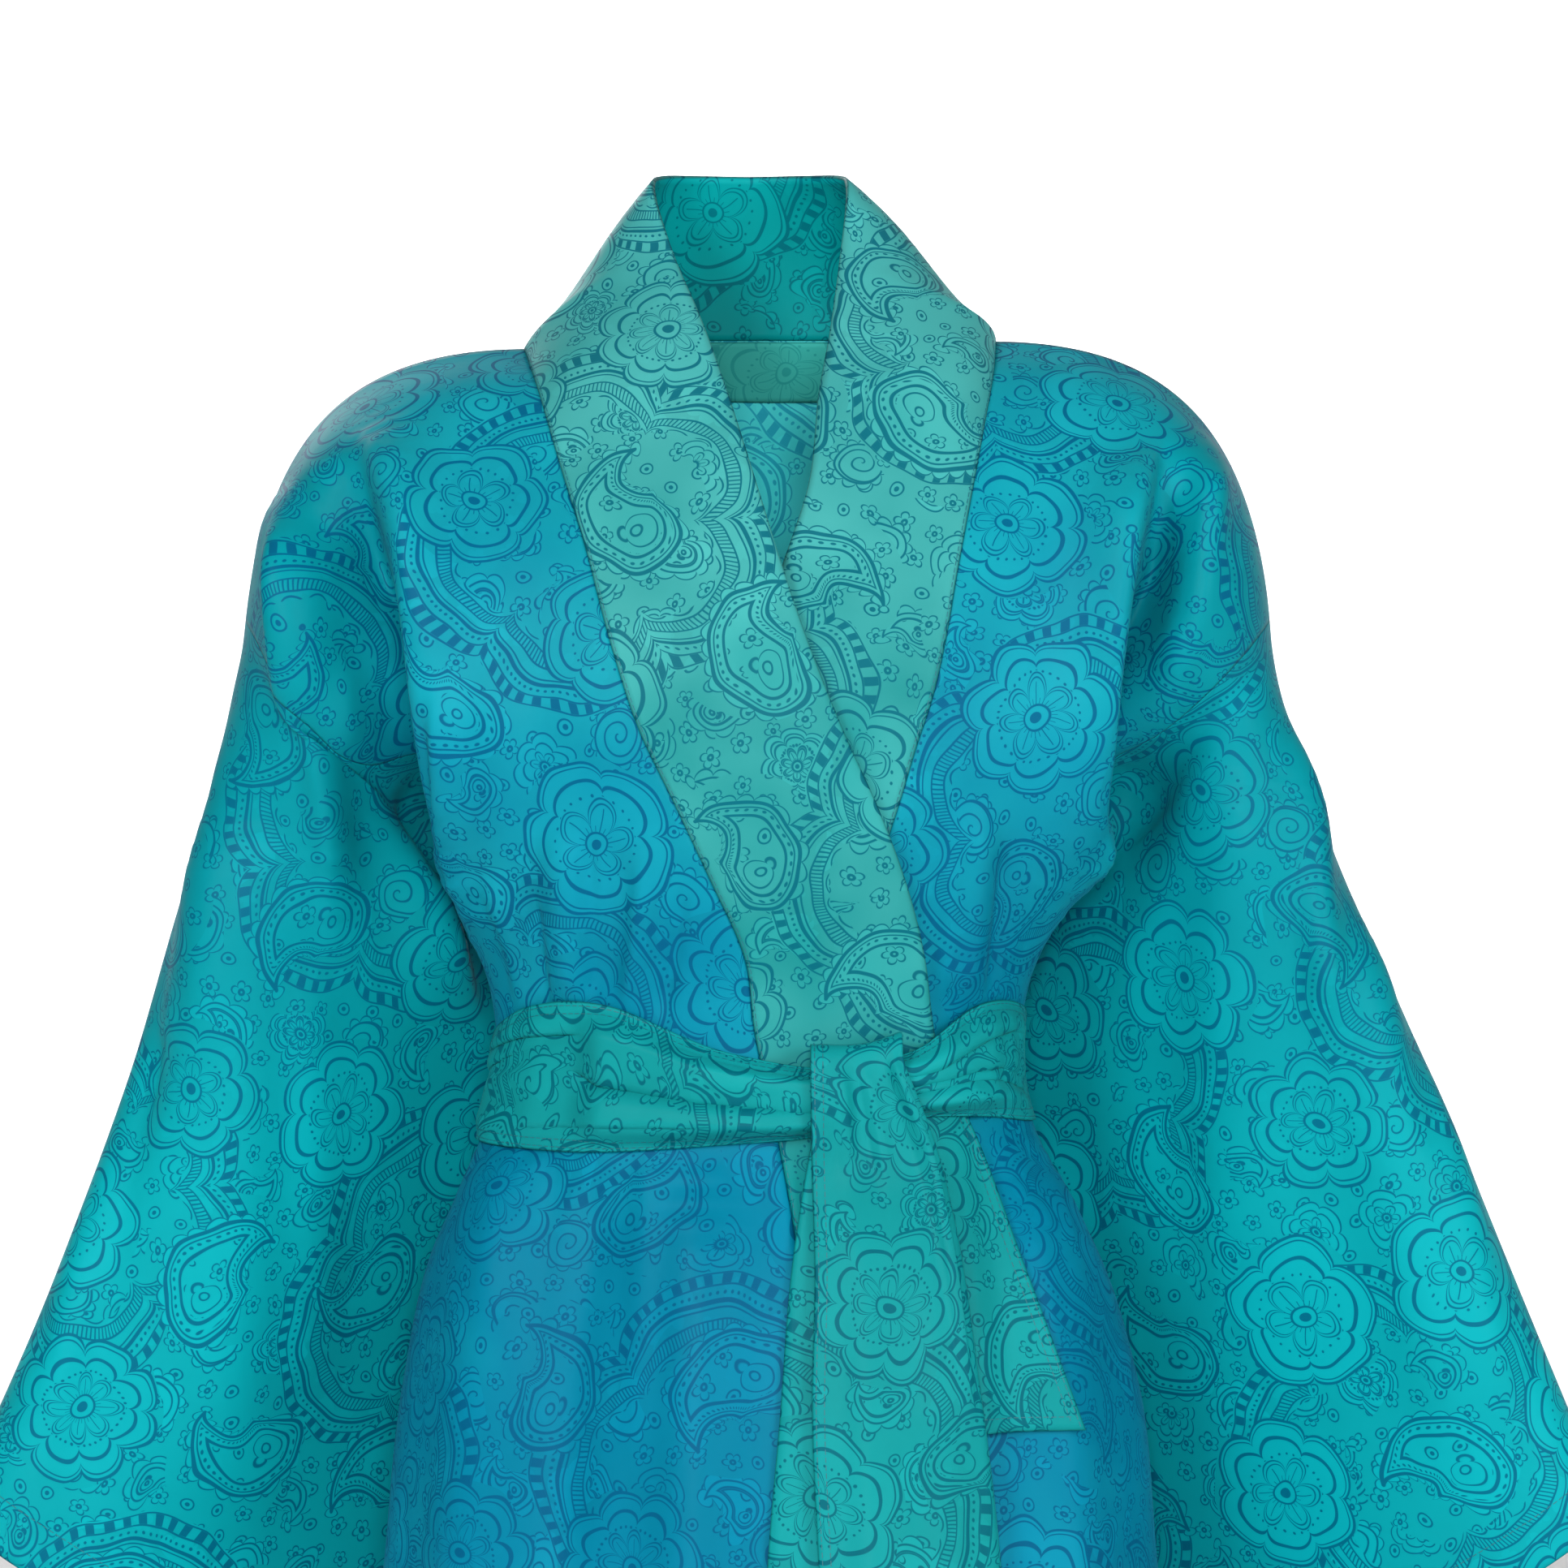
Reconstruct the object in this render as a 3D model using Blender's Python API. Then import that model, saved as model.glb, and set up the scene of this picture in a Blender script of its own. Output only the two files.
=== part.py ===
"""A wrap robe cut like a kimono, hollow, as it hangs from a wearer's shoulders with its sash tied.

Metres, +Z up. The robe faces -Y, so +X is on the right of someone looking at its front.
The origin is between the neck points of the shoulder seams, where the wearer's shoulders carry it.
Each panel is a net of points, rows by columns, that a wall of cloth is made round.
"""

import math
from collections import namedtuple
from copy import copy

import bmesh
import bpy
import numpy as np
from mathutils import Vector
from mathutils.bvhtree import BVHTree

# Cloth and seams
CLOTH = 0.0012
SEAM_INSET = 0.00022
GAP = 0.0003
OUTER_LAYER = -0.0045
INNER_LAYER = 0.0020
OVERLAP_REACH = (0.55, 0.95)

# The body
UNDERARM_Z = -0.245
ROUNDNESS = 2.2
HEM_Z = -1.020

# The curves across the chest and the shoulder blades: how they leave the neck side, and how far their handles
# reach as a share of the span, at the underarm and what is added at the shoulder
SHOULDER_TUCK = 0.03
CHEST_TURN = 0.12
CHEST_ROLL = 0.30
CHEST_RISE = 0.10
ARM_REACH = (0.36, 0.11)
NECK_REACH = (0.42, 0.05)
LIFT_SHARE = 0.5

# Counts of rows and columns
YOKE_ROWS = 12
SIDE_COLUMNS = 13
NECK_COLUMNS = 5
SLEEVE_ROWS = 15
BAND_COLUMNS = 4
CURVE_SAMPLES = 2000

# Rings of the body from the hem up: half width, depth to the front and back, and the middle's shift to +X
Ring = namedtuple("Ring", "z half front back shift")
TORSO = (
    Ring(HEM_Z, 0.236, 0.150, 0.142, 0.008),
    Ring(-0.800, 0.218, 0.143, 0.135, 0.008),
    Ring(-0.612, 0.195, 0.135, 0.127, 0.006),
    Ring(-0.517, 0.185, 0.128, 0.121, 0.006),
    Ring(-0.450, 0.167, 0.116, 0.110, 0.003),
    Ring(-0.405, 0.144, 0.102, 0.097, 0.001),
    Ring(-0.360, 0.132, 0.094, 0.088, 0.000),
    Ring(-0.320, 0.135, 0.098, 0.090, 0.000),
    Ring(-0.280, 0.149, 0.113, 0.098, 0.001),
    Ring(UNDERARM_Z, 0.160, 0.126, 0.104, 0.003),
    Ring(-0.190, 0.164, 0.134, 0.108, 0.003),
    Ring(-0.140, 0.167, 0.127, 0.109, 0.002),
    Ring(-0.100, 0.168, 0.115, 0.107, 0.001),
    Ring(-0.050, 0.170, 0.085, 0.103, 0.000),
)
ROW_HEIGHTS = (
    HEM_Z, -0.94, -0.86, -0.78, -0.70, -0.63, -0.57, -0.52, -0.475,
    -0.435, -0.40, -0.365, -0.33, -0.30, -0.27, UNDERARM_Z,
)

# The panels and the band are divided into solids of their own, from row to row and column to column,
# so that collision can follow them closely. The cross cuts of the back and the fronts lie under the sash.
WAIST_ROW = 11
ELBOW_ROW = 8
HALF_BACK = NECK_COLUMNS + SIDE_COLUMNS
LAST_ROW = len(ROW_HEIGHTS) + YOKE_ROWS - 1
BAND_MIDDLE = LAST_ROW + NECK_COLUMNS
BAND_NECK = 8
Portion = namedtuple("Portion", "panel name first_row last_row first_column last_column")
PORTIONS = (
    Portion("back", "back_skirt_right", 0, WAIST_ROW, 0, HALF_BACK),
    Portion("back", "back_skirt_left", 0, WAIST_ROW, HALF_BACK, 2 * HALF_BACK),
    Portion("back", "back_upper_right", WAIST_ROW, LAST_ROW, 0, HALF_BACK),
    Portion("back", "back_upper_left", WAIST_ROW, LAST_ROW, HALF_BACK, 2 * HALF_BACK),
    Portion("front_outer", "front_outer_skirt", 0, WAIST_ROW, 0, SIDE_COLUMNS),
    Portion("front_outer", "front_outer_upper", WAIST_ROW, LAST_ROW, 0, SIDE_COLUMNS),
    Portion("front_inner", "front_inner_skirt", 0, WAIST_ROW, 0, SIDE_COLUMNS),
    Portion("front_inner", "front_inner_upper", WAIST_ROW, LAST_ROW, 0, SIDE_COLUMNS),
    Portion("sleeve_right", "sleeve_right_upper", 0, ELBOW_ROW, 0, 2 * YOKE_ROWS),
    Portion("sleeve_right", "sleeve_right_lower", ELBOW_ROW, SLEEVE_ROWS, 0, 2 * YOKE_ROWS),
    Portion("sleeve_left", "sleeve_left_upper", 0, ELBOW_ROW, 0, 2 * YOKE_ROWS),
    Portion("sleeve_left", "sleeve_left_lower", ELBOW_ROW, SLEEVE_ROWS, 0, 2 * YOKE_ROWS),
    Portion("neckband", "neckband_right", 0, BAND_MIDDLE - BAND_NECK, 0, BAND_COLUMNS),
    Portion("neckband", "neckband_neck", BAND_MIDDLE - BAND_NECK, BAND_MIDDLE + BAND_NECK, 0, BAND_COLUMNS),
    Portion("neckband", "neckband_left", BAND_MIDDLE + BAND_NECK, 2 * BAND_MIDDLE, 0, BAND_COLUMNS),
)

# Where the band is sewn to each front, from the shoulder down. A y of None is the body ring's own.
Edge = namedtuple("Edge", "x y z")
OUTER_SEAM = (
    Edge(-0.1180, 0.005, 0.0040),
    Edge(-0.1085, -0.045, -0.0215),
    Edge(-0.0954, -0.080, -0.0642),
    Edge(-0.0836, -0.105, -0.1010),
    Edge(-0.0700, None, -0.1507),
    Edge(-0.0570, None, -0.1897),
    Edge(-0.0412, None, -0.2227),
    Edge(-0.0217, None, -0.2645),
    Edge(-0.0058, None, -0.3022),
    Edge(-0.0020, None, -0.3340),
    Edge(0.0100, None, -0.3900),
    Edge(0.0200, None, -0.4500),
    Edge(0.0240, None, -0.6100),
    Edge(0.0260, None, HEM_Z),
)
INNER_SEAM = (
    Edge(0.1190, 0.005, 0.0078),
    Edge(0.1160, -0.036, -0.0130),
    Edge(0.1105, -0.064, -0.0415),
    Edge(0.1040, -0.086, -0.0760),
    Edge(0.0975, -0.101, -0.1097),
    Edge(0.0915, None, -0.1428),
    Edge(0.0844, None, -0.1738),
    Edge(0.0765, None, -0.1976),
    Edge(0.0670, None, -0.2290),
    Edge(0.0450, None, -0.2900),
    Edge(0.0200, None, -0.3450),
    Edge(-0.0050, None, -0.4000),
    Edge(-0.0200, None, -0.4500),
    Edge(-0.0240, None, -0.6100),
    Edge(-0.0260, None, HEM_Z),
)

# The band's free edge on each front, from the side of the neck down
OUTER_EDGE = (
    Edge(-0.0534, 0.008, 0.0885),
    Edge(-0.0420, -0.020, 0.0486),
    Edge(-0.0282, -0.048, 0.0143),
    Edge(-0.0148, -0.075, -0.0241),
    Edge(-0.0010, -0.102, -0.0681),
    Edge(0.0118, -0.120, -0.1100),
    Edge(0.0256, None, -0.1505),
    Edge(0.0412, None, -0.1898),
    Edge(0.0589, None, -0.2290),
    Edge(0.0709, None, -0.2606),
    Edge(0.0812, None, -0.3000),
    Edge(0.0853, None, -0.3325),
    Edge(0.0960, None, -0.3900),
    Edge(0.1040, None, -0.4500),
    Edge(0.1120, None, -0.6100),
    Edge(0.1160, None, HEM_Z),
)
INNER_EDGE = (
    Edge(0.0444, 0.008, 0.0885),
    Edge(0.0407, -0.020, 0.0486),
    Edge(0.0355, -0.048, 0.0077),
    Edge(0.0300, -0.068, -0.0239),
    Edge(0.0250, -0.090, -0.0678),
    Edge(0.0119, -0.106, -0.1096),
    Edge(-0.0050, None, -0.1600),
    Edge(-0.0220, None, -0.2100),
    Edge(-0.0450, None, -0.2700),
    Edge(-0.0680, None, -0.3300),
    Edge(-0.0900, None, -0.4000),
    Edge(-0.1040, None, -0.4500),
    Edge(-0.1120, None, -0.6100),
    Edge(-0.1160, None, HEM_Z),
)

# The back of the neck, from the middle of the back to the wearer's right shoulder
BACK_NECK_SEAM = (Edge(0.0, 0.085, 0.0146), Edge(-0.055, 0.074, 0.0135), Edge(-0.098, 0.040, 0.0100))
BACK_NECK_EDGE = (Edge(-0.004, 0.062, 0.0970), Edge(-0.030, 0.054, 0.0965), Edge(-0.049, 0.032, 0.0940))

# Lines up the back, from the underarm's height to the neck: down the middle, and over the shoulder blades
BackStop = namedtuple("BackStop", "share y z")
BACK_MIDDLE = (BackStop(0.55, 0.108, -0.100),)
BLADE_LINE = (BackStop(0.60, 0.092, -0.088), BackStop(0.85, 0.052, -0.026))
BACK_HOLLOW = 0.024
NECK_BEND = 2.5

# How far the band rolls outwards, low down and over each shoulder, and the line that it rolls away from
LOW_CROWN = 0.004
NECK_CROWN = (0.012, 0.020)
CROWN_CENTRE = (0.0, 0.03, 0.0)
LAPEL_LOW = (-0.10, -0.14)
NECK_SIDE = 0.08
BAND_PASSES = 3

FACING_SPACE = 0.0013
FACING_ROWS = (1.45, 1.0, 0.06)

# Sleeves by share of their length: the outer fold, the seam under the arm, the depth to the front and back of the
# line between them, and how far the front's depth leans to the outer fold
SleeveLine = namedtuple("SleeveLine", "share outer_x outer_y outer_z under_x under_y under_z front back lean")
RIGHT_SLEEVE = (
    SleeveLine(0.00, -0.2580, 0.000, -0.132, -0.157, 0.000, UNDERARM_Z, 0.050, 0.060, 0.80),
    SleeveLine(0.07, -0.2600, 0.001, -0.147, -0.160, 0.006, -0.262, 0.050, 0.058, 0.80),
    SleeveLine(0.17, -0.2650, 0.002, -0.170, -0.148, 0.034, -0.287, 0.050, 0.054, 0.80),
    SleeveLine(0.33, -0.2760, 0.004, -0.222, -0.125, 0.066, -0.345, 0.048, 0.048, 0.80),
    SleeveLine(0.50, -0.2960, 0.006, -0.288, -0.127, 0.090, -0.420, 0.048, 0.044, 0.80),
    SleeveLine(0.67, -0.3210, 0.008, -0.371, -0.140, 0.108, -0.510, 0.046, 0.040, 0.80),
    SleeveLine(0.83, -0.3600, 0.010, -0.475, -0.162, 0.116, -0.622, 0.044, 0.040, 0.80),
    SleeveLine(1.00, -0.4080, 0.012, -0.584, -0.192, 0.118, -0.736, 0.042, 0.042, 0.80),
)
LEFT_SLEEVE = (
    SleeveLine(0.00, 0.2570, 0.000, -0.132, 0.163, 0.000, UNDERARM_Z, 0.050, 0.060, 0.80),
    SleeveLine(0.07, 0.2585, 0.001, -0.147, 0.166, 0.006, -0.262, 0.050, 0.058, 0.80),
    SleeveLine(0.17, 0.2630, 0.002, -0.170, 0.154, 0.034, -0.287, 0.050, 0.054, 0.80),
    SleeveLine(0.33, 0.2790, 0.004, -0.222, 0.130, 0.066, -0.345, 0.048, 0.048, 0.80),
    SleeveLine(0.50, 0.3060, 0.006, -0.288, 0.132, 0.090, -0.420, 0.048, 0.044, 0.80),
    SleeveLine(0.67, 0.3430, 0.008, -0.371, 0.149, 0.108, -0.510, 0.046, 0.040, 0.80),
    SleeveLine(0.83, 0.3860, 0.010, -0.475, 0.175, 0.116, -0.624, 0.044, 0.040, 0.80),
    SleeveLine(1.00, 0.4310, 0.012, -0.584, 0.208, 0.118, -0.740, 0.042, 0.042, 0.80),
)
UNDERARM_EASE = 0.0017

# Folds as seen from the front or the back: three points of the crest, how far it fades to each side, and its height
Fold = namedtuple("Fold", "x0 z0 x1 z1 x2 z2 left right height")
FRONT_FOLDS = (
    Fold(-0.196, -0.030, -0.166, -0.134, -0.142, -0.300, 0.012, 0.030, 0.014),
    Fold(-0.204, -0.055, -0.184, -0.160, -0.160, -0.275, 0.022, 0.015, -0.026),
    Fold(-0.232, -0.060, -0.230, -0.150, -0.214, -0.300, 0.014, 0.020, 0.009),
    Fold(-0.220, -0.165, -0.190, -0.240, -0.160, -0.350, 0.012, 0.014, 0.006),
    Fold(0.194, -0.045, 0.176, -0.150, 0.150, -0.300, 0.030, 0.012, 0.014),
    Fold(0.212, -0.055, 0.194, -0.160, 0.168, -0.270, 0.015, 0.022, -0.026),
    Fold(0.216, -0.030, 0.216, -0.130, 0.168, -0.250, 0.014, 0.012, 0.010),
    Fold(0.250, -0.200, 0.235, -0.330, 0.250, -0.560, 0.020, 0.030, 0.008),
    Fold(0.300, -0.260, 0.320, -0.400, 0.370, -0.600, 0.022, 0.022, 0.008),
    Fold(-0.262, -0.220, -0.264, -0.380, -0.270, -0.620, 0.026, 0.026, 0.009),
    Fold(-0.300, -0.330, -0.322, -0.430, -0.350, -0.640, 0.020, 0.020, -0.007),
    Fold(-0.095, -0.230, -0.094, -0.280, -0.090, -0.330, 0.010, 0.012, 0.007),
    Fold(-0.066, -0.240, -0.072, -0.285, -0.078, -0.330, 0.008, 0.010, -0.005),
    Fold(0.108, -0.220, 0.104, -0.275, 0.100, -0.330, 0.010, 0.010, 0.007),
    Fold(-0.118, -0.390, -0.140, -0.520, -0.150, -0.860, 0.018, 0.020, 0.010),
    Fold(-0.075, -0.395, -0.090, -0.500, -0.098, -0.640, 0.014, 0.016, -0.006),
    Fold(-0.028, -0.395, -0.034, -0.520, -0.044, -1.080, 0.018, 0.020, 0.010),
    Fold(0.128, -0.385, 0.150, -0.520, 0.168, -0.960, 0.018, 0.020, 0.011),
    Fold(-0.108, -0.640, -0.114, -0.860, -0.122, -1.120, 0.026, 0.026, 0.014),
    Fold(0.060, -0.560, 0.066, -0.800, 0.072, -1.120, 0.028, 0.028, 0.011),
)
BACK_FOLDS = (
    Fold(-0.196, -0.030, -0.168, -0.134, -0.140, -0.300, 0.012, 0.030, 0.013),
    Fold(-0.204, -0.055, -0.184, -0.160, -0.158, -0.275, 0.018, 0.012, -0.020),
    Fold(0.196, -0.030, 0.172, -0.134, 0.146, -0.300, 0.030, 0.012, 0.013),
    Fold(0.206, -0.055, 0.188, -0.160, 0.162, -0.275, 0.012, 0.018, -0.020),
    Fold(-0.070, -0.220, -0.062, -0.275, -0.056, -0.330, 0.012, 0.012, 0.007),
    Fold(0.010, -0.215, 0.008, -0.270, 0.006, -0.330, 0.012, 0.012, 0.006),
    Fold(0.082, -0.225, 0.074, -0.280, 0.068, -0.330, 0.012, 0.012, 0.007),
    Fold(-0.090, -0.385, -0.112, -0.640, -0.134, -1.120, 0.024, 0.026, 0.015),
    Fold(-0.028, -0.390, -0.036, -0.620, -0.044, -1.060, 0.020, 0.024, 0.010),
    Fold(0.036, -0.385, 0.046, -0.660, 0.054, -1.120, 0.022, 0.026, 0.014),
    Fold(0.104, -0.390, 0.126, -0.600, 0.148, -1.100, 0.020, 0.024, 0.012),
    Fold(-0.250, -0.250, -0.262, -0.400, -0.290, -0.660, 0.024, 0.024, 0.009),
    Fold(0.262, -0.250, 0.280, -0.400, 0.312, -0.660, 0.024, 0.024, 0.009),
)
FOLD_SAMPLES = 25
FOLD_FADE = 0.25
UNDERARM_FADE = 0.28
SHOULDER_FADE = 0.12
SIDE_FADE = 0.15

# Laying cloth on what is under it
LAY_STEPS = 3
LAY_REACH = 0.25
LAY_PASSES = 6

# The sash round the waist, from the left side seam by the front: its edges
SASH_CLOTH = 0.0016
SASH_ROWS = 6
SASH_COLUMNS = 56
ANGLE_STEP = 0.01
SashStation = namedtuple("SashStation", "degrees bottom top")
SASH = (
    SashStation(0, -0.3850, -0.3340),
    SashStation(15, -0.3840, -0.3260),
    SashStation(38, -0.3800, -0.3250),
    SashStation(60, -0.3790, -0.3470),
    SashStation(70, -0.3810, -0.3515),
    SashStation(81, -0.3880, -0.3540),
    SashStation(95, -0.3915, -0.3470),
    SashStation(121, -0.3960, -0.3240),
    SashStation(145, -0.3955, -0.3260),
    SashStation(160, -0.3945, -0.3340),
    SashStation(180, -0.3935, -0.3440),
    SashStation(225, -0.3900, -0.3270),
    SashStation(270, -0.3860, -0.3230),
    SashStation(315, -0.3850, -0.3250),
    SashStation(345, -0.3850, -0.3290),
    SashStation(360, -0.3850, -0.3340),
)
Crease = namedtuple("Crease", "from_degrees to_degrees from_share to_share width depth")
SASH_CREASES = (
    Crease(4, 62, 0.30, 0.55, 0.16, 0.0022),
    Crease(12, 64, 0.75, 0.70, 0.14, 0.0020),
    Crease(84, 128, 0.62, 0.55, 0.14, 0.0024),
    Crease(132, 188, 0.72, 0.62, 0.13, 0.0022),
    Crease(190, 300, 0.45, 0.52, 0.16, 0.0022),
    Crease(250, 352, 0.75, 0.66, 0.14, 0.0018),
)
CREASE_FADE = 0.2

# The long tail comes from behind the sash, over its top edge and down in front. Its right side is turned under,
# and its two layers stand twice the spread apart.
TailSection = namedtuple("TailSection", "z left right under spread")
LONG_TAIL = (
    TailSection(-0.3440, 0.0255, 0.0700, 0.0330, 0.0012),
    TailSection(-0.3900, 0.0262, 0.0850, 0.0240, 0.0016),
    TailSection(-0.4400, 0.0275, 0.0960, 0.0165, 0.0026),
    TailSection(-0.5100, 0.0262, 0.1060, 0.0110, 0.0030),
    TailSection(-0.6000, 0.0300, 0.1170, 0.0040, 0.0030),
    TailSection(-0.7000, 0.0330, 0.1220, 0.0030, 0.0030),
    TailSection(-0.8600, 0.0350, 0.1260, 0.0030, 0.0030),
)
TAIL_ROWS = 18
TAIL_COLUMNS = (6, 4, 5)
HOOK_DROPS = (0.012, 0.006, 0.0)
BEND_ROWS = 5
BEND_CLEARANCE = 0.001
BASE_X = (-0.010, 0.160)
BASE_COLUMNS = 18

# The short tail comes from under the sash and swings to the right. It is folded in two and pressed.
ShortSection = namedtuple("ShortSection", "z left right")
SHORT_TAIL = (
    ShortSection(-0.3660, 0.0560, 0.0960),
    ShortSection(-0.3790, 0.0560, 0.1026),
    ShortSection(-0.4500, 0.0600, 0.1300),
    ShortSection(-0.5310, 0.0640, 0.1600),
)
SHORT_CLOTH = 0.0016
SHORT_ROWS = 9
SHORT_COLUMNS = 8

Finish = namedtuple("Finish", "colour roughness")
BODY_BLUE = Finish((0.01, 0.26, 0.40), 0.50)
SLEEVE_TEAL = Finish((0.01, 0.40, 0.44), 0.50)
BAND_GREEN = Finish((0.07, 0.45, 0.45), 0.50)
SASH_GREEN = Finish((0.03, 0.32, 0.34), 0.50)
FACING_GREEN = Finish((0.04, 0.26, 0.24), 0.60)


def soft_step(low, high, x):
    t = np.clip((np.asarray(x, float) - low) / (high - low), 0, 1)
    return t * t * (3 - 2 * t)


def unit(v):
    v = np.asarray(v, float)
    return v / np.linalg.norm(v, axis=-1, keepdims=True)


def hermite(knots, values, at):
    """A smooth curve through values at knots, with the slope at each knot taken from its neighbours."""
    knots = np.asarray(knots, float)
    values = np.asarray(values, float)
    at = np.clip(np.asarray(at, float), knots[0], knots[-1])
    slopes = np.gradient(values, knots, axis=0)
    i = np.clip(np.searchsorted(knots, at, side="right") - 1, 0, len(knots) - 2)
    span = knots[i + 1] - knots[i]
    t = (at - knots[i]) / span
    if values.ndim > 1:
        t, span = t[..., None], span[..., None]
    a, b = values[i], values[i + 1]
    start_slope, end_slope = slopes[i] * span, slopes[i + 1] * span
    return (
        a * (2 * t**3 - 3 * t**2 + 1) + start_slope * (t**3 - 2 * t**2 + t)
        + b * (3 * t**2 - 2 * t**3) + end_slope * (t**3 - t**2)
    )


def bezier(a, b, c, d, t):
    t = np.asarray(t)[..., None]
    return a * (1 - t) ** 3 + 3 * b * t * (1 - t) ** 2 + 3 * c * t**2 * (1 - t) + d * t**3


def column_at(table, key, column, at):
    """One column of a table, read at a value of its key column."""
    rows = sorted(table, key=lambda row: getattr(row, key))
    return hermite([getattr(r, key) for r in rows], [getattr(r, column) for r in rows], at)


def torso(column, z):
    return column_at(TORSO, "z", column, z)


def ring_point(angle, z):
    """A point of the body ring. Angle 0 is the side seam at +X, and half pi the middle of the front."""
    c, s = np.cos(angle), np.sin(angle)
    power = 2 / ROUNDNESS
    x = torso("shift", z) + torso("half", z) * np.sign(c) * np.abs(c) ** power
    depth = np.where(s >= 0, torso("front", z), torso("back", z))
    y = -depth * np.sign(s) * np.abs(s) ** power
    return np.stack(np.broadcast_arrays(x, y, z), -1)


def front_angle(x, z):
    """The angle at which the front half of the ring passes a given x."""
    c = np.clip((x - torso("shift", z)) / torso("half", z), -1, 1)
    return np.arccos(np.sign(c) * np.abs(c) ** (ROUNDNESS / 2))


def ring_front_y(x, z):
    return ring_point(front_angle(x, z), z)[..., 1]


def overlap_share(x, z):
    """How much of the overlap's spacing holds at a place: none at the side seams, all where the fronts lap."""
    reach = np.abs((x - torso("shift", z)) / torso("half", z))
    return 1 - soft_step(*OVERLAP_REACH, reach)


def edge_curve(edges, layer):
    """The points of an edge's table, with those on the body filled in."""
    points = []
    for e in edges:
        on_body = ring_front_y(e.x, e.z) + layer * overlap_share(e.x, e.z)
        points.append((e.x, on_body if e.y is None else e.y, e.z))
    return np.array(points, float)


def lengths_of(points):
    steps = np.linalg.norm(np.diff(points, axis=0), axis=-1)
    return np.concatenate([[0], np.cumsum(steps)])


def along(points, at):
    """Points of the smooth curve through points, at given lengths along it."""
    return hermite(lengths_of(points), points, at)


def length_at_height(points, z):
    """How far along a falling curve it reaches a height."""
    fine = np.linspace(0, lengths_of(points)[-1], CURVE_SAMPLES)
    return np.interp(-np.asarray(z), -along(points, fine)[:, 2], fine)


def seam_rows(seam):
    """A front's edge for every row: the heights up to the underarm, then even steps to the shoulder."""
    low = length_at_height(seam, ROW_HEIGHTS)
    yoke = np.linspace(low[-1], 0, YOKE_ROWS + 1)[1:]
    return along(seam, np.concatenate([low, yoke]))


def yoke_share():
    return np.linspace(0, 1, YOKE_ROWS + 1)[1:]


def sleeve_ring(table, t, turn):
    """A point of a sleeve: turn is 0 at the underarm seam, half pi at the front and pi at the outer fold."""
    row = hermite([line.share for line in table], np.array(table), t)
    outer, under, front, back, lean = row[..., 1:4], row[..., 4:7], row[..., 7], row[..., 8], row[..., 9]
    c, s = np.cos(turn)[..., None], np.sin(turn)[..., None]
    line = outer * (1 - c) / 2 + under * (1 + c) / 2
    bulge = np.where(s >= 0, front * s * (1 - lean * c), back * s)
    return line + bulge * np.array([0.0, -1.0, 0.0])


def up_the_sleeve(table, turn):
    """The direction in which a sleeve reaches the armhole."""
    return unit(sleeve_ring(table, 0.0, turn) - sleeve_ring(table, 0.05, turn))


def front_panel(side, seam, sleeve, layer):
    """A front: rows from the hem to the shoulder seam, columns from the side seam or armhole to the band."""
    edge = seam_rows(seam)
    share = np.linspace(0, 1, SIDE_COLUMNS + 1)
    rows = []
    for z, end in zip(ROW_HEIGHTS, edge):
        start_angle = 0.0 if side > 0 else math.pi
        stop_angle = front_angle(end[0], z)
        points = ring_point(start_angle + (stop_angle - start_angle) * share, z)
        points[:, 1] += layer * overlap_share(points[:, 0], z)
        points[-1] = end
        rows.append(points)
    for w, end in zip(yoke_share(), edge[len(ROW_HEIGHTS):]):
        start = sleeve_ring(sleeve, 0.0, np.array(math.pi * w))
        lift = soft_step(0, LIFT_SHARE, w)
        upward = up_the_sleeve(sleeve, np.array(math.pi * w))
        toward_neck = unit(upward * lift + np.array([0.0, -1.0, 0.0]) * (1 - lift))
        turned = SHOULDER_TUCK + CHEST_TURN * (1 - w) + CHEST_ROLL * w * (1 - w)
        toward_arm = unit([side, turned, CHEST_RISE * w * (1 - w)])
        from_arm, from_neck = handle_lengths(start, end, w)
        rows.append(bezier(start, start + toward_neck * from_arm, end + toward_arm * from_neck, end, share))
    return np.array(rows)


def handle_lengths(arm, neck, w):
    """How far the handles of a row of the yoke reach from the arm and from the neck side."""
    span = np.linalg.norm(neck - arm)
    return span * (ARM_REACH[0] + ARM_REACH[1] * w), span * (NECK_REACH[0] + NECK_REACH[1] * w)


def back_neck_curve(mirrored):
    """The seam from the middle of the back neck to a shoulder point, in even steps."""
    sign = -1 if mirrored else 1
    shoulder = INNER_SEAM[0] if mirrored else OUTER_SEAM[0]
    points = np.array([(sign * e.x, e.y, e.z) for e in BACK_NECK_SEAM] + [tuple(shoulder)])
    return along(points, np.linspace(0, lengths_of(points)[-1], NECK_COLUMNS + 1))


def back_panel():
    """The back: rows from the hem to the shoulders, columns from the wearer's right side to the left."""
    half = NECK_COLUMNS + SIDE_COLUMNS
    around = np.linspace(math.pi, 2 * math.pi, 2 * half + 1)
    rows = [ring_point(around, z) for z in ROW_HEIGHTS]
    for w in yoke_share():
        right = back_half_row(w, -1, RIGHT_SLEEVE, back_neck_curve(False))
        left = back_half_row(w, 1, LEFT_SLEEVE, back_neck_curve(True))
        rows.append(np.concatenate([right[::-1], left[1:]]))
    return np.array(rows)


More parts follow.
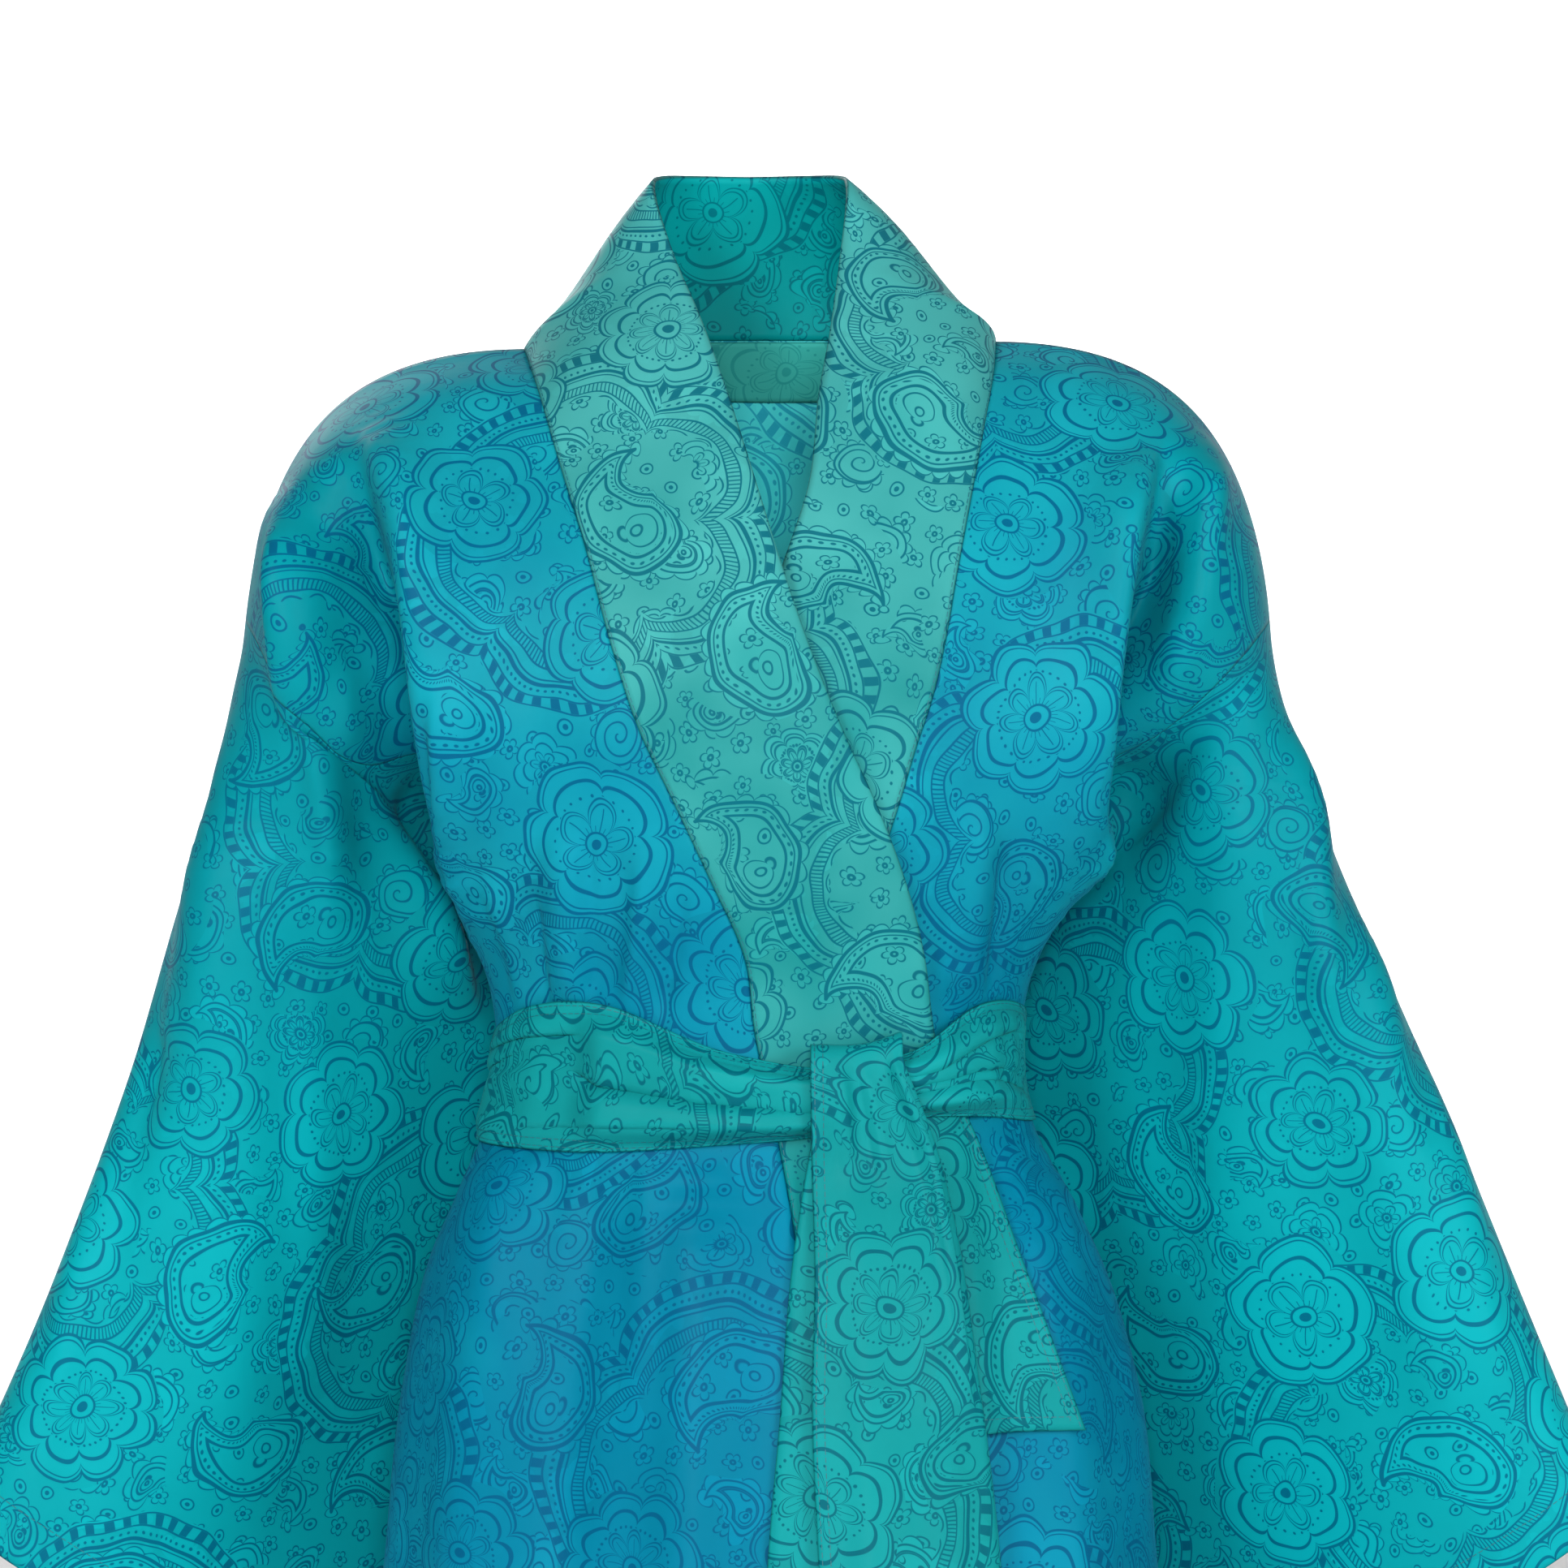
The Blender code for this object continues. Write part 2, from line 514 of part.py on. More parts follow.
def back_half_row(w, side, sleeve, neck):
    """One row of half the back, from its middle to the armhole."""
    share = NECK_COLUMNS / (NECK_COLUMNS + SIDE_COLUMNS)
    middle_low = ring_point(1.5 * math.pi, UNDERARM_Z)
    corner_low = ring_point((1.5 + 0.5 * side * share) * math.pi, UNDERARM_Z)
    middle = middle_low + (neck[0] - middle_low) * w
    middle[1] = yoke_line([middle_low, *BACK_MIDDLE, neck[0]], w)[1]
    corner = yoke_line([corner_low, *BLADE_LINE, neck[-1]], w)
    corner[0] = corner_low[0] + (neck[-1][0] - corner_low[0]) * w
    t = np.linspace(0, 1, NECK_COLUMNS + 1)
    flat = middle + (corner - middle) * t[:, None]
    flat[:, 1] += BACK_HOLLOW * t * (1 - t) * (1 - w)
    curved = neck + (middle - neck[0]) * (1 - t[:, None]) + (corner - neck[-1]) * t[:, None]
    bend = w**NECK_BEND
    inner = flat * (1 - bend) + curved * bend
    start = sleeve_ring(sleeve, 0.0, np.array(2 * math.pi - math.pi * w))
    lift = soft_step(0, LIFT_SHARE, w)
    upward = up_the_sleeve(sleeve, np.array(2 * math.pi - math.pi * w))
    toward_neck = unit(upward * lift + np.array([0.0, 1.0, 0.0]) * (1 - lift))
    toward_arm = unit([side, SHOULDER_TUCK - CHEST_TURN * (1 - w), CHEST_RISE * w * (1 - w)])
    from_arm, from_neck = handle_lengths(start, corner, w)
    share = np.linspace(0, 1, SIDE_COLUMNS + 1)[1:]
    outer = bezier(corner, corner + toward_arm * from_neck, start + toward_neck * from_arm, start, share)
    return np.concatenate([inner, outer])


def yoke_line(stops, w):
    """A point of a line up the back. Its first and last stops are points, and those between give a share too."""
    shares = [0, *(stop.share for stop in stops[1:-1]), 1]
    points = [stops[0], *((0, stop.y, stop.z) for stop in stops[1:-1]), stops[-1]]
    return hermite(shares, np.array(points, float), np.array(w))


def sleeve_panel(table):
    """A sleeve: rows from the armhole to the cuff, columns round it from the underarm seam."""
    turns = np.linspace(0, 2 * math.pi, 2 * YOKE_ROWS + 1)[:-1]
    net = np.array([sleeve_ring(table, t, turns) for t in np.linspace(0, 1, SLEEVE_ROWS + 1)])
    net[0, [-1, 0, 1], 0] += UNDERARM_EASE * np.sign(net[0, 0, 0])
    return net


def band_panel():
    """The band: rows from the outer front's hem round the neck to the inner front's hem, seam to free edge."""
    outer = band_side(OUTER_SEAM, OUTER_EDGE, OUTER_LAYER, False)
    inner = band_side(INNER_SEAM, INNER_EDGE, INNER_LAYER, True)
    return np.concatenate([outer, inner[::-1][1:]])


def band_side(seam, edge, layer, mirrored):
    """Half the band, from the hem to the middle of the back neck."""
    sign = -1 if mirrored else 1
    sewn = np.concatenate([seam_rows(edge_curve(seam, layer)), back_neck_curve(mirrored)[::-1][1:]])
    middle = BACK_NECK_EDGE[0].x
    behind = np.array([(middle + sign * (e.x - middle), e.y, e.z) for e in BACK_NECK_EDGE])
    free = np.concatenate([behind, edge_curve(edge, layer)])
    fine = np.linspace(0, lengths_of(free)[-1], CURVE_SAMPLES)
    curve = along(free, fine)
    nearest = np.array([fine[np.argmin(np.linalg.norm(curve - p, axis=1))] for p in sewn])
    nearest[0] = fine[-1]
    nearest[-1] = 0
    nearest = np.minimum.accumulate(nearest)
    for _ in range(BAND_PASSES):
        nearest[1:-1] = (nearest[:-2] + 2 * nearest[1:-1] + nearest[2:]) / 4
    t = np.linspace(0, 1, BAND_COLUMNS + 1)[None, :, None]
    net = sewn[:, None] * (1 - t) + along(free, nearest)[:, None] * t
    outward = (net - np.array(CROWN_CENTRE)) * np.array([1.0, 1.0, 0.0])
    crown = LOW_CROWN + (NECK_CROWN[mirrored] - LOW_CROWN) * crown_share(sewn)[:, None, None]
    net = net + unit(outward) * 4 * t * (1 - t) * crown
    on_body = ring_front_y(net[..., 0], net[..., 2]) + layer * overlap_share(net[..., 0], net[..., 2])
    low = soft_step(*LAPEL_LOW, net[..., 2])
    net[..., 1] = net[..., 1] * (1 - low) + on_body * low
    net[:, 0] = sewn
    return net


def crown_share(sewn):
    """The band rolls outwards most where it passes over the shoulder."""
    return soft_step(LAPEL_LOW[0], 0, sewn[:, 2]) * soft_step(0, NECK_SIDE, np.abs(sewn[:, 0]))


def fold_heights(points, folds):
    """How far the folds lift each point, as seen square from the front or back."""
    lifted = np.zeros(points.shape[:-1])
    place = points[..., [0, 2]]
    t = np.linspace(0, 1, FOLD_SAMPLES)
    for fold in folds:
        start, middle, end = np.array(fold[:6]).reshape(3, 2)
        bend = 2 * middle - (start + end) / 2
        curve = np.stack([start[k] * (1 - t) ** 2 + 2 * bend[k] * t * (1 - t) + end[k] * t**2 for k in (0, 1)], -1)
        offsets = place[..., None, :] - curve
        nearest = np.argmin((offsets**2).sum(-1), axis=-1)
        offset = np.take_along_axis(offsets, nearest[..., None, None], axis=-2)[..., 0, :]
        tangent = unit(np.gradient(curve, axis=0))[nearest]
        across = offset[..., 0] * -tangent[..., 1] + offset[..., 1] * tangent[..., 0]
        width = np.where(across < 0, fold.left, fold.right)
        fade = soft_step(0, FOLD_FADE, t[nearest]) * soft_step(0, FOLD_FADE, 1 - t[nearest])
        lifted += fold.height * fade * np.exp(-((offset**2).sum(-1)) / width**2)
    return lifted


def net_directions(net, closed):
    """At each point of a net, the direction midway between its steps from the last column and to the next."""
    if closed:
        return unit(np.roll(net, -1, 1) - net) + unit(net - np.roll(net, 1, 1))
    steps = unit(np.diff(net, axis=1))
    return np.concatenate([steps[:, :1] * 2, steps[:, :-1] + steps[:, 1:], steps[:, -1:] * 2], 1)


def normals_of(net, closed, outward):
    """The unit normal at each point of a net, by rows and columns."""
    down = net_directions(net.swapaxes(0, 1), False).swapaxes(0, 1)
    return unit(np.cross(down, net_directions(net, closed))) * outward


class Panel:
    """A net of points that becomes one piece of cloth.

    outward is 1 or -1, so that the normals point out of the robe. front and back hold how much of the
    front and back folds each point takes, from 0 to 1.
    """

    def __init__(self, name, net, finish, outward, closed=False, front=0.0, back=0.0, thickness=CLOTH):
        self.name = name
        self.net = net
        self.finish = finish
        self.outward = outward
        self.closed = closed
        self.front = front
        self.back = back
        self.thickness = thickness
        self.measure()

    def measure(self):
        self.normals = normals_of(self.net, self.closed, self.outward)

    def fold(self):
        lift = self.front * fold_heights(self.net, FRONT_FOLDS) + self.back * fold_heights(self.net, BACK_FOLDS)
        self.net = self.net + self.normals * lift[..., None]
        self.measure()

    def border(self):
        """The row and column numbers of the border points."""
        rows, columns = self.net.shape[:2]
        found = {(r, c) for r in (0, rows - 1) for c in range(columns)}
        if not self.closed:
            found |= {(r, c) for c in (0, columns - 1) for r in range(rows)}
        return sorted(found)

    def inset(self):
        """The net drawn in a little from its border, which leaves the gap at the seams."""
        made = self.net.copy()
        made[0] += unit(self.net[1] - self.net[0]) * SEAM_INSET
        made[-1] += unit(self.net[-2] - self.net[-1]) * SEAM_INSET
        if not self.closed:
            made[:, 0] += unit(self.net[:, 1] - self.net[:, 0]) * SEAM_INSET
            made[:, -1] += unit(self.net[:, -2] - self.net[:, -1]) * SEAM_INSET
        return made

    def portions(self):
        """The panel itself, or the solids that it is divided into."""
        divided = [self.portion(p) for p in PORTIONS if p.panel == self.name]
        return divided or [self]

    def portion(self, p):
        made = copy(self)
        rows = slice(p.first_row, p.last_row + 1)
        columns = slice(p.first_column, p.last_column + 1)
        made.name = p.name
        made.net = self.net[rows, columns]
        made.normals = self.normals[rows, columns]
        return made

    def build(self):
        return wall(self.name, self.inset(), self.normals, self.finish, self.closed, self.thickness)


def share_normals(panels):
    """Gives panels that meet at a seam point one normal there, so that their cut ends lie side by side."""
    meetings = {}
    for panel in panels:
        for r, c in panel.border():
            key = tuple(np.round(panel.net[r, c], 5))
            meetings.setdefault(key, []).append((panel, r, c))
    for meeting in meetings.values():
        normal = unit(sum(panel.normals[r, c] for panel, r, c in meeting))
        for panel, r, c in meeting:
            panel.normals[r, c] = normal


def wall(name, net, normals, finish, closed, thickness):
    """A closed wall of cloth with the net in its middle."""
    if closed:
        net = np.concatenate([net, net[:, :1]], 1)
        normals = np.concatenate([normals, normals[:, :1]], 1)
    rows, columns = net.shape[:2]
    shape = bmesh.new()
    bmesh.ops.create_grid(shape, x_segments=columns - 1, y_segments=rows - 1, size=1)
    number = shape.verts.layers.int.new("number")
    for i, vertex in enumerate(shape.verts):
        vertex[number] = i
        vertex.co = net.reshape(-1, 3)[i]
    if closed:
        bmesh.ops.remove_doubles(shape, verts=shape.verts, dist=1e-6)
    made = bmesh.ops.extrude_face_region(shape, geom=shape.faces[:], use_keep_orig=True)
    outer = {v for v in made["geom"] if isinstance(v, bmesh.types.BMVert)}
    for vertex in shape.verts:
        i = vertex[number]
        half = thickness / 2 if vertex in outer else -thickness / 2
        vertex.co = net.reshape(-1, 3)[i] + normals.reshape(-1, 3)[i] * half
    bmesh.ops.recalc_face_normals(shape, faces=shape.faces)
    mesh = bpy.data.meshes.new(name)
    shape.to_mesh(mesh)
    shape.free()
    mesh.shade_smooth()
    mesh.materials.append(cloth_material(name, finish))
    thing = bpy.data.objects.new(name, mesh)
    bpy.context.collection.objects.link(thing)
    return thing


def cloth_material(name, finish):
    material = bpy.data.materials.new(name)
    material.use_nodes = True
    shader = material.node_tree.nodes["Principled BSDF"]
    shader.inputs["Base Color"].default_value = (*finish.colour, 1)
    shader.inputs["Roughness"].default_value = finish.roughness
    shader.inputs["Metallic"].default_value = 0
    return material


def seam_fade(w):
    """Folds fade out at the shoulder seam and at the underarm."""
    return soft_step(0, UNDERARM_FADE, w) * soft_step(0, SHOULDER_FADE, 1 - w)


def half_body_weight(rows, shares):
    """How much of its folds each point of a front or half a back takes. shares run from the side seam, 0, inwards."""
    w = np.concatenate([np.zeros(len(ROW_HEIGHTS)), yoke_share()])[:rows]
    near_side = (1 - soft_step(0, SIDE_FADE, shares))[None, :] * (1 - soft_step(0, UNDERARM_FADE, w))[:, None]
    return soft_step(0, SHOULDER_FADE, 1 - w)[:, None] * (1 - near_side)


def sleeve_weights():
    """How much of the front folds, and of the back folds, each point of a sleeve takes."""
    w = np.linspace(0, 2, 2 * YOKE_ROWS + 1)[:-1]
    front = np.where(w <= 1, seam_fade(w), 0)
    back = np.where(w >= 1, seam_fade(2 - w), 0)
    return front[None, :], back[None, :]


def body_panels():
    shares = np.linspace(0, 1, SIDE_COLUMNS + 1)
    outer = front_panel(-1, edge_curve(OUTER_SEAM, OUTER_LAYER), RIGHT_SLEEVE, OUTER_LAYER)
    inner = front_panel(1, edge_curve(INNER_SEAM, INNER_LAYER), LEFT_SLEEVE, INNER_LAYER)
    back = back_panel()
    band = band_panel()
    front_weight = half_body_weight(len(outer), shares)
    half_back = np.linspace(0, 1, SIDE_COLUMNS + NECK_COLUMNS + 1)
    half_weight = half_body_weight(len(back), half_back)
    back_weight = np.concatenate([half_weight, half_weight[:, ::-1][:, 1:]], 1)
    edge_weight = half_body_weight(len(outer), np.array([1.0]))
    neck_weight = np.zeros((2 * NECK_COLUMNS - 1, 1))
    band_weight = np.concatenate([edge_weight, neck_weight, edge_weight[::-1]])
    sleeve_front, sleeve_back = sleeve_weights()
    return [
        Panel("front_outer", outer, BODY_BLUE, -1, front=front_weight),
        Panel("front_inner", inner, BODY_BLUE, 1, front=front_weight),
        Panel("back", back, BODY_BLUE, 1, back=back_weight),
        Panel("sleeve_right", sleeve_panel(RIGHT_SLEEVE), SLEEVE_TEAL, -1, True, sleeve_front, sleeve_back),
        Panel("sleeve_left", sleeve_panel(LEFT_SLEEVE), SLEEVE_TEAL, 1, True, sleeve_front, sleeve_back),
        Panel("neckband", band, BAND_GREEN, -1, front=band_weight),
    ]


def facing_panel(back):
    """The facing inside the back of the neck, made from the back panel's points, moved in."""
    top = len(back.net) - 1
    middle = NECK_COLUMNS + SIDE_COLUMNS
    across = slice(middle - NECK_COLUMNS, middle + NECK_COLUMNS + 1)
    rows = [top - drop for drop in FACING_ROWS]
    inward = -(CLOTH + FACING_SPACE)
    net = read_rows(back.net, rows)[:, across] + unit(read_rows(back.normals, rows)[:, across]) * inward
    return Panel("neck_facing", net, FACING_GREEN, 1)


def read_rows(net, rows):
    """Rows of a net at fractional row numbers."""
    rows = np.asarray(rows, float)
    low = np.minimum(rows.astype(int), len(net) - 2)
    share = (rows - low)[:, None, None]
    return net[low] * (1 - share) + net[low + 1] * share


def surface_of(things):
    """A search tree over the faces of the things built so far."""
    corners, faces = [], []
    for thing in things:
        start = len(corners)
        corners += [v.co.copy() for v in thing.data.vertices]
        faces += [[start + i for i in face.vertices] for face in thing.data.polygons]
    return BVHTree.FromPolygons(corners, faces)


def refine(net, times):
    """A net with straight steps between its rows and columns."""
    rows, columns = net.shape[:2]
    net = read_rows(net, np.linspace(0, rows - 1, (rows - 1) * times + 1))
    net = read_rows(net.swapaxes(0, 1), np.linspace(0, columns - 1, (columns - 1) * times + 1))
    return net.swapaxes(0, 1)


def lay_outside(tree, net, out, clear, closed):
    """Moves a net along its outward directions until it clears what lies under it, and bridges the hollows."""
    if closed:
        net = np.concatenate([net[:, -2:], net, net[:, :3]], 1)
        out = np.concatenate([out[:, -2:], out, out[:, :3]], 1)
    fine, fine_out = refine(net, LAY_STEPS), unit(refine(out, LAY_STEPS))
    need = np.full(fine.shape[:2], -LAY_REACH)
    for place in np.ndindex(*need.shape):
        away = Vector(fine[place] + fine_out[place] * LAY_REACH)
        hit = tree.ray_cast(away, Vector(-fine_out[place]), 2 * LAY_REACH)
        if hit[0] is not None:
            need[place] = LAY_REACH - hit[3] + clear
    rows, columns = net.shape[:2]
    coarse = np.empty((rows, columns))
    for r, c in np.ndindex(rows, columns):
        around = need[
            max(0, (r - 1) * LAY_STEPS):(r + 1) * LAY_STEPS + 1, max(0, (c - 1) * LAY_STEPS):(c + 1) * LAY_STEPS + 1
        ]
        coarse[r, c] = around.max()
    lift = coarse.copy()
    for _ in range(LAY_PASSES):
        padded = np.pad(lift, 1, mode="edge")
        smooth = (padded[:-2, 1:-1] + padded[2:, 1:-1] + padded[1:-1, :-2] + padded[1:-1, 2:]) / 4
        lift = np.maximum(coarse, smooth)
    net = net + out * lift[..., None]
    return net[:, 2:-3] if closed else net


def sash_net(tree):
    """The sash laid round the robe: rows from its bottom edge to its top, columns round the waist."""
    angles = np.linspace(0, 2 * math.pi, SASH_COLUMNS + 1)[:-1]
    shares = np.linspace(0, 1, SASH_ROWS + 1)
    angle, share = np.meshgrid(angles, shares)
    degrees = np.degrees(angle)
    bottom = column_at(SASH, "degrees", "bottom", degrees)
    top = column_at(SASH, "degrees", "top", degrees)
    net = ring_point(angle, bottom + (top - bottom) * share)
    tangent = ring_point(angle + ANGLE_STEP, net[..., 2]) - ring_point(angle - ANGLE_STEP, net[..., 2])
    out = unit(np.stack([-tangent[..., 1], tangent[..., 0], np.zeros_like(angle)], -1))
    swell = np.zeros_like(degrees)
    for crease in SASH_CREASES:
        t = np.clip((degrees - crease.from_degrees) / (crease.to_degrees - crease.from_degrees), 0, 1)
        line = crease.from_share + (crease.to_share - crease.from_share) * t
        fade = soft_step(0, CREASE_FADE, t) * soft_step(0, CREASE_FADE, 1 - t)
        swell += crease.depth * fade * (1 - np.exp(-(((share - line) / crease.width) ** 2)))
    net = lay_outside(tree, net, out, SASH_CLOTH / 2 + GAP, True)
    return net + out * swell[..., None]


def short_tail_net(tree):
    """The short tail laid on the robe: rows from under the sash to its hem."""
    z = np.linspace(SHORT_TAIL[0].z, SHORT_TAIL[-1].z, SHORT_ROWS + 1)
    left = column_at(SHORT_TAIL, "z", "left", z)[:, None]
    right = column_at(SHORT_TAIL, "z", "right", z)[:, None]
    x = left + (right - left) * np.linspace(0, 1, SHORT_COLUMNS + 1)
    net = np.stack(np.broadcast_arrays(x, 0.0, z[:, None]), -1)
    return lay_outside(tree, net, forward(net), SHORT_CLOTH / 2 + GAP, False)


def forward(net):
    return np.broadcast_to(np.array([0.0, -1.0, 0.0]), net.shape)


def base_grid(tree, heights):
    """How far forward a tail lies over what is under it, at some heights and across all the x that it may cover."""
    x = np.broadcast_to(base_x(), heights.shape)
    net = np.stack([x, np.zeros_like(x), heights], -1)
    return lay_outside(tree, net, forward(net), CLOTH / 2 + GAP, False)[..., 1]


def base_x():
    return np.linspace(*BASE_X, BASE_COLUMNS)


def sash_top():
    """The height of the sash's top edge across the front."""
    degrees = np.degrees(front_angle(base_x(), LONG_TAIL[0].z))
    return column_at(SASH, "degrees", "top", degrees)


def tail_section(z):
    """Across the long tail at a height: the x of its front layer, fold and under layer, and their offsets."""
    left, right, under, spread = (column_at(LONG_TAIL, "z", name, z) for name in TailSection._fields[1:])
    front, fold, beneath = TAIL_COLUMNS
    turn = np.linspace(math.pi / 2, -math.pi / 2, fold + 1)
    centre = right - spread
    over_x = np.linspace(left, centre, front + 1)[:-1]
    under_x = np.linspace(centre, under, beneath + 1)[1:]
    x = np.concatenate([over_x, centre + spread * np.cos(turn), under_x])
    offset = np.concatenate([np.full(front, spread), spread * np.sin(turn), np.full(beneath, -spread)])
    return x, offset, spread


def tail_hook(tree):
    """The rows of the long tail behind the sash."""
    heights = sash_top() - np.array(HOOK_DROPS)[:, None]
    base = base_grid(tree, heights)
    x, offset, spread = tail_section(LONG_TAIL[0].z)
    rows = []
    for height, depth in zip(heights, base):
        y = np.interp(x, base_x(), depth) - spread + offset
        rows.append(np.stack([x, y, np.interp(x, base_x(), height)], -1))
    return np.array(rows), base[-1]


def tail_front(tree, behind):
    """The rows of the long tail over the sash's top edge and down its front."""
    share = np.linspace(0, 1, TAIL_ROWS + 1)[:, None]
    heights = sash_top() + (LONG_TAIL[-1].z - sash_top()) * share
    base = base_grid(tree, heights)
    x, offset, spread = tail_section(LONG_TAIL[0].z)
    back = np.interp(x, base_x(), behind) - spread
    front = np.interp(x, base_x(), base[0]) - spread
    top = np.interp(x, base_x(), sash_top()) + BEND_CLEARANCE
    rows = []
    for turn in np.linspace(0, math.pi, BEND_ROWS + 2)[1:-1]:
        y = (back + front) / 2 + ((back - front) / 2 + offset) * math.cos(turn)
        z = top + ((back - front) / 2 + offset) * math.sin(turn)
        rows.append(np.stack([x, y, z], -1))
    for height, depth in zip(heights, base):
        x, offset, spread = tail_section(height.mean())
        y = np.interp(x, base_x(), depth) - spread - offset
        rows.append(np.stack([x, y, np.interp(x, base_x(), height)], -1))
    return np.array(rows)


def clear_scene():
    for thing in list(bpy.data.objects):
        bpy.data.objects.remove(thing, do_unlink=True)


def main():
    clear_scene()
    panels = body_panels()
    share_normals(panels)
    for panel in panels:
        panel.fold()
    share_normals(panels)
    robe = [portion.build() for panel in panels for portion in panel.portions()]
    facing_panel(panels[2]).build()
    worn = [thing for thing in robe if not thing.name.startswith("sleeve")]
    short_net = short_tail_net(surface_of(worn))
    short = Panel("sash_tail_short", short_net, SASH_GREEN, 1, thickness=SHORT_CLOTH).build()
    hook, behind = tail_hook(surface_of(worn))
    trial = Panel("hook", hook, SASH_GREEN, 1).build()
    sash_wrap = sash_net(surface_of([*worn, short, trial]))
    sash = Panel("sash_wrap", sash_wrap, SASH_GREEN, -1, True, thickness=SASH_CLOTH).build()
    bpy.data.objects.remove(trial, do_unlink=True)
    front = tail_front(surface_of([*worn, short, sash]), behind)
    Panel("sash_tail_long", np.concatenate([hook, front]), SASH_GREEN, 1).build()


main()
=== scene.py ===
"""The looks of a wrap robe cut like a kimono: its cloth, print, seams and tied sash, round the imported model.

Metres, +Z up. The robe faces -Y, and +X is on the right of someone looking at its front. Each piece of cloth
is a net of points, rows by columns, on the form of the solid that it stands for, with the finer creases
pressed in and a flat map of the cloth in metres, which its print and weave follow.
"""

import logging
import math
from dataclasses import astuple, dataclass
from enum import Enum
from typing import Iterator, Optional, Self, Sequence, Union

import bmesh
import bpy
import numpy as np
from mathutils import Matrix, Vector
from mathutils.bvhtree import BVHTree


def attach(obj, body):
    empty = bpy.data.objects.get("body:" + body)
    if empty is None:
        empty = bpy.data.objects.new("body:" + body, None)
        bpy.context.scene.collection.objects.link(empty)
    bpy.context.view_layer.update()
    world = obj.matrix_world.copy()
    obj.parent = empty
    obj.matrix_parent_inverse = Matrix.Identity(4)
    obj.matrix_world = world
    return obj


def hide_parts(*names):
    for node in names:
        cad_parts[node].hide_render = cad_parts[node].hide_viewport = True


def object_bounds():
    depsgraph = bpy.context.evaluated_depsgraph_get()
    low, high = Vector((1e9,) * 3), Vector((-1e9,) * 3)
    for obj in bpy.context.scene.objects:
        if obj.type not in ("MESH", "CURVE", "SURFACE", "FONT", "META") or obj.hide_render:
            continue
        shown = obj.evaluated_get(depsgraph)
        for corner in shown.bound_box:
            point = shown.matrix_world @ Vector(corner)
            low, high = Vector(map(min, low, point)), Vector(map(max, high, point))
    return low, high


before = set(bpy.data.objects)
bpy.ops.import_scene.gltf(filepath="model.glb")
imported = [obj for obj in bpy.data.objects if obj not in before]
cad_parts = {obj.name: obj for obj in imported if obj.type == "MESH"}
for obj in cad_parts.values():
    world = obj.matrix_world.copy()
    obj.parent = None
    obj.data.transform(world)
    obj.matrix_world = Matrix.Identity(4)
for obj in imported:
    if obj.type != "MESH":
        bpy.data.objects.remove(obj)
CAD_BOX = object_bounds()
ROOT = "root"
log = logging.getLogger("robe")

Array = np.ndarray


class Side(Enum):
    """A side of the robe, as the wearer has it, with the sign of its x."""

    RIGHT = -1
    LEFT = 1


@dataclass(frozen=True)
class Ring:
    """A level ring of the body: half width, depth to the front and back, and the middle's shift to +X."""

    z: float
    half: float
    front: float
    back: float
    shift: float


@dataclass(frozen=True)
class Edge:
    """A point of a seam or an edge. A y of None is the body ring's own."""

    x: float
    y: Optional[float]
    z: float


@dataclass(frozen=True)
class SleeveLine:
    """A sleeve by share of its length: its outer fold, its underarm seam, and its depth to front and back."""

    share: float
    outer_x: float
    outer_y: float
    outer_z: float
    under_x: float
    under_y: float
    under_z: float
    front: float
    back: float


@dataclass(frozen=True)
class BackStop:
    """A stop on a line up the back, by share of the way from the underarm's height to the neck."""

    share: float
    y: float
    z: float


@dataclass(frozen=True)
class Fold:
    """A fold seen square on: three points of its crest, its fade to each side, and its height."""

    x0: float
    z0: float
    x1: float
    z1: float
    x2: float
    z2: float
    left: float
    right: float
    height: float


@dataclass(frozen=True)
class SashStation:
    """The sash's edges at an angle round the waist, from the left side seam by the front."""

    degrees: float
    bottom: float
    top: float


@dataclass(frozen=True)
class Crease:
    """A crease along the sash: where it starts and ends, round and up, with its width and depth."""

    from_degrees: float
    to_degrees: float
    from_share: float
    to_share: float
    width: float
    depth: float


@dataclass(frozen=True)
class TailSection:
    """Across the long end: its left edge, right fold, under layer's edge, and half its layers' spacing."""

    z: float
    left: float
    right: float
    under: float
    spread: float


@dataclass(frozen=True)
class ShortSection:
    """Across the short end: its left and right edges."""

    z: float
    left: float
    right: float


HEM_Z = -1.020
UNDERARM_Z = -0.245
OUTER_LAYER = -0.0045
INNER_LAYER = 0.0020
CURVE_SAMPLES = 4000

TORSO = (
    Ring(HEM_Z, 0.236, 0.150, 0.142, 0.008),
    Ring(-0.800, 0.218, 0.143, 0.135, 0.008),
    Ring(-0.612, 0.195, 0.135, 0.127, 0.006),
    Ring(-0.517, 0.185, 0.128, 0.121, 0.006),
    Ring(-0.450, 0.167, 0.116, 0.110, 0.003),
    Ring(-0.405, 0.144, 0.102, 0.097, 0.001),
    Ring(-0.360, 0.132, 0.094, 0.088, 0.000),
    Ring(-0.320, 0.135, 0.098, 0.090, 0.000),
    Ring(-0.280, 0.149, 0.113, 0.098, 0.001),
    Ring(UNDERARM_Z, 0.160, 0.126, 0.104, 0.003),
    Ring(-0.190, 0.164, 0.134, 0.108, 0.003),
    Ring(-0.140, 0.167, 0.127, 0.109, 0.002),
    Ring(-0.100, 0.168, 0.115, 0.107, 0.001),
    Ring(-0.050, 0.170, 0.085, 0.103, 0.000),
)

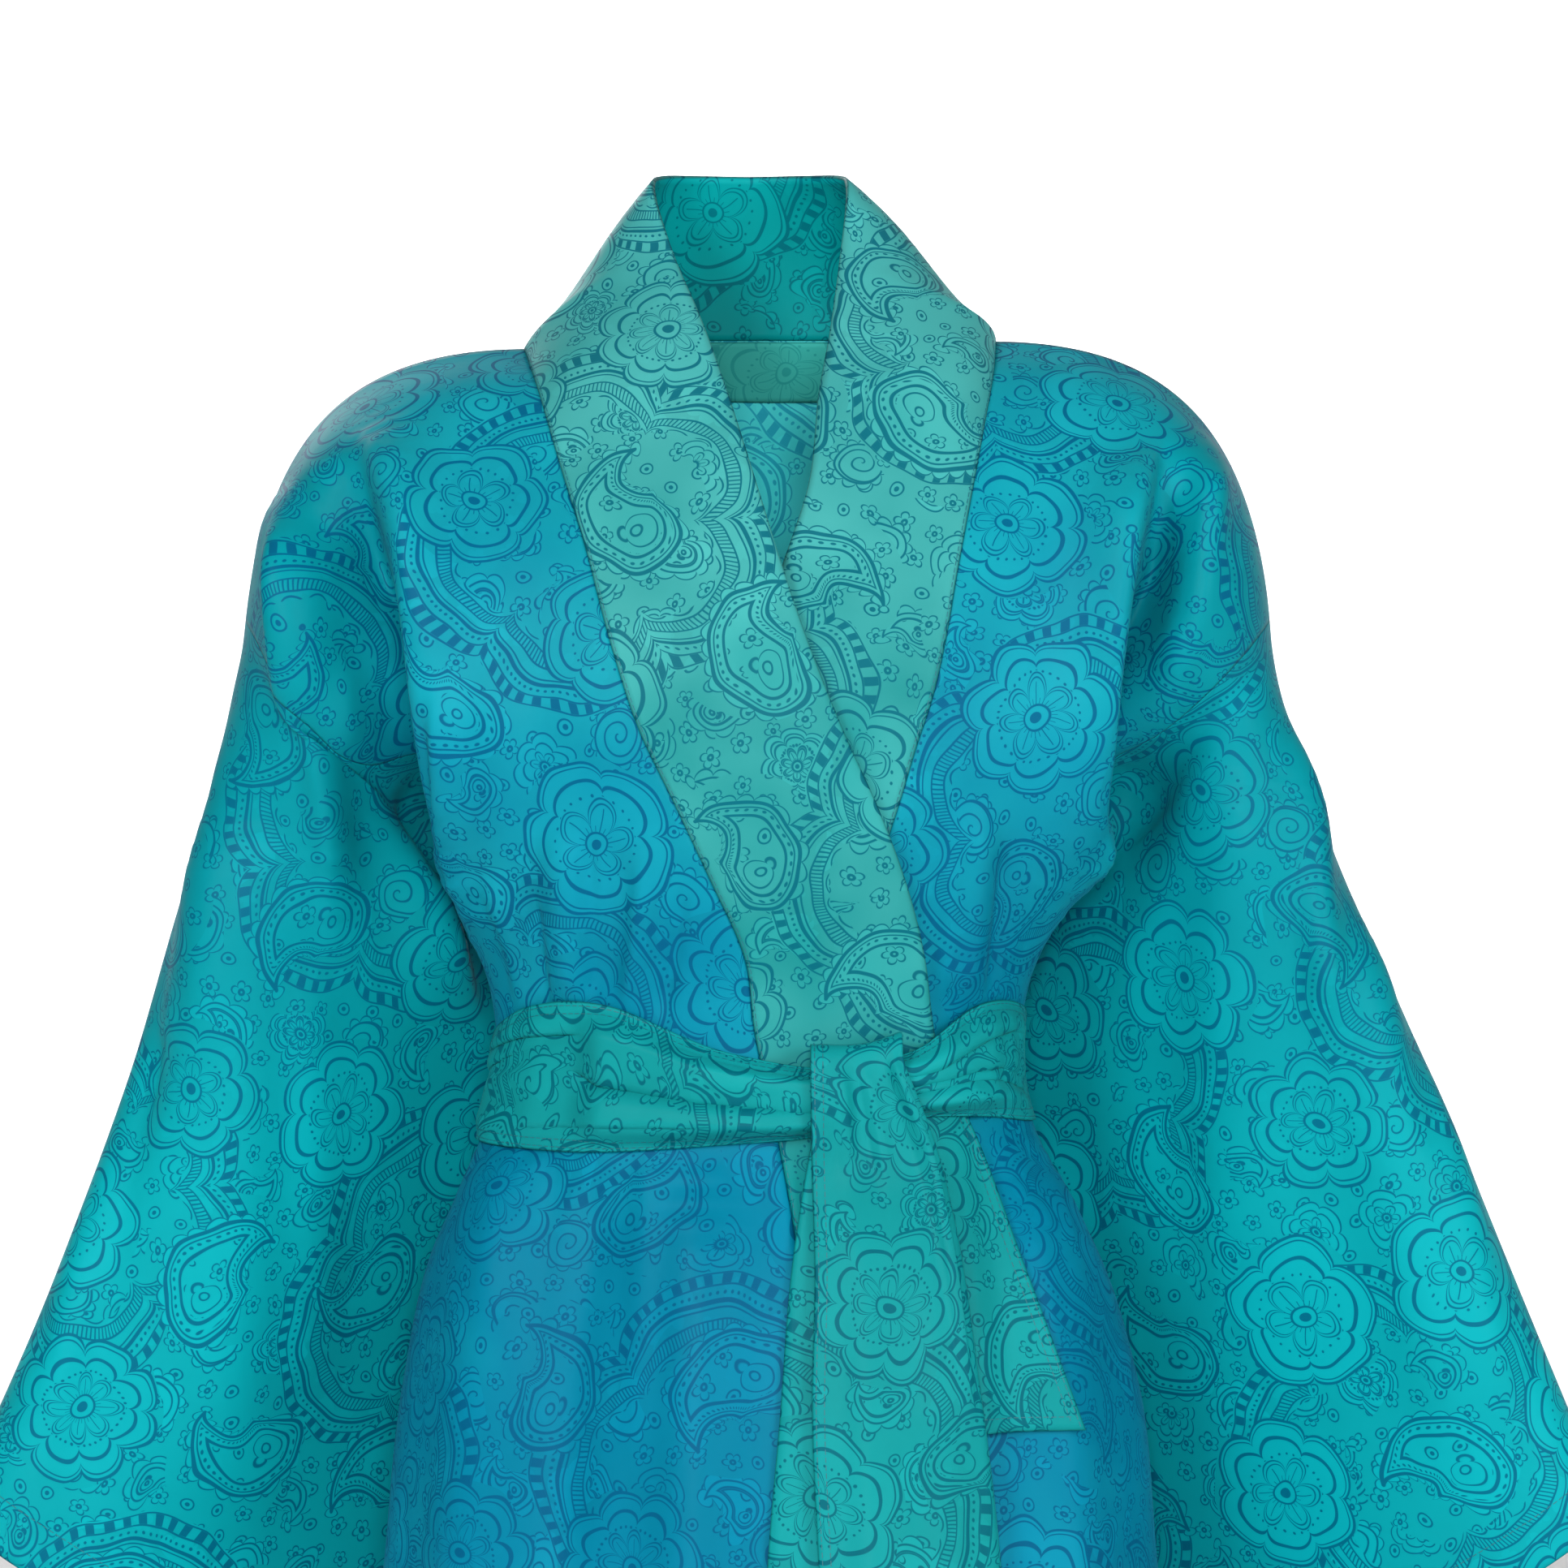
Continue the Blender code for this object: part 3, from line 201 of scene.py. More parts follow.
OUTER_SEAM = (
    Edge(-0.1180, 0.005, 0.0040),
    Edge(-0.1085, -0.045, -0.0215),
    Edge(-0.0954, -0.080, -0.0642),
    Edge(-0.0836, -0.105, -0.1010),
    Edge(-0.0700, None, -0.1507),
    Edge(-0.0570, None, -0.1897),
    Edge(-0.0412, None, -0.2227),
    Edge(-0.0217, None, -0.2645),
    Edge(-0.0058, None, -0.3022),
    Edge(-0.0020, None, -0.3340),
    Edge(0.0100, None, -0.3900),
    Edge(0.0200, None, -0.4500),
    Edge(0.0240, None, -0.6100),
    Edge(0.0260, None, HEM_Z),
)
INNER_SEAM = (
    Edge(0.1190, 0.005, 0.0078),
    Edge(0.1160, -0.036, -0.0130),
    Edge(0.1105, -0.064, -0.0415),
    Edge(0.1040, -0.086, -0.0760),
    Edge(0.0975, -0.101, -0.1097),
    Edge(0.0915, None, -0.1428),
    Edge(0.0844, None, -0.1738),
    Edge(0.0765, None, -0.1976),
    Edge(0.0670, None, -0.2290),
    Edge(0.0450, None, -0.2900),
    Edge(0.0200, None, -0.3450),
    Edge(-0.0050, None, -0.4000),
    Edge(-0.0200, None, -0.4500),
    Edge(-0.0240, None, -0.6100),
    Edge(-0.0260, None, HEM_Z),
)
OUTER_EDGE = (
    Edge(-0.0534, 0.008, 0.0885),
    Edge(-0.0420, -0.020, 0.0486),
    Edge(-0.0282, -0.048, 0.0143),
    Edge(-0.0148, -0.075, -0.0241),
    Edge(-0.0010, -0.102, -0.0681),
    Edge(0.0118, -0.120, -0.1100),
    Edge(0.0256, None, -0.1505),
    Edge(0.0412, None, -0.1898),
    Edge(0.0589, None, -0.2290),
    Edge(0.0709, None, -0.2606),
    Edge(0.0812, None, -0.3000),
    Edge(0.0853, None, -0.3325),
    Edge(0.0960, None, -0.3900),
    Edge(0.1040, None, -0.4500),
    Edge(0.1120, None, -0.6100),
    Edge(0.1160, None, HEM_Z),
)
INNER_EDGE = (
    Edge(0.0444, 0.008, 0.0885),
    Edge(0.0407, -0.020, 0.0486),
    Edge(0.0355, -0.048, 0.0077),
    Edge(0.0300, -0.068, -0.0239),
    Edge(0.0250, -0.090, -0.0678),
    Edge(0.0119, -0.106, -0.1096),
    Edge(-0.0050, None, -0.1600),
    Edge(-0.0220, None, -0.2100),
    Edge(-0.0450, None, -0.2700),
    Edge(-0.0680, None, -0.3300),
    Edge(-0.0900, None, -0.4000),
    Edge(-0.1040, None, -0.4500),
    Edge(-0.1120, None, -0.6100),
    Edge(-0.1160, None, HEM_Z),
)
BACK_NECK_SEAM = (Edge(0.0, 0.085, 0.0146), Edge(-0.055, 0.074, 0.0135), Edge(-0.098, 0.040, 0.0100))
BACK_NECK_EDGE = (Edge(-0.004, 0.062, 0.0970), Edge(-0.030, 0.054, 0.0965), Edge(-0.049, 0.032, 0.0940))

RIGHT_SLEEVE = (
    SleeveLine(0.00, -0.2580, 0.000, -0.132, -0.157, 0.000, UNDERARM_Z, 0.050, 0.060),
    SleeveLine(0.07, -0.2600, 0.001, -0.147, -0.148, 0.036, -0.262, 0.050, 0.058),
    SleeveLine(0.17, -0.2650, 0.002, -0.170, -0.138, 0.052, -0.290, 0.050, 0.054),
    SleeveLine(0.33, -0.2760, 0.004, -0.222, -0.125, 0.066, -0.345, 0.048, 0.048),
    SleeveLine(0.50, -0.2960, 0.006, -0.288, -0.127, 0.090, -0.420, 0.048, 0.044),
    SleeveLine(0.67, -0.3210, 0.008, -0.371, -0.140, 0.108, -0.510, 0.046, 0.040),
    SleeveLine(0.83, -0.3600, 0.010, -0.475, -0.162, 0.116, -0.622, 0.044, 0.040),
    SleeveLine(1.00, -0.4080, 0.012, -0.584, -0.192, 0.118, -0.736, 0.042, 0.042),
)
LEFT_SLEEVE = (
    SleeveLine(0.00, 0.2570, 0.000, -0.132, 0.163, 0.000, UNDERARM_Z, 0.050, 0.060),
    SleeveLine(0.07, 0.2585, 0.001, -0.147, 0.154, 0.036, -0.262, 0.050, 0.058),
    SleeveLine(0.17, 0.2630, 0.002, -0.170, 0.144, 0.052, -0.290, 0.050, 0.054),
    SleeveLine(0.33, 0.2790, 0.004, -0.222, 0.130, 0.066, -0.345, 0.048, 0.048),
    SleeveLine(0.50, 0.3060, 0.006, -0.288, 0.132, 0.090, -0.420, 0.048, 0.044),
    SleeveLine(0.67, 0.3430, 0.008, -0.371, 0.149, 0.108, -0.510, 0.046, 0.040),
    SleeveLine(0.83, 0.3860, 0.010, -0.475, 0.175, 0.116, -0.624, 0.044, 0.040),
    SleeveLine(1.00, 0.4310, 0.012, -0.584, 0.208, 0.118, -0.740, 0.042, 0.042),
)

FRONT_FOLDS = (
    Fold(-0.196, -0.030, -0.166, -0.134, -0.142, -0.300, 0.012, 0.030, 0.014),
    Fold(-0.204, -0.055, -0.184, -0.160, -0.160, -0.275, 0.022, 0.015, -0.026),
    Fold(-0.232, -0.060, -0.230, -0.150, -0.214, -0.300, 0.014, 0.020, 0.009),
    Fold(-0.220, -0.165, -0.190, -0.240, -0.160, -0.350, 0.012, 0.014, 0.006),
    Fold(0.194, -0.045, 0.176, -0.150, 0.150, -0.300, 0.030, 0.012, 0.014),
    Fold(0.212, -0.055, 0.194, -0.160, 0.168, -0.270, 0.015, 0.022, -0.026),
    Fold(0.216, -0.030, 0.216, -0.130, 0.168, -0.250, 0.014, 0.012, 0.010),
    Fold(0.250, -0.200, 0.235, -0.330, 0.250, -0.560, 0.020, 0.030, 0.008),
    Fold(0.300, -0.260, 0.320, -0.400, 0.370, -0.600, 0.022, 0.022, 0.008),
    Fold(-0.262, -0.220, -0.264, -0.380, -0.270, -0.620, 0.026, 0.026, 0.009),
    Fold(-0.300, -0.330, -0.322, -0.430, -0.350, -0.640, 0.020, 0.020, -0.007),
    Fold(-0.095, -0.230, -0.094, -0.280, -0.090, -0.330, 0.010, 0.012, 0.007),
    Fold(-0.066, -0.240, -0.072, -0.285, -0.078, -0.330, 0.008, 0.010, -0.005),
    Fold(0.108, -0.220, 0.104, -0.275, 0.100, -0.330, 0.010, 0.010, 0.007),
    Fold(-0.118, -0.390, -0.140, -0.520, -0.150, -0.860, 0.018, 0.020, 0.010),
    Fold(-0.075, -0.395, -0.090, -0.500, -0.098, -0.640, 0.014, 0.016, -0.006),
    Fold(-0.028, -0.395, -0.034, -0.600, -0.044, -1.080, 0.018, 0.020, 0.010),
    Fold(0.128, -0.385, 0.150, -0.560, 0.168, -0.960, 0.018, 0.020, 0.011),
    Fold(-0.108, -0.640, -0.114, -0.860, -0.122, -1.120, 0.026, 0.026, 0.014),
    Fold(0.060, -0.560, 0.066, -0.800, 0.072, -1.120, 0.028, 0.028, 0.011),
)
BACK_FOLDS = (
    Fold(-0.196, -0.030, -0.168, -0.134, -0.140, -0.300, 0.012, 0.030, 0.013),
    Fold(-0.204, -0.055, -0.184, -0.160, -0.158, -0.275, 0.018, 0.012, -0.020),
    Fold(0.196, -0.030, 0.172, -0.134, 0.146, -0.300, 0.030, 0.012, 0.013),
    Fold(0.206, -0.055, 0.188, -0.160, 0.162, -0.275, 0.012, 0.018, -0.020),
    Fold(-0.070, -0.220, -0.062, -0.275, -0.056, -0.330, 0.012, 0.012, 0.007),
    Fold(0.010, -0.215, 0.008, -0.270, 0.006, -0.330, 0.012, 0.012, 0.006),
    Fold(0.082, -0.225, 0.074, -0.280, 0.068, -0.330, 0.012, 0.012, 0.007),
    Fold(-0.090, -0.385, -0.112, -0.640, -0.134, -1.120, 0.024, 0.026, 0.015),
    Fold(-0.028, -0.390, -0.036, -0.620, -0.044, -1.060, 0.020, 0.024, 0.010),
    Fold(0.036, -0.385, 0.046, -0.660, 0.054, -1.120, 0.022, 0.026, 0.014),
    Fold(0.104, -0.390, 0.126, -0.600, 0.148, -1.100, 0.020, 0.024, 0.012),
    Fold(-0.250, -0.250, -0.262, -0.400, -0.290, -0.660, 0.024, 0.024, 0.009),
    Fold(0.262, -0.250, 0.280, -0.400, 0.312, -0.660, 0.024, 0.024, 0.009),
)

# Finer creases, which only the cloth here has
FRONT_CREASES = (
    Fold(-0.196, -0.036, -0.164, -0.165, -0.147, -0.330, 0.004, 0.022, 0.008),
    Fold(-0.199, -0.050, -0.180, -0.140, -0.162, -0.245, 0.016, 0.004, -0.016),
    Fold(-0.188, -0.110, -0.176, -0.170, -0.164, -0.235, 0.010, 0.004, -0.006),
    Fold(-0.226, -0.060, -0.216, -0.120, -0.200, -0.190, 0.008, 0.012, -0.008),
    Fold(-0.232, -0.084, -0.229, -0.165, -0.212, -0.310, 0.004, 0.014, 0.008),
    Fold(-0.215, -0.142, -0.180, -0.240, -0.142, -0.342, 0.012, 0.004, 0.012),
    Fold(-0.150, -0.160, -0.144, -0.220, -0.139, -0.300, 0.003, 0.008, 0.004),
    Fold(-0.155, -0.175, -0.150, -0.225, -0.144, -0.300, 0.004, 0.003, -0.004),
    Fold(-0.124, -0.150, -0.122, -0.225, -0.127, -0.310, 0.014, 0.012, 0.005),
    Fold(0.199, -0.030, 0.172, -0.165, 0.144, -0.320, 0.022, 0.004, 0.008),
    Fold(0.204, -0.045, 0.184, -0.140, 0.164, -0.240, 0.005, 0.015, -0.020),
    Fold(0.196, -0.100, 0.183, -0.160, 0.168, -0.230, 0.004, 0.010, -0.006),
    Fold(0.217, -0.055, 0.215, -0.105, 0.196, -0.165, 0.005, 0.010, 0.008),
    Fold(0.207, -0.132, 0.184, -0.192, 0.148, -0.272, 0.004, 0.012, 0.012),
    Fold(0.268, -0.170, 0.276, -0.260, 0.286, -0.350, 0.008, 0.008, 0.005),
    Fold(-0.125, -0.255, -0.121, -0.290, -0.116, -0.335, 0.004, 0.005, 0.003),
    Fold(-0.110, -0.262, -0.107, -0.295, -0.104, -0.335, 0.003, 0.004, -0.003),
    Fold(-0.083, -0.235, -0.082, -0.282, -0.082, -0.335, 0.004, 0.004, -0.0035),
    Fold(-0.056, -0.250, -0.060, -0.290, -0.066, -0.330, 0.004, 0.004, 0.003),
    Fold(-0.036, -0.262, -0.041, -0.300, -0.048, -0.335, 0.004, 0.004, -0.003),
    Fold(-0.120, -0.392, -0.124, -0.430, -0.132, -0.500, 0.007, 0.009, 0.0020),
    Fold(-0.098, -0.394, -0.104, -0.440, -0.112, -0.520, 0.006, 0.009, -0.0018),
    Fold(-0.052, -0.394, -0.056, -0.450, -0.060, -0.560, 0.007, 0.010, 0.0026),
    Fold(0.120, -0.240, 0.117, -0.280, 0.114, -0.330, 0.004, 0.005, -0.003),
    Fold(0.093, -0.245, 0.092, -0.285, 0.090, -0.325, 0.004, 0.004, 0.003),
    Fold(0.132, -0.390, 0.140, -0.440, 0.152, -0.520, 0.007, 0.009, -0.0020),
    Fold(-0.272, -0.170, -0.275, -0.260, -0.282, -0.360, 0.010, 0.012, 0.004),
    Fold(-0.296, -0.240, -0.304, -0.320, -0.320, -0.420, 0.010, 0.010, -0.004),
    Fold(-0.330, -0.330, -0.340, -0.420, -0.356, -0.560, 0.010, 0.014, 0.004),
    Fold(-0.230, -0.300, -0.226, -0.400, -0.232, -0.560, 0.012, 0.014, 0.004),
    Fold(0.272, -0.160, 0.276, -0.250, 0.290, -0.360, 0.012, 0.010, 0.004),
    Fold(0.312, -0.240, 0.324, -0.320, 0.346, -0.430, 0.010, 0.010, -0.004),
    Fold(0.340, -0.330, 0.352, -0.420, 0.380, -0.560, 0.014, 0.010, 0.004),
)
BACK_CREASES = (
    Fold(-0.202, -0.050, -0.172, -0.134, -0.148, -0.280, 0.007, 0.014, 0.004),
    Fold(0.202, -0.050, 0.176, -0.134, 0.152, -0.280, 0.014, 0.007, 0.004),
    Fold(-0.100, -0.240, -0.095, -0.290, -0.090, -0.335, 0.004, 0.005, 0.003),
    Fold(-0.040, -0.240, -0.037, -0.290, -0.034, -0.335, 0.005, 0.004, -0.003),
    Fold(0.045, -0.236, 0.041, -0.290, 0.038, -0.335, 0.004, 0.005, 0.003),
    Fold(0.104, -0.240, 0.099, -0.290, 0.095, -0.335, 0.005, 0.004, -0.003),
    Fold(-0.060, -0.388, -0.070, -0.450, -0.082, -0.560, 0.005, 0.007, -0.003),
    Fold(0.005, -0.388, 0.006, -0.450, 0.008, -0.580, 0.006, 0.006, 0.003),
    Fold(0.070, -0.388, 0.080, -0.450, 0.092, -0.560, 0.007, 0.005, -0.003),
    Fold(-0.276, -0.200, -0.286, -0.300, -0.304, -0.420, 0.010, 0.012, 0.004),
    Fold(0.284, -0.200, 0.296, -0.300, 0.318, -0.420, 0.012, 0.010, 0.004),
)

SASH = (
    SashStation(0, -0.3850, -0.3340),
    SashStation(15, -0.3840, -0.3260),
    SashStation(38, -0.3800, -0.3250),
    SashStation(60, -0.3790, -0.3470),
    SashStation(70, -0.3810, -0.3515),
    SashStation(81, -0.3880, -0.3540),
    SashStation(95, -0.3915, -0.3470),
    SashStation(121, -0.3960, -0.3240),
    SashStation(145, -0.3955, -0.3260),
    SashStation(160, -0.3945, -0.3340),
    SashStation(180, -0.3935, -0.3440),
    SashStation(225, -0.3900, -0.3270),
    SashStation(270, -0.3860, -0.3230),
    SashStation(315, -0.3850, -0.3250),
    SashStation(345, -0.3850, -0.3290),
    SashStation(360, -0.3850, -0.3340),
)
SASH_CREASES = (
    Crease(4, 62, 0.30, 0.55, 0.16, 0.0022),
    Crease(12, 64, 0.75, 0.70, 0.14, 0.0020),
    Crease(84, 128, 0.62, 0.55, 0.14, 0.0024),
    Crease(132, 188, 0.72, 0.62, 0.13, 0.0022),
    Crease(190, 300, 0.45, 0.52, 0.16, 0.0022),
    Crease(250, 352, 0.75, 0.66, 0.14, 0.0018),
)
SASH_FINE_CREASES = (
    Crease(71, 131, 0.54, 0.52, 0.10, 0.0110),
    Crease(72, 112, 0.84, 0.90, 0.05, 0.0016),
    Crease(122, 178, 0.78, 0.84, 0.07, 0.0030),
    Crease(92, 150, 0.22, 0.14, 0.05, 0.0014),
    Crease(20, 74, 0.80, 0.70, 0.06, 0.0038),
    Crease(30, 74, 0.46, 0.62, 0.06, 0.0038),
    Crease(8, 72, 0.24, 0.46, 0.07, 0.0022),
    Crease(200, 262, 0.24, 0.30, 0.06, 0.0012),
    Crease(228, 330, 0.60, 0.62, 0.05, 0.0014),
    Crease(286, 350, 0.34, 0.40, 0.06, 0.0012),
)
LONG_TAIL = (
    TailSection(-0.3440, 0.0255, 0.0700, 0.0330, 0.0012),
    TailSection(-0.3900, 0.0262, 0.0850, 0.0240, 0.0016),
    TailSection(-0.4400, 0.0275, 0.0960, 0.0165, 0.0026),
    TailSection(-0.5100, 0.0262, 0.1060, 0.0110, 0.0030),
    TailSection(-0.6000, 0.0300, 0.1170, 0.0040, 0.0030),
    TailSection(-0.7000, 0.0330, 0.1220, 0.0030, 0.0030),
    TailSection(-0.8600, 0.0350, 0.1260, 0.0030, 0.0030),
)
SHORT_TAIL = (
    ShortSection(-0.3660, 0.0560, 0.0960),
    ShortSection(-0.3790, 0.0560, 0.1026),
    ShortSection(-0.4500, 0.0600, 0.1300),
    ShortSection(-0.5310, 0.0640, 0.1600),
)

# The long end's gathers under the tie and its slanting pleat
TAIL_FOLDS = (
    Fold(0.048, -0.322, 0.083, -0.400, 0.106, -0.545, 0.003, 0.014, 0.0080),
    Fold(0.034, -0.326, 0.040, -0.368, 0.044, -0.415, 0.003, 0.005, 0.0034),
    Fold(0.044, -0.330, 0.055, -0.372, 0.063, -0.420, 0.002, 0.006, 0.0040),
    Fold(0.058, -0.330, 0.074, -0.362, 0.088, -0.395, 0.002, 0.006, 0.0036),
    Fold(0.046, -0.400, 0.052, -0.520, 0.056, -0.760, 0.008, 0.012, 0.0030),
    Fold(0.082, -0.430, 0.092, -0.560, 0.096, -0.800, 0.010, 0.010, 0.0030),
)


def soft_step(low: float, high: float, x: Array) -> Array:
    """A smooth rise from 0 at low to 1 at high."""
    t = np.clip((np.asarray(x, float) - low) / (high - low), 0, 1)
    return t * t * (3 - 2 * t)


def held_between(share: Array, start: float, end: float) -> Array:
    """1 in the middle of a stretch, with a smooth fall to 0 over its first and its last part."""
    return soft_step(0, start, share) * soft_step(0, end, 1 - share)


def unit(v: Array) -> Array:
    """The vectors at length one."""
    v = np.asarray(v, float)
    return v / np.linalg.norm(v, axis=-1, keepdims=True)


def cubic(start: Array, end: Array, start_slope: Array, end_slope: Array, t: Array) -> Array:
    """Points at shares t of the curve that leaves start and reaches end with the given slopes.

    Args:
        start: Where the curve starts.
        end: Where it ends.
        start_slope: Its slope at the start.
        end_slope: Its slope at the end.
        t: The shares of the way.

    Returns:
        The points.
    """
    rise = 3 * t**2 - 2 * t**3
    bend = start_slope * (t**3 - 2 * t**2 + t) + end_slope * (t**3 - t**2)
    return start * (1 - rise) + end * rise + bend


def hermite(knots: Sequence[float], values: Array, at: Array) -> Array:
    """A smooth curve through values at knots, with the slope at each knot taken from its neighbours.

    Args:
        knots: Where the values stand, rising.
        values: A number or a vector for each knot.
        at: Where the curve is read.

    Returns:
        The curve's values.
    """
    knots = np.asarray(knots, float)
    values = np.asarray(values, float)
    at = np.clip(np.asarray(at, float), knots[0], knots[-1])
    slopes = np.gradient(values, knots, axis=0)
    i = np.clip(np.searchsorted(knots, at, side="right") - 1, 0, len(knots) - 2)
    span = knots[i + 1] - knots[i]
    t = (at - knots[i]) / span
    if values.ndim > 1:
        t, span = t[..., None], span[..., None]
    return cubic(values[i], values[i + 1], slopes[i] * span, slopes[i + 1] * span, t)


def bezier(a: Array, b: Array, c: Array, d: Array, t: Array) -> Array:
    """Points at shares t of the curve from a to d with handles b and c."""
    t = np.asarray(t)[..., None]
    return a * (1 - t) ** 3 + 3 * b * t * (1 - t) ** 2 + 3 * c * t**2 * (1 - t) + d * t**3


def column_at(table: Sequence, key: str, column: str, at: Array) -> Array:
    """One column of a table of rows, read at values of its key column."""
    rows = sorted(table, key=lambda row: getattr(row, key))
    return hermite([getattr(r, key) for r in rows], [getattr(r, column) for r in rows], at)


def lengths_of(points: Array) -> Array:
    """The length along a curve at each of its points."""
    steps = np.linalg.norm(np.diff(points, axis=0), axis=-1)
    return np.concatenate([[0], np.cumsum(steps)])


def along(points: Array, at: Array) -> Array:
    """Points of the smooth curve through points, at given lengths along it."""
    return hermite(lengths_of(points), points, at)


def straight_along(lengths: Array, values: Array, at: float) -> Array:
    """The row of values at a length along a line, with straight steps between its rows."""
    return np.array([np.interp(at, lengths, column) for column in values.T])


def read_rows(net: Array, rows: Array) -> Array:
    """Rows of a net at fractional row numbers.

    Args:
        net: The net.
        rows: The row numbers.

    Returns:
        A row for each number.
    """
    rows = np.asarray(rows, float)
    low = np.minimum(rows.astype(int), len(net) - 2)
    share = (rows - low)[:, None, None]
    return net[low] * (1 - share) + net[low + 1] * share


def refine(net: Array, times: int) -> Array:
    """A net with straight steps between its rows and columns.

    Args:
        net: The net.
        times: How many steps each of its own becomes.

    Returns:
        The finer net.
    """
    rows, columns = net.shape[:2]
    net = read_rows(net, np.linspace(0, rows - 1, (rows - 1) * times + 1))
    net = read_rows(net.swapaxes(0, 1), np.linspace(0, columns - 1, (columns - 1) * times + 1))
    return net.swapaxes(0, 1)


def smooth_rows(net: Array, times: int) -> Array:
    """A net with smooth steps between its rows.

    Args:
        net: The net.
        times: How many steps each of its own becomes.

    Returns:
        The net with more rows.
    """
    rows = len(net)
    at = np.linspace(0, rows - 1, (rows - 1) * times + 1)
    return hermite(range(rows), net.reshape(rows, -1), at).reshape(len(at), *net.shape[1:])


def smooth_refine(net: Array, times: int) -> Array:
    """A net with smooth steps between its rows and columns."""
    return smooth_rows(smooth_rows(net, times).swapaxes(0, 1), times).swapaxes(0, 1)


@dataclass(frozen=True)
class Torso:
    """The body of the robe as level rings."""

    rings: tuple[Ring, ...] = TORSO
    roundness: float = 2.2
    overlap_from: float = 0.55
    overlap_to: float = 0.95

    def size(self, column: str, z: Array) -> Array:
        """One size of the rings at some heights."""
        return column_at(self.rings, "z", column, z)

    def point(self, angle: Array, z: Array) -> Array:
        """Points of the rings. Angle 0 is the side seam at +X, and half pi the middle of the front.

        Args:
            angle: The angles.
            z: The heights.

        Returns:
            The points.
        """
        c, s = np.cos(angle), np.sin(angle)
        power = 2 / self.roundness
        x = self.size("shift", z) + self.size("half", z) * np.sign(c) * np.abs(c) ** power
        depth = np.where(s >= 0, self.size("front", z), self.size("back", z))
        y = -depth * np.sign(s) * np.abs(s) ** power
        return np.stack(np.broadcast_arrays(x, y, z), -1)

    def angle(self, x: Array, z: Array) -> Array:
        """The angle at which the front half of the ring passes a given x."""
        c = np.clip((x - self.size("shift", z)) / self.size("half", z), -1, 1)
        return np.arccos(np.sign(c) * np.abs(c) ** (self.roundness / 2))

    def front_y(self, x: Array, z: Array) -> Array:
        """The y of the rings' front at a given x."""
        return self.point(self.angle(x, z), z)[..., 1]

    def overlap(self, x: Array, z: Array) -> Array:
        """How much of the overlap's spacing holds: none at the side seams, all where the fronts lap."""
        reach = np.abs((x - self.size("shift", z)) / self.size("half", z))
        return 1 - soft_step(self.overlap_from, self.overlap_to, reach)

    def curve(self, edges: Sequence[Edge], layer: float) -> Array:
        """The points of an edge's table, with those on the body filled in.

        Args:
            edges: The table.
            layer: How far the cloth lies outside the rings where the fronts lap.

        Returns:
            The points, in the table's order.
        """
        points = []
        for e in edges:
            on_body = self.front_y(e.x, e.z) + layer * self.overlap(e.x, e.z)
            points.append((e.x, on_body if e.y is None else e.y, e.z))
        return np.array(points, float)


TORSO_FORM = Torso()


@dataclass(frozen=True)
class Sleeve:
    """A wide sleeve, as rings from the armhole to the cuff. Turn 0 is the underarm seam, pi / 2 the front."""

    side: Side
    lines: tuple[SleeveLine, ...]
    lean: float = 0.80
    cap_share: float = 0.05

    def ring(self, share: float, turn: Array) -> Array:
        """Points of the ring at a share of the sleeve's length.

        Args:
            share: The share, 0 at the armhole and 1 at the cuff.
            turn: The angles round the ring.

        Returns:
            The points.
        """
        table = np.array([astuple(line) for line in self.lines])
        row = hermite(table[:, 0], table, share)
        outer, under, front, back = row[..., 1:4], row[..., 4:7], row[..., 7], row[..., 8]
        c, s = np.cos(turn)[..., None], np.sin(turn)[..., None]
        line = outer * (1 - c) / 2 + under * (1 + c) / 2
        bulge = np.where(s >= 0, front * s * (1 - self.lean * c), back * s)
        return line + bulge * np.array([0.0, -1.0, 0.0])

    def reach(self, turn: Array) -> Array:
        """The direction in which the sleeve reaches the armhole."""
        return unit(self.ring(0.0, turn) - self.ring(self.cap_share, turn))

    def net(self, rows: int, columns: int) -> Array:
        """The sleeve's net, its first and last columns both at the underarm seam."""
        turns = np.linspace(0, 2 * math.pi, columns + 1)
        return np.array([self.ring(share, turns) for share in np.linspace(0, 1, rows + 1)])


RIGHT_ARM = Sleeve(Side.RIGHT, RIGHT_SLEEVE)
LEFT_ARM = Sleeve(Side.LEFT, LEFT_SLEEVE)


@dataclass(frozen=True)
class Mesh:
    """How finely the nets of the body are divided."""

    low_rows: int = 176
    yoke_rows: int = 84
    side_columns: int = 84
    neck_columns: int = 24
    band_columns: int = 24
    crowding: float = 0.25

    def heights(self) -> Array:
        """The heights of the body's rows, from the hem to the underarm, closer together higher up."""
        t = np.linspace(0, 1, self.low_rows + 1)
        return HEM_Z + (UNDERARM_Z - HEM_Z) * ((1 + self.crowding) * t - self.crowding * t**2)

    def yoke_share(self) -> Array:
        """The shares of the yoke's rows."""
        return np.linspace(0, 1, self.yoke_rows + 1)[1:]

    def seam_rows(self, seam: Array) -> Array:
        """A front's edge for every row: the heights up to the underarm, then even steps to the shoulder.

        Args:
            seam: The points of the edge, from the shoulder to the hem.

        Returns:
            A point for each row.
        """
        fine = np.linspace(0, lengths_of(seam)[-1], CURVE_SAMPLES)
        low = np.interp(-self.heights(), -along(seam, fine)[:, 2], fine)
        yoke = np.linspace(low[-1], 0, self.yoke_rows + 1)[1:]
        return along(seam, np.concatenate([low, yoke]))


MESH = Mesh()


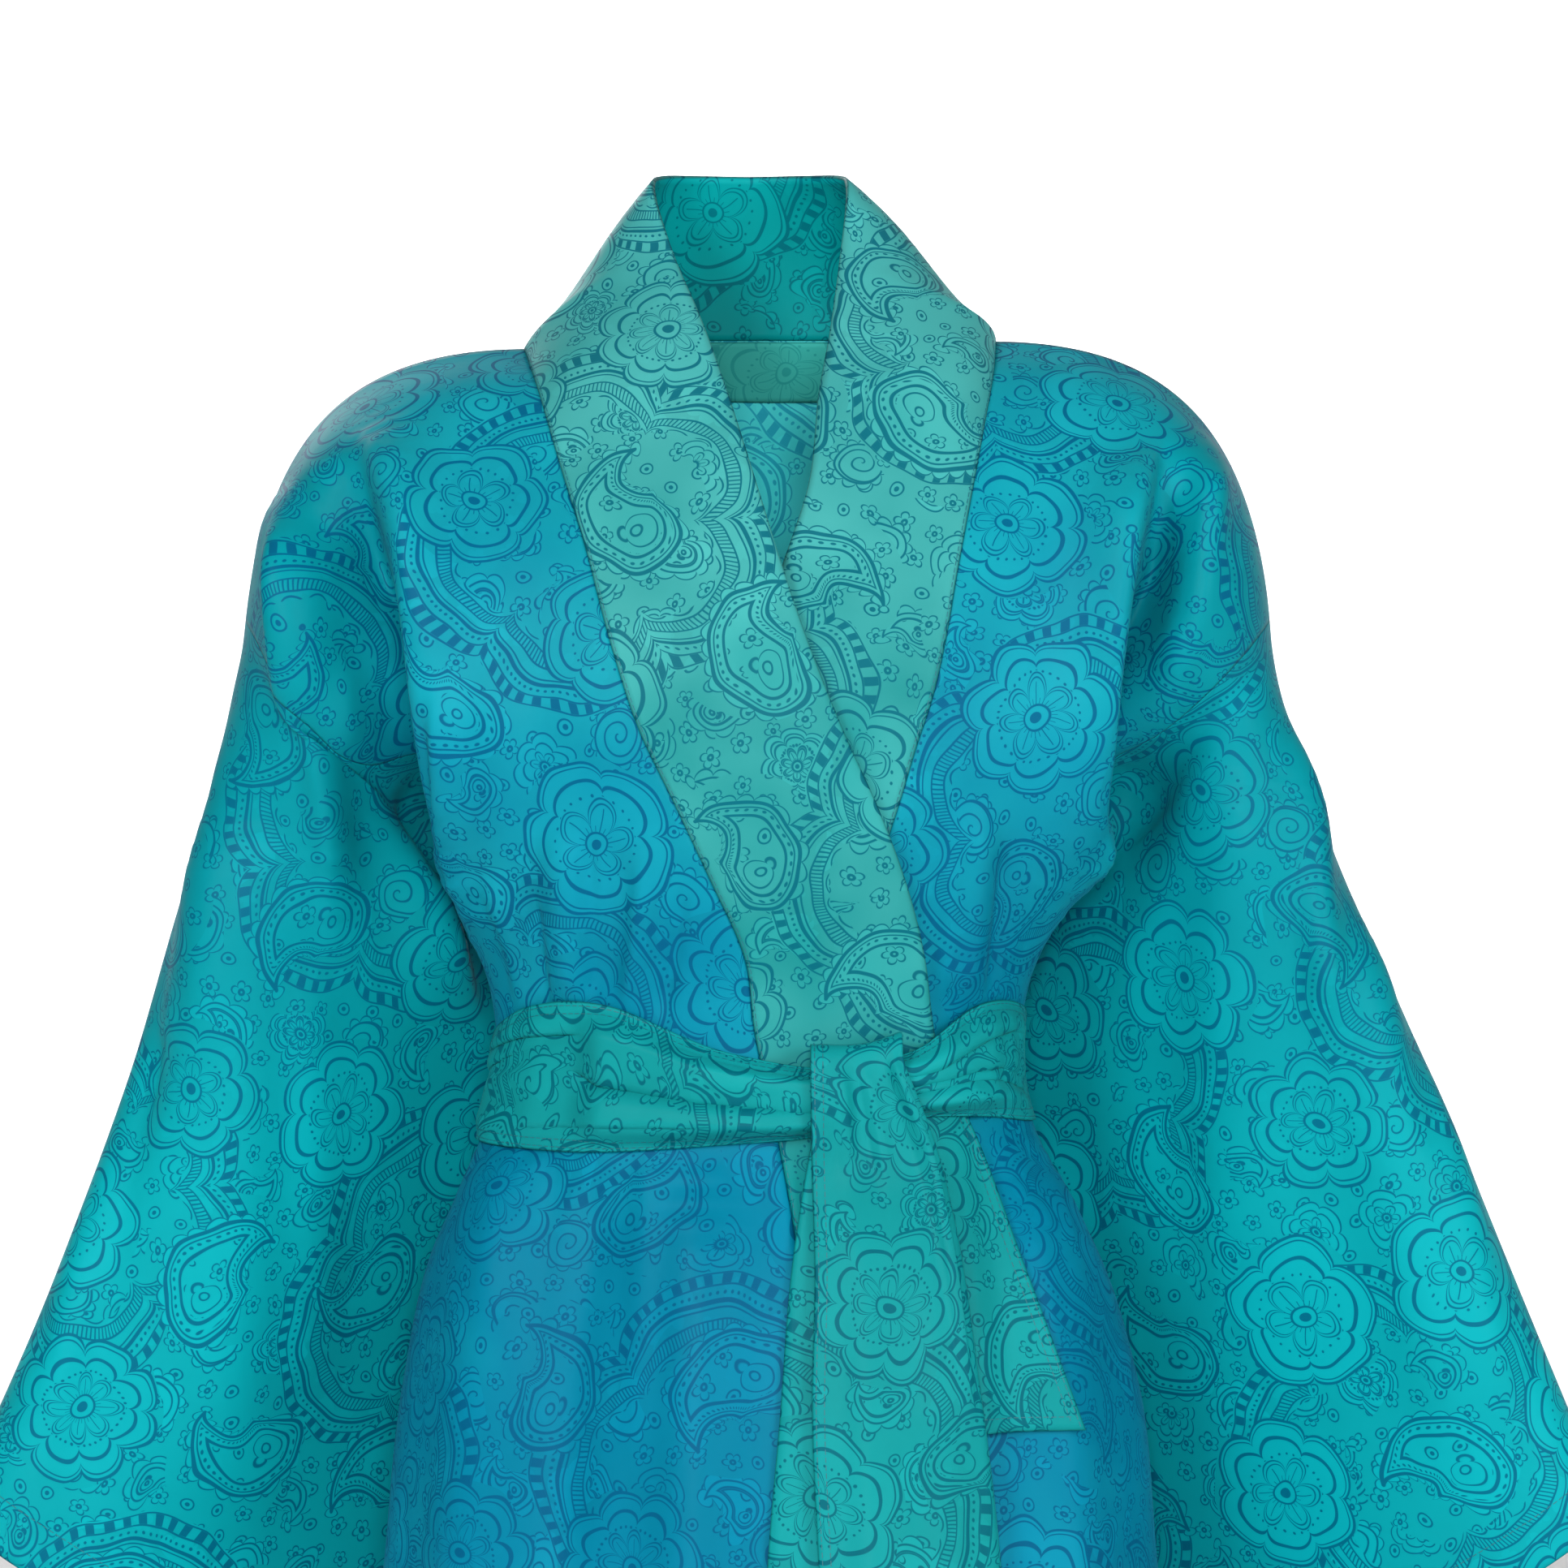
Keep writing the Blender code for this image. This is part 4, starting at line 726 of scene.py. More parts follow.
@dataclass(frozen=True)
class Yoke:
    """The curves across the chest and the shoulder blades, and how far their handles reach."""

    tuck: float = 0.03
    turn: float = 0.12
    roll: float = 0.30
    rise: float = 0.10
    arm_reach: tuple[float, float] = (0.36, 0.11)
    neck_reach: tuple[float, float] = (0.42, 0.05)
    lift_share: float = 0.5

    def handles(self, arm: Array, neck: Array, w: float) -> tuple[float, float]:
        """How far the handles of a row reach from the arm and from the neck side.

        Args:
            arm: The row's start at the armhole.
            neck: Its end at the neck side.
            w: The row's share of the way from the underarm to the shoulder.

        Returns:
            The reach of the handle at the arm and of that at the neck side.
        """
        span = np.linalg.norm(neck - arm)
        from_arm = span * (self.arm_reach[0] + self.arm_reach[1] * w)
        return from_arm, span * (self.neck_reach[0] + self.neck_reach[1] * w)

    def toward_neck(self, sleeve: Sleeve, turn: Array, forward: float, w: float) -> Array:
        """The direction in which a row leaves the armhole."""
        lift = soft_step(0, self.lift_share, w)
        return unit(sleeve.reach(turn) * lift + np.array([0.0, forward, 0.0]) * (1 - lift))


YOKE = Yoke()


@dataclass(frozen=True)
class Rounding:
    """How the bend at the underarm's height is rounded off, away from the sides and the band's seam."""

    rows: int = 15
    side: float = 0.16
    seam: float = 0.10

    def weights(self, shares: Array) -> Array:
        """How much each column is rounded, by its share of the way from the side to the seam."""
        return held_between(shares, self.side, self.seam)

    def smooth(self, net: Array, weights: Array) -> Array:
        """The net with the rows on both sides of the underarm's height on one smooth curve.

        Args:
            net: The net.
            weights: How much each column is rounded.

        Returns:
            The rounded net.
        """
        low, high = MESH.low_rows - self.rows, MESH.low_rows + self.rows
        t = np.linspace(0, 1, high - low + 1)[:, None, None]
        start = (net[low] - net[low - 2]) / 2 * (high - low)
        end = (net[high + 2] - net[high]) / 2 * (high - low)
        curve = cubic(net[low], net[high], start, end, t)
        share = weights[None, :, None]
        net = net.copy()
        net[low:high + 1] = net[low:high + 1] * (1 - share) + curve * share
        return net


ROUNDING = Rounding()


@dataclass(frozen=True)
class Front:
    """A front of the robe, from the side seam and armhole to the band."""

    sleeve: Sleeve
    seam: tuple[Edge, ...]
    layer: float

    def net(self) -> Array:
        """Rows from the hem to the shoulder seam, columns from the side to the band.

        Returns:
            The net.
        """
        edge = MESH.seam_rows(TORSO_FORM.curve(self.seam, self.layer))
        side = self.sleeve.side.value
        share = np.linspace(0, 1, MESH.side_columns + 1)
        start_angle = 0.0 if side > 0 else math.pi
        rows = []
        for z, end in zip(MESH.heights(), edge):
            stop_angle = TORSO_FORM.angle(end[0], z)
            points = TORSO_FORM.point(start_angle + (stop_angle - start_angle) * share, z)
            points[:, 1] += self.layer * TORSO_FORM.overlap(points[:, 0], z)
            points[-1] = end
            rows.append(points)
        for w, end in zip(MESH.yoke_share(), edge[MESH.low_rows + 1:]):
            turn = np.array(math.pi * w)
            start = self.sleeve.ring(0.0, turn)
            toward_neck = YOKE.toward_neck(self.sleeve, turn, -1.0, w)
            turned = YOKE.tuck + YOKE.turn * (1 - w) + YOKE.roll * w * (1 - w)
            toward_arm = unit([side, turned, YOKE.rise * w * (1 - w)])
            from_arm, from_neck = YOKE.handles(start, end, w)
            handles = start + toward_neck * from_arm, end + toward_arm * from_neck
            rows.append(bezier(start, *handles, end, share))
        return ROUNDING.smooth(np.array(rows), ROUNDING.weights(share))


OUTER_FRONT = Front(RIGHT_ARM, OUTER_SEAM, OUTER_LAYER)
INNER_FRONT = Front(LEFT_ARM, INNER_SEAM, INNER_LAYER)


@dataclass(frozen=True)
class Back:
    """The back of the robe, from side to side."""

    middle_stops: tuple[BackStop, ...] = (BackStop(0.55, 0.108, -0.100),)
    blade_stops: tuple[BackStop, ...] = (BackStop(0.60, 0.092, -0.088), BackStop(0.85, 0.052, -0.026))
    hollow: float = 0.024
    neck_bend: float = 2.5

    def neck_curve(self, side: Side) -> Array:
        """The seam from the middle of the back neck to a shoulder point, in even steps.

        Args:
            side: The shoulder's side.

        Returns:
            The points.
        """
        sign = 1 if side is Side.RIGHT else -1
        shoulder = (OUTER_SEAM if side is Side.RIGHT else INNER_SEAM)[0]
        points = np.array([(sign * e.x, e.y, e.z) for e in BACK_NECK_SEAM] + [astuple(shoulder)])
        return along(points, np.linspace(0, lengths_of(points)[-1], MESH.neck_columns + 1))

    def line(self, low: Array, stops: Sequence[BackStop], high: Array, w: float) -> Array:
        """A point of a line up the back, which starts and ends at points and has stops between.

        Args:
            low: The line's start.
            stops: Its stops.
            high: Its end.
            w: The share of the way at which it is read.

        Returns:
            The point.
        """
        shares = [0, *(stop.share for stop in stops), 1]
        points = [low, *((0, stop.y, stop.z) for stop in stops), high]
        return hermite(shares, np.array(points, float), np.array(w))

    def half_row(self, w: float, sleeve: Sleeve, neck: Array) -> Array:
        """One row of half the back, from its middle to the armhole.

        Args:
            w: The row's share of the way from the underarm to the shoulder.
            sleeve: The sleeve.
            neck: The seam at the neck, from its middle.

        Returns:
            The row's points.
        """
        side = sleeve.side.value
        part = MESH.neck_columns / (MESH.neck_columns + MESH.side_columns)
        middle_low = TORSO_FORM.point(1.5 * math.pi, UNDERARM_Z)
        corner_low = TORSO_FORM.point((1.5 + 0.5 * side * part) * math.pi, UNDERARM_Z)
        middle = middle_low + (neck[0] - middle_low) * w
        middle[1] = self.line(middle_low, self.middle_stops, neck[0], w)[1]
        corner = self.line(corner_low, self.blade_stops, neck[-1], w)
        corner[0] = corner_low[0] + (neck[-1][0] - corner_low[0]) * w
        t = np.linspace(0, 1, MESH.neck_columns + 1)
        flat = middle + (corner - middle) * t[:, None]
        flat[:, 1] += self.hollow * t * (1 - t) * (1 - w)
        curved = neck + (middle - neck[0]) * (1 - t[:, None]) + (corner - neck[-1]) * t[:, None]
        bend = w**self.neck_bend
        turn = np.array(2 * math.pi - math.pi * w)
        start = sleeve.ring(0.0, turn)
        toward_neck = YOKE.toward_neck(sleeve, turn, 1.0, w)
        toward_arm = unit([side, YOKE.tuck - YOKE.turn * (1 - w), YOKE.rise * w * (1 - w)])
        from_arm, from_neck = YOKE.handles(start, corner, w)
        share = np.linspace(0, 1, MESH.side_columns + 1)[1:]
        handles = corner + toward_arm * from_neck, start + toward_neck * from_arm
        outer = bezier(corner, *handles, start, share)
        return np.concatenate([flat * (1 - bend) + curved * bend, outer])

    def net(self) -> Array:
        """Rows from the hem to the shoulders, columns from the wearer's right side to the left.

        Returns:
            The net.
        """
        half = MESH.neck_columns + MESH.side_columns
        around = np.linspace(math.pi, 2 * math.pi, 2 * half + 1)
        rows = [TORSO_FORM.point(around, z) for z in MESH.heights()]
        for w in MESH.yoke_share():
            right = self.half_row(w, RIGHT_ARM, self.neck_curve(Side.RIGHT))
            left = self.half_row(w, LEFT_ARM, self.neck_curve(Side.LEFT))
            rows.append(np.concatenate([right[::-1], left[1:]]))
        from_side = 1 - np.abs(np.linspace(-1, 1, 2 * half + 1))
        return ROUNDING.smooth(np.array(rows), soft_step(0, ROUNDING.side, from_side))


BACK = Back()


@dataclass(frozen=True)
class Band:
    """The band round the neck, from the outer front's hem to the inner front's hem."""

    low_crown: float = 0.004
    neck_crowns: tuple[float, float] = (0.012, 0.020)
    crown_centre: tuple[float, float, float] = (0.0, 0.03, 0.0)
    lapel_low: tuple[float, float] = (-0.10, -0.14)
    neck_side: float = 0.08
    passes: int = 180

    def half(self, front: Front, edge: tuple[Edge, ...]) -> Array:
        """Half the band, from the hem to the middle of the back neck.

        Args:
            front: The front that it is sewn to.
            edge: The table of its free edge.

        Returns:
            The half's net, from its seam to its free edge.
        """
        side = front.sleeve.side
        right = side is Side.RIGHT
        sign = 1 if right else -1
        sewn = MESH.seam_rows(TORSO_FORM.curve(front.seam, front.layer))
        sewn = np.concatenate([sewn, BACK.neck_curve(side)[::-1][1:]])
        middle = BACK_NECK_EDGE[0].x
        behind = np.array([(middle + sign * (e.x - middle), e.y, e.z) for e in BACK_NECK_EDGE])
        free = np.concatenate([behind, TORSO_FORM.curve(edge, front.layer)])
        fine = np.linspace(0, lengths_of(free)[-1], CURVE_SAMPLES)
        curve = along(free, fine)
        nearest = np.array([fine[np.argmin(np.linalg.norm(curve - p, axis=1))] for p in sewn])
        nearest[0], nearest[-1] = fine[-1], 0
        nearest = np.minimum.accumulate(nearest)
        for _ in range(self.passes):
            nearest[1:-1] = (nearest[:-2] + 2 * nearest[1:-1] + nearest[2:]) / 4
        t = np.linspace(0, 1, MESH.band_columns + 1)[None, :, None]
        net = sewn[:, None] * (1 - t) + along(free, nearest)[:, None] * t
        outward = (net - np.array(self.crown_centre)) * np.array([1.0, 1.0, 0.0])
        roll = soft_step(self.lapel_low[0], 0, sewn[:, 2]) * soft_step(0, self.neck_side, np.abs(sewn[:, 0]))
        high = self.neck_crowns[0 if right else 1]
        crown = self.low_crown + (high - self.low_crown) * roll[:, None, None]
        net = net + unit(outward) * 4 * t * (1 - t) * crown
        on_body = TORSO_FORM.front_y(net[..., 0], net[..., 2])
        on_body += front.layer * TORSO_FORM.overlap(net[..., 0], net[..., 2])
        low = soft_step(*self.lapel_low, net[..., 2])
        net[..., 1] = net[..., 1] * (1 - low) + on_body * low
        net[:, 0] = sewn
        return net

    def net(self) -> Array:
        """Rows along the whole band, columns from its seam to its free edge."""
        outer, inner = self.half(OUTER_FRONT, OUTER_EDGE), self.half(INNER_FRONT, INNER_EDGE)
        return np.concatenate([outer, inner[::-1][1:]])


FOLD_SAMPLES = 25
FOLD_REACH = 3
FOLD_FADE = 0.25
UNDERARM_FADE = 0.28
SHOULDER_FADE = 0.12
SIDE_FADE = 0.15


def fold_heights(points: Array, folds: Sequence[Fold]) -> Array:
    """How far folds lift each point, as seen square from the front or back.

    Args:
        points: A net of points.
        folds: The folds' crests, fades and heights.

    Returns:
        The lift along the surface's normal for each point.
    """
    lifted = np.zeros(points.shape[:-1])
    place = points[..., [0, 2]]
    t = np.linspace(0, 1, FOLD_SAMPLES)
    share = t[:, None]
    for fold in folds:
        start, middle, end = np.array(astuple(fold)[:6]).reshape(3, 2)
        bend = 2 * middle - (start + end) / 2
        curve = start * (1 - share) ** 2 + 2 * bend * share * (1 - share) + end * share**2
        reach = FOLD_REACH * max(fold.left, fold.right)
        near = np.all((place > curve.min(0) - reach) & (place < curve.max(0) + reach), axis=-1)
        if not near.any():
            continue
        offsets = place[near][:, None, :] - curve
        nearest = np.argmin((offsets**2).sum(-1), axis=-1)
        offset = np.take_along_axis(offsets, nearest[:, None, None], axis=-2)[:, 0, :]
        tangent = unit(np.gradient(curve, axis=0))[nearest]
        along_crest = (offset * tangent).sum(-1)
        t_here = np.clip(t[nearest] + along_crest / lengths_of(curve)[-1], 0, 1)
        across = offset[:, 0] * -tangent[:, 1] + offset[:, 1] * tangent[:, 0]
        beyond = np.where((t_here <= 0) | (t_here >= 1), along_crest, 0)
        width = np.where(across < 0, fold.left, fold.right)
        fade = held_between(t_here, FOLD_FADE, FOLD_FADE)
        lifted[near] += fold.height * fade * np.exp(-(across**2 + beyond**2) / width**2)
    return lifted


def net_directions(net: Array) -> Array:
    """At each point of a net, the direction midway between its steps from the last column and to the next."""
    steps = unit(np.diff(net, axis=1))
    return np.concatenate([steps[:, :1] * 2, steps[:, :-1] + steps[:, 1:], steps[:, -1:] * 2], 1)


def normals_of(net: Array, outward: int) -> Array:
    """The unit normal at each point of a net, pointing out of the robe."""
    down = net_directions(net.swapaxes(0, 1)).swapaxes(0, 1)
    return unit(np.cross(down, net_directions(net))) * outward


MAP_STEP = 4
SAME_POINT = 1e-6


def mesh_of(name: str, shape: bmesh.types.BMesh) -> bpy.types.Mesh:
    """Puts a finished shape into a new mesh.

    Args:
        name: The mesh's name.
        shape: The shape, which is freed.

    Returns:
        The new mesh.
    """
    mesh = bpy.data.meshes.new(name)
    shape.to_mesh(mesh)
    shape.free()
    return mesh


def linked(name: str, data: bpy.types.ID) -> bpy.types.Object:
    """Puts data into the scene as a new object.

    Args:
        name: The object's name.
        data: Its mesh, light or camera.

    Returns:
        The new object.
    """
    thing = bpy.data.objects.new(name, data)
    bpy.context.collection.objects.link(thing)
    return thing


def grid_mesh(name: str, net: Array) -> tuple[bpy.types.Mesh, Array]:
    """Makes a mesh of quads through a net's points.

    Args:
        name: The mesh's name.
        net: The points, rows by columns.

    Returns:
        The new mesh, and the number of the point at each corner of its faces.
    """
    rows, columns = net.shape[:2]
    shape = bmesh.new()
    bmesh.ops.create_grid(shape, x_segments=columns - 1, y_segments=rows - 1, size=1)
    mesh = mesh_of(name, shape)
    mesh.vertices.foreach_set("co", net.reshape(-1))
    corner = np.empty(len(mesh.loops), int)
    mesh.loops.foreach_get("vertex_index", corner)
    return mesh, corner


class Border(Enum):
    """A border of a net: whether it is a column, and whether it is the last."""

    FIRST_ROW = (False, False)
    LAST_ROW = (False, True)
    FIRST_COLUMN = (True, False)
    LAST_COLUMN = (True, True)

    @property
    def across(self) -> bool:
        """Whether the border is a column."""
        return self.value[0]

    @property
    def last(self) -> bool:
        """Whether it is the last."""
        return self.value[1]


@dataclass(frozen=True)
class Cut:
    """The flat size of a piece of cloth."""

    width: float
    length: float
    area: float


class Cloth:
    """A net of points that becomes one piece of cloth."""

    def __init__(self, name: str, net: Array, outward: int, thickness: float = 0.0010, up: int = 1) -> None:
        """Takes the net.

        Args:
            name: The piece's name.
            net: Its points, rows by columns, in the middle of the cloth.
            outward: 1 or -1, so that the normals point out of the robe.
            thickness: How thick the cloth is.
            up: 1 where the rows run up the cloth's pattern, and -1 where they run down it.
        """
        self.name = name
        self.net = net
        self.outward = outward
        self.thickness = thickness
        self.up = up
        self.closed = bool(np.allclose(net[:, 0], net[:, -1]))
        self.measure()

    def measure(self) -> None:
        """Works out the normals again."""
        self.normals = normals_of(self.net, self.outward)
        if self.closed:
            self.normals[:, 0] = self.normals[:, -1] = unit(self.normals[:, 0] + self.normals[:, -1])

    def lift(self, heights: Array) -> None:
        """Moves the points along their normals."""
        self.net = self.net + self.normals * heights[..., None]
        self.measure()

    def border(self) -> Array:
        """A mask of the points on the cloth's edges.

        Returns:
            The mask.
        """
        mask = np.zeros(self.net.shape[:2], bool)
        mask[0] = mask[-1] = True
        if not self.closed:
            mask[:, 0] = mask[:, -1] = True
        return mask

    def panel_map(self) -> Array:
        """Lays a shaped panel out flat, in metres, with its pattern's up along v.

        Returns:
            The flat place of each point.
        """
        coarse = self.net[::MAP_STEP, ::MAP_STEP]
        span = unwrapped(coarse)
        across = np.diff(span, axis=1)[:-1]
        upward = np.diff(span, axis=0)[:, :-1]
        turned = (across[..., 0] * upward[..., 1] - across[..., 1] * upward[..., 0]).sum()
        flip = np.array([-1.0 if turned * self.outward > 0 else 1.0, 1.0])
        way = (upward * flip).sum((0, 1)) * self.up
        angle = math.atan2(way[0], way[1])
        turn = np.array([[math.cos(angle), math.sin(angle)], [-math.sin(angle), math.cos(angle)]])
        span = (span * flip) @ turn * math.sqrt(area_of(coarse) / abs(turned))
        return refine(span - span.mean((0, 1)), MAP_STEP)

    def strip_map(self) -> Array:
        """Lays a straight strip out flat, in metres: its rows along v, or down it, and its columns across.

        Returns:
            The flat place of each point.
        """
        rises = np.linalg.norm(np.diff(self.net, axis=0), axis=-1).mean(1)
        v = np.concatenate([[0], np.cumsum(rises)]) * self.up
        widths = np.linalg.norm(np.diff(self.net, axis=1), axis=-1)
        u = np.concatenate([np.zeros((len(widths), 1)), np.cumsum(widths, axis=1)], 1)
        u = (u - u[:, -1:] / 2) * -self.outward * self.up
        return np.stack(np.broadcast_arrays(u, (v - v.mean())[:, None]), -1)

    def edge_distances(self) -> Array:
        """How far each point is from the cloth's nearest edge or seam, along the cloth.

        Returns:
            The distances.
        """
        away = np.full(self.net.shape[:2], np.inf)
        for axis in (0, 1):
            steps = np.linalg.norm(np.diff(self.net, axis=axis), axis=-1)
            start = np.zeros_like(steps.take([0], axis))
            near = np.concatenate([start, np.cumsum(steps, axis)], axis)
            away = np.minimum(away, np.minimum(near, near.take([-1], axis) - near))
        return away

    def inset(self, border: Border, distance: float) -> tuple[Array, Array]:
        """A line on the cloth's outer side, parallel to one of its borders.

        Args:
            border: The border.
            distance: How far the line is from it.

        Returns:
            The line's points and their normals.
        """
        net, normals = (a.swapaxes(0, 1) if border.across else a for a in (self.net, self.normals))
        if border.last:
            net, normals = net[::-1], normals[::-1]
        points, out = [], []
        for column in range(net.shape[1]):
            lengths = lengths_of(net[:, column])
            points.append(straight_along(lengths, net[:, column], distance))
            out.append(straight_along(lengths, normals[:, column], distance))
        out = unit(np.array(out))
        return np.array(points) + out * self.thickness / 2, out

    def cut(self) -> Cut:
        """The flat size of the cloth."""
        width, length = np.ptp(self.map.reshape(-1, 2), axis=0)
        return Cut(float(width), float(length), float(min(area_of(self.net), width * length)))

    def build(self, materials: Sequence[bpy.types.Material], offset: tuple[float, float]) -> bpy.types.Object:
        """Makes the piece's mesh and its object.

        Args:
            materials: The outer side's material and, where it differs, the inner side's.
            offset: Where the piece was cut from the print, in metres.

        Returns:
            The new object.
        """
        mesh, corner = grid_mesh(self.name, self.net)
        layer = mesh.uv_layers.new(name="cloth")
        layer.data.foreach_set("uv", (self.map.reshape(-1, 2)[corner] + np.array(offset)).reshape(-1))
        edge = mesh.attributes.new("edge", "FLOAT", "POINT")
        edge.data.foreach_set("value", self.edge_distances().reshape(-1))
        mesh.update()
        facing = np.array([face.normal for face in mesh.polygons[: self.net.shape[1] - 1]])
        if (facing * self.normals[0, :-1]).sum() < 0:
            mesh.flip_normals()
        if self.closed:
            shape = bmesh.new()
            shape.from_mesh(mesh)
            bmesh.ops.remove_doubles(shape, verts=shape.verts, dist=SAME_POINT)
            shape.to_mesh(mesh)
            shape.free()
        mesh.shade_smooth()
        for material in materials:
            mesh.materials.append(material)
        thing = linked(self.name, mesh)
        wall = thing.modifiers.new("thickness", "SOLIDIFY")
        wall.thickness = self.thickness
        wall.offset = 0
        wall.use_even_offset = False
        wall.material_offset = len(materials) - 1
        return thing


def area_of(net: Array) -> float:
    """The area of a net's surface.

    Args:
        net: The net.

    Returns:
        The area in square metres.
    """
    one = net[1:, 1:] - net[:-1, :-1]
    other = net[1:, :-1] - net[:-1, 1:]
    return float(np.linalg.norm(np.cross(one, other), axis=-1).sum() / 2)


def unwrapped(net: Array) -> Array:
    """The flat places that unwrapping gives a net's points.

    Args:
        net: The net.

    Returns:
        A flat place for each point.
    """
    mesh, corner = grid_mesh("flat", net)
    mesh.uv_layers.new(name="flat")
    thing = linked("flat", mesh)
    bpy.ops.object.select_all(action="DESELECT")
    bpy.context.view_layer.objects.active = thing
    thing.select_set(True)
    bpy.ops.object.mode_set(mode="EDIT")
    bpy.ops.mesh.select_all(action="SELECT")
    bpy.ops.uv.unwrap(method="MINIMUM_STRETCH", margin=0)
    bpy.ops.object.mode_set(mode="OBJECT")
    places = np.empty(2 * len(mesh.loops))
    mesh.uv_layers[0].data.foreach_get("uv", places)
    flat = np.zeros((net.shape[0] * net.shape[1], 2))
    flat[corner] = places.reshape(-1, 2)
    bpy.data.objects.remove(thing, do_unlink=True)
    bpy.data.meshes.remove(mesh)
    return flat.reshape(*net.shape[:2], 2)


def share_normals(pieces: Sequence[Cloth]) -> None:
    """Gives pieces that meet at a seam one normal at each of its points.

    Args:
        pieces: The pieces.
    """
    meetings: dict[tuple, list] = {}
    for piece in pieces:
        for r, c in np.argwhere(piece.border()):
            key = tuple(np.round(piece.net[r, c], 5))
            meetings.setdefault(key, []).append((piece, r, c))
    for meeting in meetings.values():
        normal = unit(sum(piece.normals[r, c] for piece, r, c in meeting))
        for piece, r, c in meeting:
            piece.normals[r, c] = normal


def seam_fade(w: Array) -> Array:
    """Folds fade out at the shoulder seam and at the underarm."""
    return held_between(w, UNDERARM_FADE, SHOULDER_FADE)


def half_body_weight(shares: Array) -> Array:
    """How much of its folds each point of half the body takes. shares run from the side seam, 0, inwards.

    Args:
        shares: Where the columns lie, 0 at the side seam and 1 inwards.

    Returns:
        The weights.
    """
    w = np.concatenate([np.zeros(MESH.low_rows + 1), MESH.yoke_share()])
    near_side = (1 - soft_step(0, SIDE_FADE, shares))[None, :] * (1 - soft_step(0, UNDERARM_FADE, w))[:, None]
    return soft_step(0, SHOULDER_FADE, 1 - w)[:, None] * (1 - near_side)


def surface_of(pieces: Sequence[Cloth]) -> BVHTree:
    """A search tree over the outer sides of some pieces.

    Args:
        pieces: The pieces.

    Returns:
        The tree.
    """
    corners, faces, start = [], [], 0
    for piece in pieces:
        rows, columns = piece.net.shape[:2]
        outer = (piece.net + piece.normals * piece.thickness / 2).reshape(-1, 3)
        first = (np.arange(rows - 1)[:, None] * columns + np.arange(columns - 1)).reshape(-1) + start
        faces.append(np.stack([first, first + 1, first + columns + 1, first + columns], -1))
        corners.append(outer)
        start += len(outer)
    return BVHTree.FromPolygons(np.concatenate(corners).tolist(), np.concatenate(faces).tolist())


@dataclass(frozen=True)
class Laying:
    """How cloth is laid on what is under it."""

    steps: int = 2
    reach: float = 0.25
    passes: int = 14

    def lay(self, tree: BVHTree, net: Array, out: Array, clear: float, closed: bool) -> Array:
        """Moves a net along its outward directions until it clears what is under it, and bridges the hollows.

        Args:
            tree: What is under the cloth.
            net: The points to move.
            out: Their outward directions.
            clear: How far the points stay from what is under them.
            closed: Whether the first column follows the last.

        Returns:
            The moved net.
        """
        if closed:
            net = np.concatenate([net[:, -3:-1], net, net[:, 1:3]], 1)
            out = np.concatenate([out[:, -3:-1], out, out[:, 1:3]], 1)
        fine, fine_out = refine(net, self.steps), unit(refine(out, self.steps))
        need = np.full(fine.shape[:2], -self.reach)
        for place in np.ndindex(*need.shape):
            away = Vector(fine[place] + fine_out[place] * self.reach)
            hit = tree.ray_cast(away, Vector(-fine_out[place]), 2 * self.reach)
            if hit[0] is not None:
                need[place] = self.reach - hit[3] + clear
        rows, columns = net.shape[:2]
        coarse = np.empty((rows, columns))
        for r, c in np.ndindex(rows, columns):
            high, wide = self.steps * (r + 1) + 1, self.steps * (c + 1) + 1
            coarse[r, c] = need[max(0, self.steps * (r - 1)):high, max(0, self.steps * (c - 1)):wide].max()
        lift = coarse.copy()
        for _ in range(self.passes):
            padded = np.pad(lift, 1, mode="edge")
            smooth = (padded[:-2, 1:-1] + padded[2:, 1:-1] + padded[1:-1, :-2] + padded[1:-1, 2:]) / 4
            lift = np.maximum(coarse, smooth)
        net = net + out * lift[..., None]
        return net[:, 2:-2] if closed else net


LAYING = Laying()


def forward(net: Array) -> Array:
    """The direction to the front, for each point of a net."""
    return np.broadcast_to(np.array([0.0, -1.0, 0.0]), net.shape)


